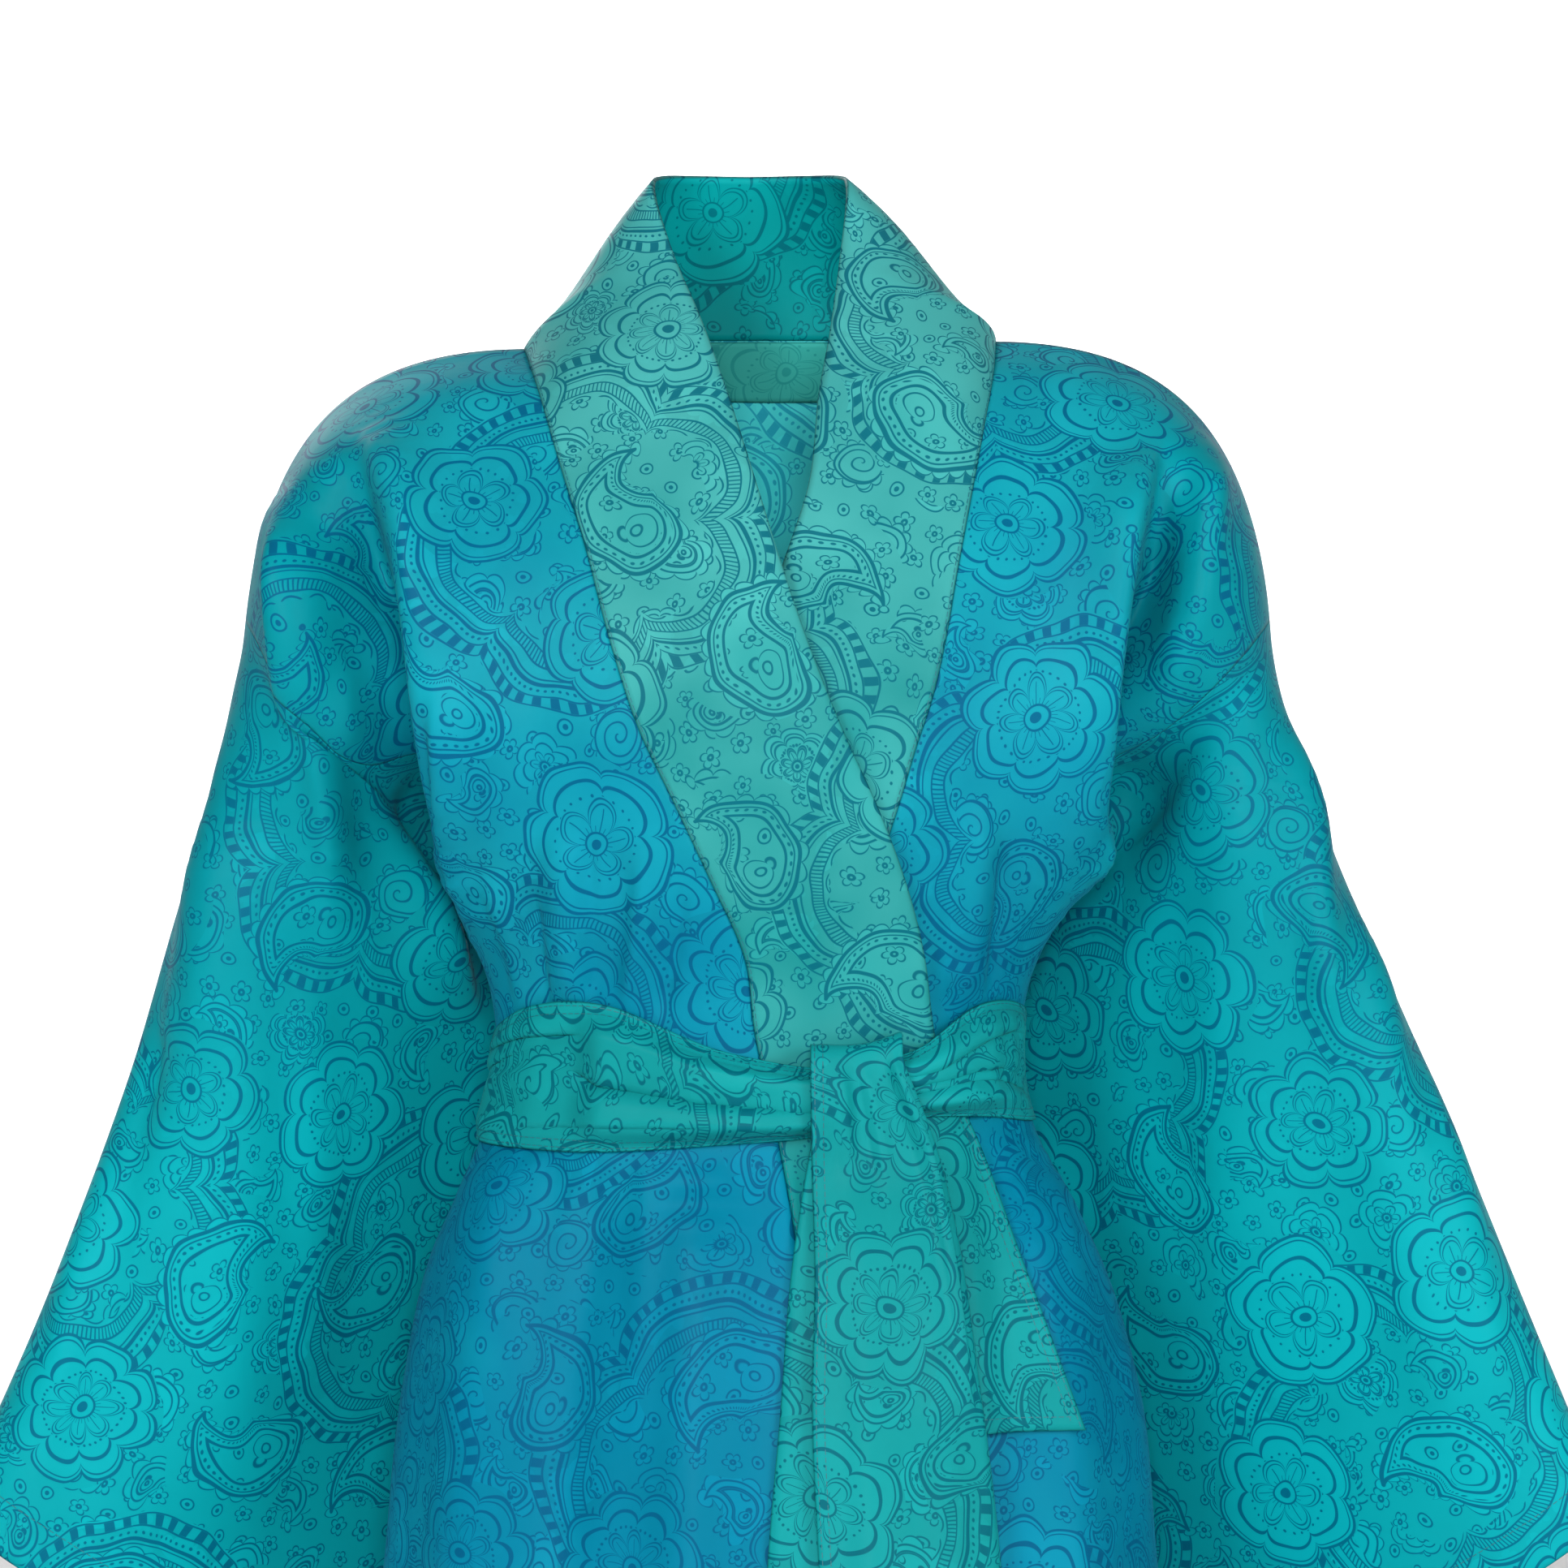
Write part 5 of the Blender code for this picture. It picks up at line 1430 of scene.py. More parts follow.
@dataclass
class Sash:
    """The sash: its stretch round the waist, and the two ends that hang from the tie."""

    cloth: float = 0.0016
    long_cloth: float = 0.0012
    gap: float = 0.0003
    rows: int = 20
    columns: int = 140
    times: int = 3
    angle_step: float = 0.01
    crease_fade: float = 0.2
    steep_side: float = 0.4
    lap: float = 0.8
    edge_hold: float = 0.22
    base_x: tuple[float, float] = (-0.010, 0.160)
    base_columns: int = 44
    tail_rows: int = 90
    tail_columns: tuple[int, int, int] = (26, 8, 18)
    hook_drops: tuple[float, ...] = (0.012, 0.009, 0.006, 0.003, 0.0)
    bend_rows: int = 9
    bend_clearance: float = 0.001
    pleat_start: float = 0.02
    short_rows: int = 44
    short_columns: int = 28

    def wrap(self, under: BVHTree) -> Cloth:
        """The stretch round the waist, laid on what is under it.

        Args:
            under: What is under it.

        Returns:
            The cloth.
        """
        angles = np.linspace(0, 2 * math.pi, self.columns + 1)
        shares = np.linspace(0, 1, self.rows + 1)
        angle, share = np.meshgrid(angles, shares)
        bottom = column_at(SASH, "degrees", "bottom", np.degrees(angle))
        top = column_at(SASH, "degrees", "top", np.degrees(angle))
        net = TORSO_FORM.point(angle, bottom + (top - bottom) * share)
        step = self.angle_step
        tangent = TORSO_FORM.point(angle + step, net[..., 2]) - TORSO_FORM.point(angle - step, net[..., 2])
        out = unit(np.stack([-tangent[..., 1], tangent[..., 0], np.zeros_like(angle)], -1))
        net = LAYING.lay(under, net, out, self.cloth / 2 + self.gap, True)
        net, out = smooth_refine(net, self.times), unit(smooth_refine(out, self.times))
        angles = np.linspace(0, 360, self.columns * self.times + 1)
        shares = np.linspace(0, 1, self.rows * self.times + 1)
        degrees, share = np.meshgrid(angles, shares)
        swell, drop = self.creased(degrees, share, SASH_CREASES + SASH_FINE_CREASES)
        net = net + out * swell[..., None]
        net[..., 2] -= drop
        net[:, -1] = net[:, 0]
        return Cloth("sash_wrap_cloth", net, 1, self.cloth)

    def creased(self, degrees: Array, share: Array, creases: Sequence[Crease]) -> tuple[Array, Array]:
        """How far the cloth swells between creases, and how far it laps down over each.

        Args:
            degrees: The angle of each point round the waist.
            share: Its share of the way up.
            creases: The creases.

        Returns:
            The swell and the lap of each point.
        """
        swell, drop = np.zeros_like(degrees), np.zeros_like(degrees)
        for crease in creases:
            t = np.clip((degrees - crease.from_degrees) / (crease.to_degrees - crease.from_degrees), 0, 1)
            line = crease.from_share + (crease.to_share - crease.from_share) * t
            fade = held_between(t, self.crease_fade, self.crease_fade)
            steep = crease.width * self.steep_side
            width = np.where(share > line, steep, crease.width)
            swell += crease.depth * fade * (1 - np.exp(-(((share - line) / width) ** 2)))
            above = np.maximum(share - line, 0) / steep
            drop += crease.depth * self.lap * fade * above * np.exp((1 - above**2) / 2)
        held = held_between(share, self.edge_hold, self.edge_hold)
        return swell * held, drop * held

    def short(self, under: BVHTree) -> Cloth:
        """The short end, folded in two and pressed.

        Args:
            under: What is under it.

        Returns:
            The cloth.
        """
        z = np.linspace(SHORT_TAIL[0].z, SHORT_TAIL[-1].z, self.short_rows + 1)
        left, right = (column_at(SHORT_TAIL, "z", name, z)[:, None] for name in ("left", "right"))
        x = left + (right - left) * np.linspace(0, 1, self.short_columns + 1)
        net = np.stack(np.broadcast_arrays(x, 0.0, z[:, None]), -1)
        net = LAYING.lay(under, net, forward(net), self.cloth / 2 + self.gap, False)
        return Cloth("sash_short_end", net, 1, self.cloth, up=-1)

    def across(self) -> Array:
        """The x of the columns of the surface under the long end."""
        return np.linspace(*self.base_x, self.base_columns)

    def top(self) -> Array:
        """The height of the sash's top edge across the front."""
        degrees = np.degrees(TORSO_FORM.angle(self.across(), LONG_TAIL[0].z))
        return column_at(SASH, "degrees", "top", degrees)

    def base(self, under: BVHTree, heights: Array) -> Array:
        """How far forward the long end lies at some heights, across all the x that it may cover.

        Args:
            under: What is under it.
            heights: The heights, a row for each place down the end.

        Returns:
            The y of each point.
        """
        x = np.broadcast_to(self.across(), heights.shape)
        net = np.stack([x, np.zeros_like(x), heights], -1)
        return LAYING.lay(under, net, forward(net), self.cloth / 2 + self.gap, False)[..., 1]

    def section(self, z: float) -> tuple[Array, Array, float]:
        """Across the long end at a height: the x of its front layer, fold and under layer, and their offsets.

        Args:
            z: The height.

        Returns:
            The x, the offsets, and half the space between the layers.
        """
        names = ("left", "right", "under", "spread")
        left, right, under, spread = (column_at(LONG_TAIL, "z", name, z) for name in names)
        front, fold, beneath = self.tail_columns
        turn = np.linspace(math.pi / 2, -math.pi / 2, fold + 1)
        centre = right - spread
        over_x = np.linspace(left, centre, front + 1)[:-1]
        under_x = np.linspace(centre, under, beneath + 1)[1:]
        x = np.concatenate([over_x, centre + spread * np.cos(turn), under_x])
        offset = np.concatenate([np.full(front, spread), spread * np.sin(turn), np.full(beneath, -spread)])
        return x, offset, float(spread)

    def hook(self, under: BVHTree) -> tuple[Array, Array]:
        """The rows of the long end behind the sash, and how far forward the last lies.

        Args:
            under: What is under it.

        Returns:
            The rows, and the y of the last.
        """
        heights = self.top() - np.array(self.hook_drops)[:, None]
        base = self.base(under, heights)
        x, offset, spread = self.section(LONG_TAIL[0].z)
        rows = []
        for height, depth in zip(heights, base):
            y = np.interp(x, self.across(), depth) - spread + offset
            rows.append(np.stack([x, y, np.interp(x, self.across(), height)], -1))
        return np.array(rows), base[-1]

    def hanging(self, under: BVHTree, behind: Array) -> Array:
        """The rows of the long end over the sash's top edge and down its front.

        Args:
            under: What is under it.
            behind: How far forward the rows behind the sash end.

        Returns:
            The rows.
        """
        share = np.linspace(0, 1, self.tail_rows + 1)[:, None]
        heights = self.top() + (LONG_TAIL[-1].z - self.top()) * share
        base = self.base(under, heights)
        x, offset, spread = self.section(LONG_TAIL[0].z)
        back = np.interp(x, self.across(), behind) - spread
        front = np.interp(x, self.across(), base[0]) - spread
        top = np.interp(x, self.across(), self.top()) + self.bend_clearance
        rows = []
        for turn in np.linspace(0, math.pi, self.bend_rows + 2)[1:-1]:
            y = (back + front) / 2 + ((back - front) / 2 + offset) * math.cos(turn)
            z = top + ((back - front) / 2 + offset) * math.sin(turn)
            rows.append(np.stack([x, y, z], -1))
        for height, depth in zip(heights, base):
            x, offset, spread = self.section(height.mean())
            y = np.interp(x, self.across(), depth) - spread - offset
            rows.append(np.stack([x, y, np.interp(x, self.across(), height)], -1))
        return np.array(rows)

    def long(self, under: BVHTree, hook: Array, behind: Array) -> Cloth:
        """The long end, with its pleats pressed into its front layer.

        Args:
            under: What is under it.
            hook: The rows behind the sash.
            behind: How far forward they end.

        Returns:
            The cloth.
        """
        net = np.concatenate([hook, self.hanging(under, behind)])
        cloth = Cloth("sash_long_end", net, 1, self.long_cloth, up=-1)
        first = len(hook) + self.bend_rows
        shares = np.linspace(0, 1, len(net) - first)[:, None]
        held = soft_step(0, self.pleat_start, shares) * (np.arange(net.shape[1]) < self.tail_columns[0])
        lift = np.zeros(net.shape[:2])
        lift[first:] = fold_heights(net[first:], TAIL_FOLDS) * held
        cloth.lift(np.maximum(lift, 0))
        return cloth


@dataclass
class Robe:
    """The sewn robe: two fronts, the back, the sleeves, the band and the facing inside the neck."""

    sleeve_rows: int = 152
    cloth: float = 0.0010
    band_cloth: float = 0.0022
    facing_drops: tuple[float, float] = (10.15, 0.2)
    facing_rows: int = 13
    facing_space: float = 0.0020

    def sewn(self) -> dict[str, Cloth]:
        """The robe's panels, folded, with one normal at each point of a seam.

        Returns:
            The panels by name.
        """
        half_back = np.linspace(0, 1, MESH.side_columns + MESH.neck_columns + 1)
        front = half_body_weight(np.linspace(0, 1, MESH.side_columns + 1))
        back = half_body_weight(half_back)
        back = np.concatenate([back, back[:, ::-1][:, 1:]], 1)
        edge = half_body_weight(np.array([1.0]))
        band = np.concatenate([edge, np.zeros((2 * MESH.neck_columns - 1, 1)), edge[::-1]])
        around = 2 * MESH.yoke_rows
        turn = np.linspace(0, 2, around + 1)
        arm = np.where(turn <= 1, seam_fade(turn), 0)[None, :]
        arm_back = np.where(turn >= 1, seam_fade(2 - turn), 0)[None, :]
        sleeves = [
            Cloth(name, sleeve.net(self.sleeve_rows, around), sleeve.side.value, self.cloth, up=-1)
            for name, sleeve in (("sleeve_right_cloth", RIGHT_ARM), ("sleeve_left_cloth", LEFT_ARM))
        ]
        panels = (
            (Cloth("front_outer_cloth", OUTER_FRONT.net(), -1, self.cloth), front, 0.0),
            (Cloth("front_inner_cloth", INNER_FRONT.net(), 1, self.cloth), front, 0.0),
            (Cloth("back_cloth", BACK.net(), 1, self.cloth), 0.0, back),
            *((sleeve, arm, arm_back) for sleeve in sleeves),
            (Cloth("neckband_cloth", Band().net(), -1, self.band_cloth), band, 0.0),
        )
        cloths = [cloth for cloth, _, _ in panels]
        share_normals(cloths)
        for cloth, in_front, behind in panels:
            lift = np.zeros(cloth.net.shape[:2])
            if np.any(in_front):
                lift += in_front * fold_heights(cloth.net, FRONT_FOLDS + FRONT_CREASES)
            if np.any(behind):
                lift += behind * fold_heights(cloth.net, BACK_FOLDS + BACK_CREASES)
            cloth.lift(lift)
        share_normals(cloths)
        return {cloth.name: cloth for cloth in cloths}

    def facing(self, back: Cloth) -> Cloth:
        """The facing, made from the back's points, moved in.

        Args:
            back: The back.

        Returns:
            The facing's cloth.
        """
        top = len(back.net) - 1
        middle = MESH.neck_columns + MESH.side_columns
        across = slice(middle - MESH.neck_columns, middle + MESH.neck_columns + 1)
        rows = top - np.linspace(*self.facing_drops, self.facing_rows)
        inward = unit(read_rows(back.normals, rows)[:, across]) * -self.facing_space
        return Cloth("neck_facing_cloth", read_rows(back.net, rows)[:, across] + inward, 1, self.cloth)


Number = Union["Value", float]
Colour = Union[bpy.types.NodeSocket, tuple[float, ...]]
Sockets = bpy.types.bpy_prop_collection


class Graph:
    """A material's nodes, added one by one."""

    def __init__(self, tree: bpy.types.NodeTree) -> None:
        """Takes the tree that the nodes go into."""
        self.tree = tree

    def node(self, kind: str, settings: dict, inputs: dict) -> bpy.types.Node:
        """Adds a node.

        Args:
            kind: Its type.
            settings: Its own properties, set first.
            inputs: The values or links of its sockets, by name or number.

        Returns:
            The node.
        """
        made = self.tree.nodes.new(kind)
        for name, value in settings.items():
            setattr(made, name, value)
        for key, value in inputs.items():
            if isinstance(value, Value):
                value = value.socket
            if isinstance(value, bpy.types.NodeSocket):
                self.tree.links.new(value, made.inputs[key])
            else:
                made.inputs[key].default_value = value
        return made

    def parts(self, vector: bpy.types.NodeSocket) -> tuple["Value", ...]:
        """The x, y and z of a vector."""
        made = self.node("ShaderNodeSeparateXYZ", {}, {0: vector})
        return tuple(Value(self, socket) for socket in made.outputs)

    def scaled(self, vector: Colour, factor: Number) -> bpy.types.NodeSocket:
        """A vector or a colour times a number."""
        inputs = {0: vector, "Scale": factor}
        return self.node("ShaderNodeVectorMath", {"operation": "SCALE"}, inputs).outputs[0]

    def blend(self, share: Number, low: Colour, high: Colour) -> bpy.types.NodeSocket:
        """The first colour, or the second where share is 1."""
        return self.node("ShaderNodeMix", {"data_type": "RGBA"}, {0: share, 6: low, 7: high}).outputs[2]

    def noise(self, place: bpy.types.NodeSocket, scale: float, detail: float, flat: bool) -> Sockets:
        """Adds a soft noise.

        Args:
            place: Where it is read.
            scale: Its scale.
            detail: How many finer noises are added to it.
            flat: Whether it follows only x and y.

        Returns:
            Its outputs.
        """
        settings = {"noise_dimensions": "2D" if flat else "3D"}
        inputs = {"Vector": place, "Scale": scale, "Detail": detail}
        return self.node("ShaderNodeTexNoise", settings, inputs).outputs


class Value:
    """A number that varies over the surface."""

    def __init__(self, graph: Graph, socket: bpy.types.NodeSocket) -> None:
        """Takes the socket that gives it."""
        self.graph = graph
        self.socket = socket

    def math(self, operation: str, *others: Number, clamp: bool = False) -> Self:
        """The result of a Math node on this value and others.

        Args:
            operation: The node's operation.
            clamp: Whether the result is held between 0 and 1.
            others: The other values.

        Returns:
            The result.
        """
        settings = {"operation": operation, "use_clamp": clamp}
        made = self.graph.node("ShaderNodeMath", settings, dict(enumerate((self, *others))))
        return Value(self.graph, made.outputs[0])

    def swapped(self, operation: str, other: Number) -> Self:
        """The result of a Math node on another value and this one."""
        made = self.graph.node("ShaderNodeMath", {"operation": operation}, {0: other, 1: self})
        return Value(self.graph, made.outputs[0])

    def __add__(self, other: Number) -> Self:
        """The sum."""
        return self.math("ADD", other)

    __radd__ = __add__

    def __sub__(self, other: Number) -> Self:
        """The difference."""
        return self.math("SUBTRACT", other)

    def __rsub__(self, other: Number) -> Self:
        """The difference, the other way round."""
        return self.swapped("SUBTRACT", other)

    def __mul__(self, other: Number) -> Self:
        """The product."""
        return self.math("MULTIPLY", other)

    __rmul__ = __mul__

    def __truediv__(self, other: Number) -> Self:
        """The quotient."""
        return self.math("DIVIDE", other)

    def __pow__(self, other: Number) -> Self:
        """The power."""
        return self.math("POWER", other)

    def __abs__(self) -> Self:
        """The size."""
        return self.math("ABSOLUTE")

    def sin(self) -> Self:
        """The sine."""
        return self.math("SINE")

    def cos(self) -> Self:
        """The cosine."""
        return self.math("COSINE")

    def fraction(self) -> Self:
        """What is left past the last whole number."""
        return self.math("FRACT")

    def floor(self) -> Self:
        """The whole number below."""
        return self.math("FLOOR")

    def below(self, other: Number) -> Self:
        """1 where this is less than the other, else 0."""
        return self.math("LESS_THAN", other)

    def above(self, other: Number) -> Self:
        """1 where this is more than the other, else 0."""
        return self.math("GREATER_THAN", other)

    def least(self, other: Number) -> Self:
        """The smaller of the two."""
        return self.math("MINIMUM", other)

    def most(self, other: Number) -> Self:
        """The larger of the two."""
        return self.math("MAXIMUM", other)

    def rise(self, low: float, high: float) -> Self:
        """0 at low and 1 at high, with straight steps between."""
        return self.math("MULTIPLY_ADD", 1 / (high - low), -low / (high - low), clamp=True)

    def mixed(self, other: Number, share: Self) -> Self:
        """This value, or the other where share is 1.

        Args:
            other: The other value.
            share: How much of it shows.

        Returns:
            The mixture.
        """
        settings = {"data_type": "FLOAT"}
        made = self.graph.node("ShaderNodeMix", settings, {0: share, 2: self, 3: other})
        return Value(self.graph, made.outputs[0])


SOFT = 0.32
TURN = 2 * math.pi
PEN_MOST = 2.0
BOLD = 1.1
PEN = 0.9
HAIRLINE = 0.8
SCALLOP = 0.6
HEART_REACH = 17.0
BEADED_REACH = 18.0


def line(distance: Value, width: Number) -> Value:
    """Ink within half a width of a distance of 0.

    Args:
        distance: How far a point is from the line.
        width: The line's width.

    Returns:
        The ink.
    """
    if isinstance(width, Value):
        return ((width * 0.5 - abs(distance)) * (1 / SOFT) + 0.5).math("MULTIPLY_ADD", 1.0, 0.0, clamp=True)
    return abs(distance).math("MULTIPLY_ADD", -1 / SOFT, width / 2 / SOFT + 0.5, clamp=True)


def filled(distance: Value) -> Value:
    """Ink where a distance is under 0."""
    return distance.math("MULTIPLY_ADD", -1 / SOFT, 0.5, clamp=True)


def union(*inks: Value) -> Value:
    """All inks together.

    Args:
        inks: The inks.

    Returns:
        The ink.
    """
    total = inks[0]
    for ink in inks[1:]:
        total = total.most(ink)
    return total


@dataclass
class Place:
    """Where a point lies in its motif: across, up, how far out, which way, the room and its random values."""

    graph: Graph
    x: Value
    y: Value
    reach: Value
    picks: tuple[Value, Value, Value]

    def __post_init__(self) -> None:
        """Works out the distance from the middle and the direction."""
        self.r = (self.x * self.x + self.y * self.y).math("SQRT")
        self.turn = self.y.math("ARCTAN2", self.x) + self.picks[0] * TURN

    def past(self, share: Number) -> Value:
        """How far out the point is beyond a share of the motif's reach."""
        return self.r - self.reach * share

    def thick(self, share: float) -> Value:
        """A pen width that suits the motif's size."""
        return (self.reach * share).least(PEN_MOST).most(PEN)

    def beads(self, distance: Value, radius: Value, count: Number, size: float) -> Value:
        """A row of dots along a ring.

        Args:
            distance: How far the point is from the row.
            radius: The ring's radius there.
            count: How many dots go round it.
            size: A dot's radius.

        Returns:
            The ink.
        """
        along = ((self.turn * (1 / TURN) * count).fraction() - 0.5) * radius * TURN / count
        return filled((along * along + distance * distance).math("SQRT") - size)


@dataclass(frozen=True)
class Scatter:
    """Motifs spread over the cloth in staggered rows, each a little off its place: sizes in millimetres."""

    cell: float
    stray: float
    seed: float
    least: float = 0.86

    def place(self, graph: Graph, x: Value, y: Value) -> Place:
        """Finds the motif that a point belongs to, and the point's place in it.

        Args:
            graph: The graph to draw in.
            x: The point across the cloth.
            y: The point up it.

        Returns:
            The place.
        """
        across, up = x * (1 / self.cell) + self.seed, y * (1 / self.cell) + self.seed
        row = up.floor()
        across = across + (row * 0.5).fraction()
        column = across.floor()
        number = graph.node("ShaderNodeCombineXYZ", {}, {0: column, 1: row})
        settings = {"noise_dimensions": "2D"}
        noise = graph.node("ShaderNodeTexWhiteNoise", settings, {"Vector": number.outputs[0]})
        parts = graph.node("ShaderNodeSeparateColor", {}, {0: noise.outputs["Color"]})
        picks = tuple(Value(graph, parts.outputs[i]) for i in range(3))
        size = Value(graph, noise.outputs["Value"])
        local_x = (across - column - picks[1] * (2 * self.stray) - (0.5 - self.stray)) * self.cell
        local_y = (up - row - picks[2] * (2 * self.stray) - (0.5 - self.stray)) * self.cell
        reach = (size * (1 - self.least) + self.least) * (self.cell * (0.5 - self.stray))
        return Place(graph, local_x, local_y, reach, picks)


SCATTERS = (
    Scatter(15.5, 0.12, 13.0),
    Scatter(40.0, 0.05, 71.5),
    Scatter(90.0, 0.03, 157.25),
    Scatter(235.0, 0.04, 311.0),
)


@dataclass
class Drawn:
    """A drawn motif: its ink, 1 where it covers what is behind it, and 1 where small flowers fill it."""

    ink: Value
    cover: Value
    field: Number = 0.0

    def over(self, other: Self, chosen: Value) -> Self:
        """This motif, or the other where chosen is 1."""
        field = self.field * (1 - chosen) if isinstance(self.field, Value) else 0.0
        return Drawn(self.ink.mixed(other.ink, chosen), self.cover.mixed(other.cover, chosen), field)


@dataclass(frozen=True)
class Lobes:
    """A scalloped outline in shares of a motif's reach: how deep its lobes are and where its notches lie."""

    depth: float
    notch: float

    def out(self, wave: Value) -> Value:
        """The share at which the outline runs, where a wave is 0 at a notch and 1 at a lobe."""
        return wave * self.depth + self.notch


@dataclass(frozen=True)
class Flower:
    """A flower in two scalloped outlines, in shares of its reach. Rim, bead and margin are in millimetres."""

    fewest: int = 5
    spread: float = 3.99
    rounding: float = 0.55
    edge: Lobes = Lobes(0.20, 0.77)
    second: Lobes = Lobes(0.16, 0.55)
    petal: Lobes = Lobes(0.26, 0.22)
    petal_inset: float = 0.055
    core: float = 0.15
    seed: float = 0.07
    pen: float = 0.05
    vein_inset: float = 0.10
    vein_width: float = 0.6
    stamens: float = 4.0
    stamen_width: float = 0.2
    stamen_at: float = 0.045
    stamen_half: float = 0.03
    rim_inset: float = 2.8
    bead_ring: float = 0.50
    beads_each: int = 5
    bead: float = 0.7
    bead_from: float = 1.0
    margin: float = 0.6

    def draw(self, p: Place) -> Drawn:
        """Draws the motif.

        Args:
            p: The point's place in it.

        Returns:
            The motif.
        """
        lobes = (p.picks[2] * self.spread).floor() + self.fewest
        half = p.turn * lobes * 0.5
        wave, cross = abs(half.cos()), abs(half.sin())
        rounded = wave ** self.rounding
        edge = p.past(self.edge.out(rounded))
        second = p.past(self.second.out(rounded))
        petal = p.past(self.petal.out(cross ** SCALLOP))
        core = p.past(self.core)
        thick = p.thick(self.pen)
        inside = filled(petal + p.reach * self.vein_inset)
        veins = line(half.sin() * half.cos() * p.r * self.vein_width, PEN) * inside * core.above(0.0)
        ring = filled(abs(core - p.reach * self.stamen_at) - p.reach * self.stamen_half)
        stamens = line((half * self.stamens).sin() * p.r * self.stamen_width, HAIRLINE) * ring
        heart = p.reach.above(HEART_REACH)
        beads = p.beads(p.past(self.bead_ring), p.r, lobes * self.beads_each, self.bead) * heart
        ink = union(
            line(edge, thick), line(edge + self.rim_inset, HAIRLINE) * heart, line(second, thick),
            line(petal, PEN), line(core, BOLD), filled(p.past(self.seed)), veins, stamens,
            line(petal + p.reach * self.petal_inset, HAIRLINE) * heart, beads * petal.above(self.bead_from),
        )
        return Drawn(ink, filled(edge - self.margin))


@dataclass(frozen=True)
class Paisley:
    """A drop whose tip curls over, in shares of its reach. Fringe, rim and beads are in millimetres."""

    bulb: float = 0.50
    bend: float = 0.60
    tail: float = 1.42
    shift_x: float = 0.28
    shift_y: float = 0.30
    taper: float = 1.35
    least: float = 0.0001
    pen: float = 0.05
    wave_rate: float = 0.55
    wave_height: float = 3.2
    fringe_gap: float = 0.8
    fringe_pen: float = 0.85
    fringe_from: float = 0.6
    eye_lobes: float = 3.0
    eye: Lobes = Lobes(0.09, 0.13)
    eye_core: float = 0.06
    bead_inset: float = 0.11
    bead_rate: float = 0.32
    bead_pitch: float = 3.1
    bead: float = 0.75
    rim_inset: float = 2.6
    border_inset: float = 0.19
    border_pen: float = 0.8
    margin: float = 1.2
    field_inset: float = 0.23
    field_from: float = 0.26

    def draw(self, p: Place) -> Drawn:
        """Draws the motif.

        Args:
            p: The point's place in it.

        Returns:
            The motif.
        """
        bulb, bend, tail = p.reach * self.bulb, p.reach * self.bend, p.reach * self.tail
        c, s = (p.picks[0] * TURN).cos(), (p.picks[0] * TURN).sin()
        side = p.picks[2].above(0.5) * 2 - 1
        turned_x = (p.x * c - p.y * s) * side + p.reach * self.shift_x
        turned_y = p.x * s + p.y * c + p.reach * self.shift_y
        from_bend = turned_x - bend
        out = (from_bend * from_bend + turned_y * turned_y).math("SQRT")
        along = turned_y.math("ARCTAN2", from_bend * -1) * bend
        across = out - bend
        share = (along / tail).most(0.0).least(1.0)
        taper = (1 - share * share).most(self.least)
        width = bulb * taper ** self.taper
        slope = width / taper * share / tail * (2 * self.taper)
        before = along.least(0.0)
        past = (along - tail).most(0.0)
        away = (across * across + before * before + past * past).math("SQRT")
        edge = (away - width) / (slope * slope + 1).math("SQRT")
        thick = p.thick(self.pen)
        round_it = along.mixed(p.turn * bulb, along.below(0.0)) * self.wave_rate
        waves = abs(round_it.sin()) ** SCALLOP * self.wave_height
        fringe = line(edge - waves - self.fringe_gap, self.fringe_pen) * edge.above(self.fringe_from)
        eye = (before * before + across * across + (along.most(0.0) * along.most(0.0))).math("SQRT")
        petals = eye - p.reach * self.eye.out(abs((p.turn * self.eye_lobes).cos()) ** SCALLOP)
        bead_across = edge + p.reach * self.bead_inset
        bead_along = ((along * self.bead_rate).fraction() - 0.5) * self.bead_pitch
        beads = filled((bead_along * bead_along + bead_across * bead_across).math("SQRT") - self.bead)
        ink = union(
            line(edge, thick), line(edge + self.rim_inset, HAIRLINE), beads * p.reach.above(BEADED_REACH),
            line(edge + p.reach * self.border_inset, thick * self.border_pen), line(petals, PEN),
            line(eye - p.reach * self.eye_core, BOLD), fringe,
        )
        field = filled(edge + p.reach * self.field_inset) * eye.above(p.reach * self.field_from)
        return Drawn(ink, filled(edge - waves - self.margin), field)


@dataclass(frozen=True)
class Volute:
    """A curl, thick at its heart, in a ring of scallops, in shares of its reach."""

    gap: float = 0.34
    ring: float = 0.74
    scallops: float = 6.0
    depth: float = 0.2
    pen: float = 0.06
    scallop_from: float = 0.4
    margin: float = 0.5

    def draw(self, p: Place) -> Drawn:
        """Draws the motif.

        Args:
            p: The point's place in it.

        Returns:
            The motif.
        """
        gap = p.reach * self.gap
        arm = ((p.r / gap - p.turn * (1 / TURN)).fraction() - 0.5) * gap
        inside = p.past(self.ring)
        scallop = inside - abs((p.turn * self.scallops).sin()) ** SCALLOP * p.reach * self.depth
        curl = line(arm, p.thick(self.pen)) * filled(inside)
        ink = union(curl, line(inside, BOLD), line(scallop, PEN) * inside.above(self.scallop_from))
        return Drawn(ink, filled(scallop - self.margin))


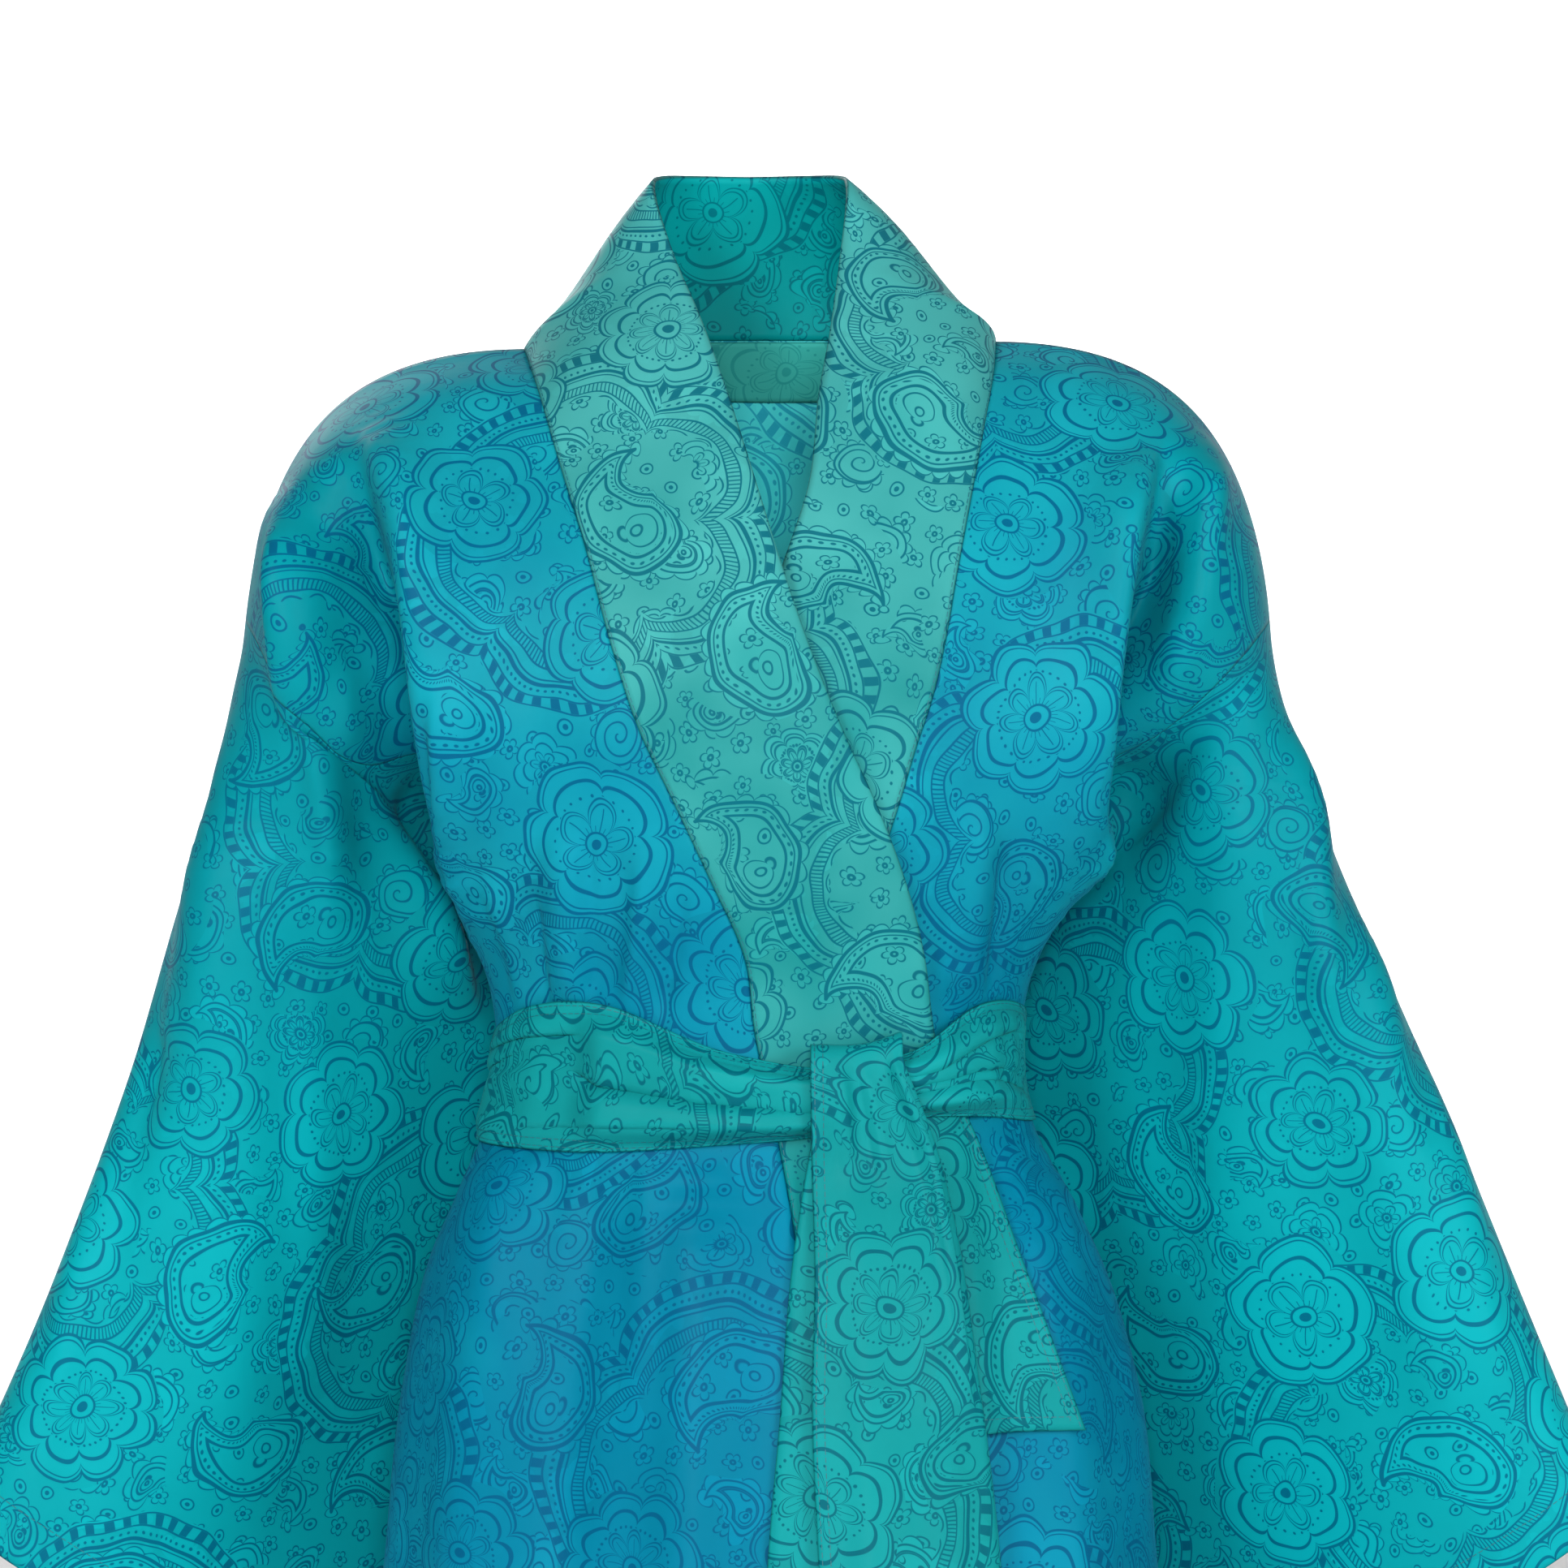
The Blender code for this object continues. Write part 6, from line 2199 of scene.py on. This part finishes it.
@dataclass(frozen=True)
class Sprig:
    """A small flower of five petals, in shares of its reach, or a ringed dot, in millimetres."""

    half_petals: float = 2.5
    petal: Lobes = Lobes(0.46, 0.42)
    core: float = 0.2
    core_pen: float = 1.2
    ring: float = 3.1
    dot: float = 1.2
    flower_from: float = 0.4
    margin: float = 0.5

    def draw(self, p: Place) -> Drawn:
        """Draws the motif.

        Args:
            p: The point's place in it.

        Returns:
            The motif.
        """
        petal = p.past(self.petal.out(abs((p.turn * self.half_petals).cos()) ** SCALLOP))
        bloom = union(line(petal, PEN), line(p.past(self.core), self.core_pen))
        ring = p.r - self.ring
        dot = union(line(ring, PEN), filled(p.r - self.dot))
        chosen = p.picks[1].above(self.flower_from)
        return Drawn(dot.mixed(bloom, chosen), filled(ring.mixed(petal, chosen) - self.margin))


@dataclass(frozen=True)
class Arches:
    """Large lobed outlines with a checkered band, a hatched band and beads. The bands are in millimetres."""

    fewest: int = 4
    spread: float = 2.99
    rounding: float = 0.7
    edge: Lobes = Lobes(0.17, 0.72)
    checks: int = 72
    check_at: float = 4.2
    check_half: float = 2.6
    check_share: float = 0.25
    hatches: int = 230
    hatch_at: float = 16.0
    hatch_half: float = 3.0
    hatch_pen: float = 0.7
    outer_lines: tuple[tuple[float, float], ...] = ((1.2, PEN), (7.2, PEN))
    inner_lines: tuple[tuple[float, float], ...] = (
        (5.4, PEN_MOST), (8.0, HAIRLINE), (13.0, PEN), (19.0, PEN),
    )
    beads: float = 150.0
    bead_at: float = 2.2
    bead: float = 0.8
    fringe_lobes: float = 16.0
    fringe_at: float = 25.0
    fringe_depth: float = 4.0
    band_at: float = 7.0
    band_half: float = 15.5

    def draw(self, p: Place) -> Drawn:
        """Draws the motif.

        Args:
            p: The point's place in it.

        Returns:
            The motif.
        """
        lobes = (p.picks[1] * self.spread).floor() + self.fewest
        edge = p.past(self.edge.out(abs((p.turn * lobes * 0.5).cos()) ** self.rounding))
        round_it = p.r.most(1.0) * TURN
        checks = ((p.turn * (self.checks / TURN)).fraction() - 0.5) * round_it * (1 / self.checks)
        check_band = filled(abs(edge - self.check_at) - self.check_half)
        check_band *= filled(abs(checks) - round_it * (self.check_share / self.checks))
        hatches = ((p.turn * (self.hatches / TURN)).fraction() - 0.5) * round_it * (1 / self.hatches)
        hatch_band = filled(abs(edge + self.hatch_at) - self.hatch_half) * line(hatches, self.hatch_pen)
        lobed = abs((p.turn * self.fringe_lobes).sin()) ** SCALLOP
        ink = union(
            check_band, hatch_band, p.beads(edge + self.bead_at, p.r, self.beads, self.bead),
            *(line(edge - away, pen) for away, pen in self.outer_lines),
            *(line(edge + away, pen) for away, pen in self.inner_lines),
            line(edge + self.fringe_at - lobed * self.fringe_depth, PEN),
        )
        return Drawn(ink, filled(abs(edge + self.band_at) - self.band_half))


WOBBLE_SCALE = 1 / 22
WOBBLE = (6.0, 6.0, 0.0)
FLOWER_FROM = 0.52
VOLUTE_FROM = 0.72
SPRIG_TONE = 0.4


def cloth_print(graph: Graph, cloth: bpy.types.NodeSocket) -> tuple[Value, Value]:
    """The print over the cloth, in millimetres of the cloth's flat map.

    Args:
        graph: The graph to draw in.
        cloth: The point's place on the flat map.

    Returns:
        The ink from 0 to 1, and a tone from 0 to 1 that differs from motif to motif.
    """
    wobble = graph.noise(cloth, WOBBLE_SCALE, 0.0, True)["Color"]
    inputs = {0: wobble, 1: WOBBLE, 2: cloth}
    drawn = graph.node("ShaderNodeVectorMath", {"operation": "MULTIPLY_ADD"}, inputs)
    x, y, _ = graph.parts(drawn.outputs[0])
    small, middle, large, huge = (scatter.place(graph, x, y) for scatter in SCATTERS)
    top = (large.r - large.reach).below(0.0)
    lower, upper = ((p.x, p.y, p.reach, *p.picks) for p in (middle, large))
    near_x, near_y, near_reach, *picks = (low.mixed(high, top) for low, high in zip(lower, upper))
    near = Place(graph, near_x, near_y, near_reach, tuple(picks))
    drawn_near = Paisley().draw(near).over(Flower().draw(near), near.picks[1].above(FLOWER_FROM))
    drawn_near = drawn_near.over(Volute().draw(near), near.picks[1].above(VOLUTE_FROM) * (1 - top))
    back, far = Sprig().draw(small), Arches().draw(huge)
    small_ink = back.ink * back.cover
    near_ink = drawn_near.ink.most(drawn_near.field * small_ink)
    ink = small_ink.mixed(near_ink, drawn_near.cover * (1 - top))
    ink = ink.mixed(far.ink, far.cover).mixed(near_ink, drawn_near.cover * top)
    tone = (drawn_near.cover * near.picks[0]).most(back.cover * SPRIG_TONE)
    return ink, tone


def new_material(name: str) -> tuple[bpy.types.Material, Graph, bpy.types.Node]:
    """Makes a material.

    Args:
        name: Its name.

    Returns:
        The new material, the graph of its nodes, and its shader.
    """
    material = bpy.data.materials.new(name)
    material.use_nodes = True
    return material, Graph(material.node_tree), material.node_tree.nodes["Principled BSDF"]


def print_group() -> bpy.types.NodeTree:
    """The print as a group of nodes that every cloth shares.

    Returns:
        The group.
    """
    tree = bpy.data.node_groups.new("cloth_print", "ShaderNodeTree")
    tree.interface.new_socket("Cloth", in_out="INPUT", socket_type="NodeSocketVector")
    for name in ("Ink", "Tone"):
        tree.interface.new_socket(name, in_out="OUTPUT", socket_type="NodeSocketFloat")
    graph = Graph(tree)
    given = graph.node("NodeGroupInput", {}, {})
    ink, tone = cloth_print(graph, given.outputs["Cloth"])
    graph.node("NodeGroupOutput", {}, {0: ink, 1: tone})
    return tree


@dataclass(frozen=True)
class Screen:
    """A colour by its screen values, 0 to 255."""

    red: int
    green: int
    blue: int

    def linear(self) -> tuple[float, ...]:
        """The colour in linear light, with a fourth value of 1."""
        parts = [value / 255 for value in astuple(self)]
        return (*(p / 12.92 if p <= 0.04045 else ((p + 0.055) / 1.055) ** 2.4 for p in parts), 1.0)


@dataclass(frozen=True)
class ClothFinish:
    """A cloth's colours, from its high places to its low ones, with a darker colour painted as shade at the
    sides beside the sleeves, and how it takes the light.
    """

    name: str
    high: Screen
    low: Screen
    ink: Screen
    # Painted shade: the darker colour of the sides, in the hollows beside the sleeves
    side: Screen
    high_z: float = -0.02
    low_z: float = -0.42
    inked: float = 0.9
    roughness: float = 0.46
    specular: float = 0.05
    sheen: float = 0.01
    sheen_roughness: float = 0.4


@dataclass(frozen=True)
class Dye:
    """How a printed satin is coloured and woven, with painted shade at the sides beside the sleeves and along
    every seam and edge. The weave's sizes are in millimetres, the rest in metres.
    """

    millimetres: float = 1000.0
    cloud_scale: float = 13.0
    cloud_detail: float = 2.0
    cloud_depth: float = 0.3
    patches: float = 1.5
    # Where the painted shade at the sides lies: how far across, and from the waist up
    side_shade_x: tuple[float, float] = (0.155, 0.215)
    side_shade_z: tuple[float, float] = (-0.40, -0.28)
    tone_depth: float = 0.16
    # Painted shade along every seam and edge: how wide it is, and how much of the colour stays
    seam_shade_width: float = 0.0009
    seam_shade: float = 0.45
    weave_pitch: float = 0.7
    weave_share: float = 0.15
    slub_scale: float = 0.22
    slub_detail: float = 1.0
    bump: float = 0.16
    bump_height: float = 0.0003

    def material(self, finish: ClothFinish, prints: bpy.types.NodeTree) -> bpy.types.Material:
        """Makes a cloth's material.

        Args:
            finish: Its colours and how it takes the light.
            prints: The group of nodes that draws the print.

        Returns:
            The new material.
        """
        material, graph, shader = new_material(finish.name)
        place = graph.node("ShaderNodeTexCoord", {}, {}).outputs["Object"]
        across, _, height = graph.parts(place)
        flat = graph.node("ShaderNodeUVMap", {"uv_map": "cloth"}, {}).outputs[0]
        flat = graph.scaled(flat, self.millimetres)
        printed = graph.node("ShaderNodeGroup", {"node_tree": prints}, {0: flat})
        ink, tone = (Value(graph, socket) for socket in printed.outputs)
        patch = Value(graph, graph.noise(place, self.cloud_scale, self.cloud_detail, False)[0]) - 0.5
        light = patch * self.cloud_depth + (tone * self.tone_depth + 1)
        edge = Value(graph, graph.node("ShaderNodeAttribute", {"attribute_name": "edge"}, {}).outputs["Fac"])
        # Painted shade: the colour darkens within the seam width of every seam and edge of the cloth
        seam = edge.rise(0.0, self.seam_shade_width) * self.seam_shade + (1 - self.seam_shade)
        share = height.rise(finish.low_z, finish.high_z) + patch * self.patches
        base = graph.blend(share, finish.low.linear(), finish.high.linear())
        # Painted shade: the sides above the waist, in the hollows beside the sleeves, take the darker side
        # colour
        sides = abs(across).rise(*self.side_shade_x) * height.rise(*self.side_shade_z)
        base = graph.scaled(graph.blend(sides, base, finish.side.linear()), light)
        colour = graph.scaled(graph.blend(ink * finish.inked, base, finish.ink.linear()), seam)
        material.node_tree.links.new(colour, shader.inputs["Base Color"])
        material.node_tree.links.new(self.woven(graph, flat), shader.inputs["Normal"])
        shader.inputs["Roughness"].default_value = finish.roughness
        shader.inputs["Specular IOR Level"].default_value = finish.specular
        shader.inputs["Sheen Weight"].default_value = finish.sheen
        shader.inputs["Sheen Roughness"].default_value = finish.sheen_roughness
        return material

    def woven(self, graph: Graph, flat: bpy.types.NodeSocket) -> bpy.types.NodeSocket:
        """The normal of a fine weave with slightly uneven threads.

        Args:
            graph: The material's graph.
            flat: The cloth's flat map in millimetres.

        Returns:
            The normal.
        """
        u, v, _ = graph.parts(flat)
        threads = (u * (TURN / self.weave_pitch)).sin() * (v * (TURN / self.weave_pitch)).sin()
        slub = Value(graph, graph.noise(flat, self.slub_scale, self.slub_detail, True)[0])
        raised = threads * self.weave_share + slub
        inputs = {"Strength": self.bump, "Distance": self.bump_height, "Height": raised}
        return graph.node("ShaderNodeBump", {}, inputs).outputs[0]


DYE = Dye()

# Each finish's last colour is the painted shade at the sides beside the sleeves
FINISHES = (
    ClothFinish("body_cloth", Screen(16, 144, 158), Screen(0, 118, 147), Screen(0, 84, 122),
                Screen(2, 134, 145)),
    # Painted light: the inside of the body is coloured far lighter than its outside, standing in for the light
    # that reaches the robe's inside
    ClothFinish("body_inside", Screen(90, 252, 255), Screen(60, 246, 252), Screen(0, 158, 200),
                Screen(2, 112, 140), inked=0.7, low_z=-0.25),
    ClothFinish("sleeve_cloth", Screen(2, 134, 145), Screen(4, 156, 164), Screen(0, 92, 122),
                Screen(2, 134, 145)),
    ClothFinish("band_cloth", Screen(66, 160, 158), Screen(8, 130, 131), Screen(0, 92, 110),
                Screen(54, 148, 148)),
    ClothFinish("band_inside", Screen(4, 156, 158), Screen(4, 140, 146), Screen(0, 112, 126),
                Screen(4, 156, 158)),
    ClothFinish("facing_cloth", Screen(62, 184, 174), Screen(62, 184, 174), Screen(30, 150, 150),
                Screen(62, 184, 174), inked=0.6),
    ClothFinish("sash_cloth", Screen(14, 140, 141), Screen(14, 138, 140), Screen(0, 90, 106),
                Screen(12, 136, 137)),
)


@dataclass(frozen=True)
class Rows:
    """Rows of stitches: the cloth they are in, the border they follow and how far each is from it."""

    cloth: str
    border: Border
    distances: tuple[float, ...]


EDGE_PAIR = (0.0020, 0.0060)
CUFF_HEM = (0.025,)
SKIRT_HEM = (0.020,)

ROWS = {
    "band_cloth": (Rows("neckband_cloth", Border.FIRST_COLUMN, (0.0014,)),),
    "sleeve_cloth": (
        Rows("sleeve_right_cloth", Border.LAST_ROW, CUFF_HEM),
        Rows("sleeve_left_cloth", Border.LAST_ROW, CUFF_HEM),
    ),
    "body_cloth": (
        Rows("front_outer_cloth", Border.FIRST_ROW, SKIRT_HEM),
        Rows("front_inner_cloth", Border.FIRST_ROW, SKIRT_HEM),
        Rows("back_cloth", Border.FIRST_ROW, SKIRT_HEM),
    ),
    "sash_cloth": (
        Rows("sash_wrap_cloth", Border.FIRST_ROW, EDGE_PAIR),
        Rows("sash_wrap_cloth", Border.LAST_ROW, EDGE_PAIR),
        Rows("sash_long_end", Border.FIRST_COLUMN, EDGE_PAIR),
        Rows("sash_long_end", Border.LAST_ROW, (0.0080,)),
        Rows("sash_short_end", Border.LAST_COLUMN, EDGE_PAIR),
        Rows("sash_short_end", Border.LAST_ROW, (0.0070,)),
    ),
}


Seam = tuple[Array, Array]


@dataclass(frozen=True)
class Thread:
    """The sewing thread and how long its stitches are."""

    length: float = 0.0026
    gap: float = 0.0012
    width: float = 0.00042
    height: float = 0.00026
    # The thread's dark colour is partly its own and partly painted shade along the stitch lines
    colour: Screen = Screen(6, 104, 116)
    shade_scale: float = 90.0
    shade_detail: float = 1.0
    shade_from: float = 0.7
    shade_span: float = 0.6
    roughness: float = 0.55

    def material(self) -> bpy.types.Material:
        """The thread's material, a little uneven in its shade.

        Returns:
            The new material.
        """
        material, graph, shader = new_material("thread")
        place = graph.node("ShaderNodeTexCoord", {}, {}).outputs["Object"]
        noise = Value(graph, graph.noise(place, self.shade_scale, self.shade_detail, False)[0])
        colour = graph.scaled(self.colour.linear()[:3], noise * self.shade_span + self.shade_from)
        material.node_tree.links.new(colour, shader.inputs["Base Color"])
        shader.inputs["Roughness"].default_value = self.roughness
        return material

    def places(self, points: Array, normals: Array) -> Iterator[Matrix]:
        """Where each stitch of a row lies, as the matrix of a unit cube.

        Args:
            points: The row's points.
            normals: Their normals.

        Returns:
            Each stitch's matrix.
        """
        lengths = lengths_of(points)
        tangents = unit(np.gradient(points, lengths, axis=0))
        for middle in np.arange(self.length, lengths[-1] - self.length, self.length + self.gap):
            point, along_it, out = (straight_along(lengths, a, middle) for a in (points, tangents, normals))
            along_it = unit(along_it)
            side = unit(np.cross(out, along_it))
            out = np.cross(along_it, side)
            axes = np.stack([along_it * self.length, side * self.width, out * self.height, point], 1)
            yield Matrix([*axes.tolist(), [0, 0, 0, 1]])

    def sew(self, name: str, lines: Sequence[Seam], material: bpy.types.Material) -> bpy.types.Object:
        """Makes some rows of stitches.

        Args:
            name: The piece's name.
            lines: The rows' points and normals.
            material: The thread's material.

        Returns:
            The new object.
        """
        shape = bmesh.new()
        for points, normals in lines:
            for matrix in self.places(points, normals):
                bmesh.ops.create_cube(shape, size=1, matrix=matrix)
        mesh = mesh_of(name, shape)
        mesh.materials.append(material)
        return linked(name, mesh)


BACK_THINNING = 2


def thinned(cloth: Cloth, step: int) -> Cloth:
    """The cloth with only some of its columns, for a net that is finer than its mesh has to be.

    Args:
        cloth: The cloth.
        step: Which columns stay: each so many.

    Returns:
        The thinner cloth.
    """
    thin = Cloth(cloth.name, cloth.net[:, ::step], cloth.outward, cloth.thickness, cloth.up)
    thin.normals = cloth.normals[:, ::step]
    return thin


@dataclass(frozen=True)
class Piece:
    """How a piece of cloth is cut, held and finished."""

    nodes: tuple[str, ...]
    slot: str
    inside: str
    strip: bool
    held: str
    rests_on: tuple[str, ...]
    offset: tuple[float, float]


BACK_NODES = ("back_upper_right", "back_upper_left", "back_skirt_right", "back_skirt_left")
OUTER_NODES = ("front_outer_upper", "front_outer_skirt")
INNER_NODES = ("front_inner_upper", "front_inner_skirt")
RIGHT_NODES = ("sleeve_right_upper", "sleeve_right_lower")
LEFT_NODES = ("sleeve_left_upper", "sleeve_left_lower")
BAND_NODES = ("neckband_right", "neckband_neck", "neckband_left")
BODY, SLEEVE, BAND = "body_cloth", "sleeve_cloth", "band_cloth"
FACING, SASH_SLOT = "facing_cloth", "sash_cloth"
IN_BODY, IN_BAND = "body_inside", "band_inside"
OUTER = ("front_outer_cloth",)

PIECES = {
    "front_outer_cloth": Piece(OUTER_NODES, BODY, IN_BODY, False, "hung", (), (0.0, 0.0)),
    "front_inner_cloth": Piece(INNER_NODES, BODY, IN_BODY, False, "hung", (), (0.83, 0.11)),
    "back_cloth": Piece(BACK_NODES, BODY, IN_BODY, False, "hung", (), (0.41, 1.27)),
    "sleeve_right_cloth": Piece(RIGHT_NODES, SLEEVE, SLEEVE, False, "hung", (), (1.63, 0.2)),
    "sleeve_left_cloth": Piece(LEFT_NODES, SLEEVE, SLEEVE, False, "hung", (), (2.45, 0.31)),
    "neckband_cloth": Piece(BAND_NODES, BAND, IN_BAND, True, "hung", (), (3.1, 0.4)),
    "neck_facing_cloth": Piece(("neck_facing",), FACING, FACING, True, "laid", ("back_cloth",), (3.5, 0.2)),
    "sash_wrap_cloth": Piece(("sash_wrap",), SASH_SLOT, SASH_SLOT, True, "draped", OUTER, (3.9, 0.6)),
    "sash_short_end": Piece(("sash_tail_short",), SASH_SLOT, SASH_SLOT, True, "hung", (), (4.4, 0.7)),
    "sash_long_end": Piece(("sash_tail_long",), SASH_SLOT, SASH_SLOT, True, "hung", (), (4.8, 0.1)),
}


@dataclass(frozen=True)
class Lamp:
    """A soft square light: its place, its size, its power and the place that it faces."""

    name: str
    place: tuple[float, float, float]
    size: float
    power: float
    facing: tuple[float, float, float] = (0.0, 0.0, -0.35)

    def hang(self) -> None:
        """Makes the light."""
        data = bpy.data.lights.new(self.name, "AREA")
        data.size = self.size
        data.energy = self.power
        thing = linked(self.name, data)
        thing.location = self.place
        thing.rotation_euler = (Vector(self.facing) - Vector(self.place)).to_track_quat("-Z", "Y").to_euler()


LAMPS = (
    Lamp("light_left", (-1.7, -3.0, 1.3), 1.0, 58),
    Lamp("light_front", (0.1, -3.6, 0.3), 0.8, 54, (0.0, 0.0, -0.2)),
    Lamp("light_right", (2.5, -2.5, 0.4), 1.4, 46),
    Lamp("light_back", (-1.4, 3.4, 1.7), 1.6, 36),
    Lamp("light_wall", (0.0, 4.8, 1.8), 2.0, 260, (0.0, 8.2, 1.0)),
)


@dataclass(frozen=True)
class Studio:
    """The floor, the backdrop, the lights and the camera."""

    camera_place: tuple[float, float, float] = (0.0127, -3.0, -0.2157)
    lens: float = 136.35
    sensor: float = 36.0
    floor_drop: float = 0.004
    reach: float = 8.0
    turn_radius: float = 1.2
    turn_steps: int = 16
    behind: float = 7.0
    close: float = 0.001
    pale: float = 0.9
    world_light: float = 0.24

    def backdrop(self) -> None:
        """A pale floor that turns up into a pale wall."""
        low = CAD_BOX[0][2] - self.floor_drop
        shape = bmesh.new()
        bmesh.ops.create_grid(shape, x_segments=1, y_segments=1, size=self.reach)
        bmesh.ops.translate(shape, verts=shape.verts, vec=(0, self.behind - self.reach, low))
        far = [e for e in shape.edges if all(v.co.y > self.behind - self.close for v in e.verts)]
        bmesh.ops.spin(shape, geom=far, cent=(0, self.behind, low + self.turn_radius), axis=(1, 0, 0),
                       angle=math.pi / 2, steps=self.turn_steps)
        top = max(v.co.z for v in shape.verts)
        edge = [e for e in shape.edges if all(v.co.z > top - self.close for v in e.verts)]
        made = bmesh.ops.extrude_edge_only(shape, edges=edge)
        raised = [v for v in made["geom"] if isinstance(v, bmesh.types.BMVert)]
        bmesh.ops.translate(shape, verts=raised, vec=(0, 0, self.reach))
        bmesh.ops.recalc_face_normals(shape, faces=shape.faces)
        mesh = mesh_of("floor", shape)
        mesh.shade_smooth()
        floor = linked("floor", mesh)
        material, _, shader = new_material("pale_floor")
        shader.inputs["Base Color"].default_value = (self.pale, self.pale, self.pale, 1)
        shader.inputs["Roughness"].default_value = self.pale
        mesh.materials.append(material)

    def camera(self) -> None:
        """The camera, level and square to the front."""
        data = bpy.data.cameras.new("camera")
        data.lens = self.lens
        data.sensor_width = self.sensor
        thing = linked("camera", data)
        thing.location = self.camera_place
        thing.rotation_euler = (math.pi / 2, 0, 0)
        bpy.context.scene.camera = thing

    def set_up(self) -> None:
        """Builds the whole studio."""
        self.backdrop()
        self.camera()
        for lamp in LAMPS:
            lamp.hang()
        world = bpy.data.worlds.new("studio")
        world.use_nodes = True
        background = world.node_tree.nodes["Background"]
        background.inputs["Color"].default_value = (1, 1, 1, 1)
        background.inputs["Strength"].default_value = self.world_light
        bpy.context.scene.world = world
        bpy.context.scene.view_settings.view_transform = "Standard"


def main() -> None:
    """Builds every piece in order and reports it."""
    logging.basicConfig(level=logging.INFO, format="%(message)s")
    robe = Robe()
    sewn = robe.sewn()
    sewn["neck_facing_cloth"] = robe.facing(sewn["back_cloth"])
    worn = [cloth for name, cloth in sewn.items() if not name.startswith("sleeve")]
    sash = Sash()
    short = sash.short(surface_of(worn))
    hook, behind = sash.hook(surface_of(worn))
    trial = Cloth("hook", hook, 1, sash.cloth)
    wrap = sash.wrap(surface_of([*worn, short, trial]))
    long_end = sash.long(surface_of([*worn, short, wrap]), hook, behind)
    sewn["back_cloth"] = thinned(sewn["back_cloth"], BACK_THINNING)
    prints = print_group()
    materials = {finish.name: DYE.material(finish, prints) for finish in FINISHES}
    cloths = {cloth.name: cloth for cloth in (*sewn.values(), wrap, short, long_end)}
    for cloth in cloths.values():
        piece = PIECES[cloth.name]
        cloth.map = cloth.strip_map() if piece.strip else cloth.panel_map()
        names = dict.fromkeys((piece.slot, piece.inside))
        thing = cloth.build([materials[name] for name in names], piece.offset)
        cut = cloth.cut()
        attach(thing, ROOT)
        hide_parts(*piece.nodes)
        log.info("%s: %.3f by %.3f m flat, %.3f square metres", cloth.name, cut.width, cut.length, cut.area)
    thread = Thread()
    spun = thread.material()
    for slot, rows in ROWS.items():
        lines = [cloths[row.cloth].inset(row.border, away) for row in rows for away in row.distances]
        stitches = thread.sew(f"stitches_{slot}", lines, spun)
        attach(stitches, ROOT)
        log.info("%s: %d faces", stitches.name, len(stitches.data.polygons))
    Studio().set_up()


if __name__ == "__main__":
    main()
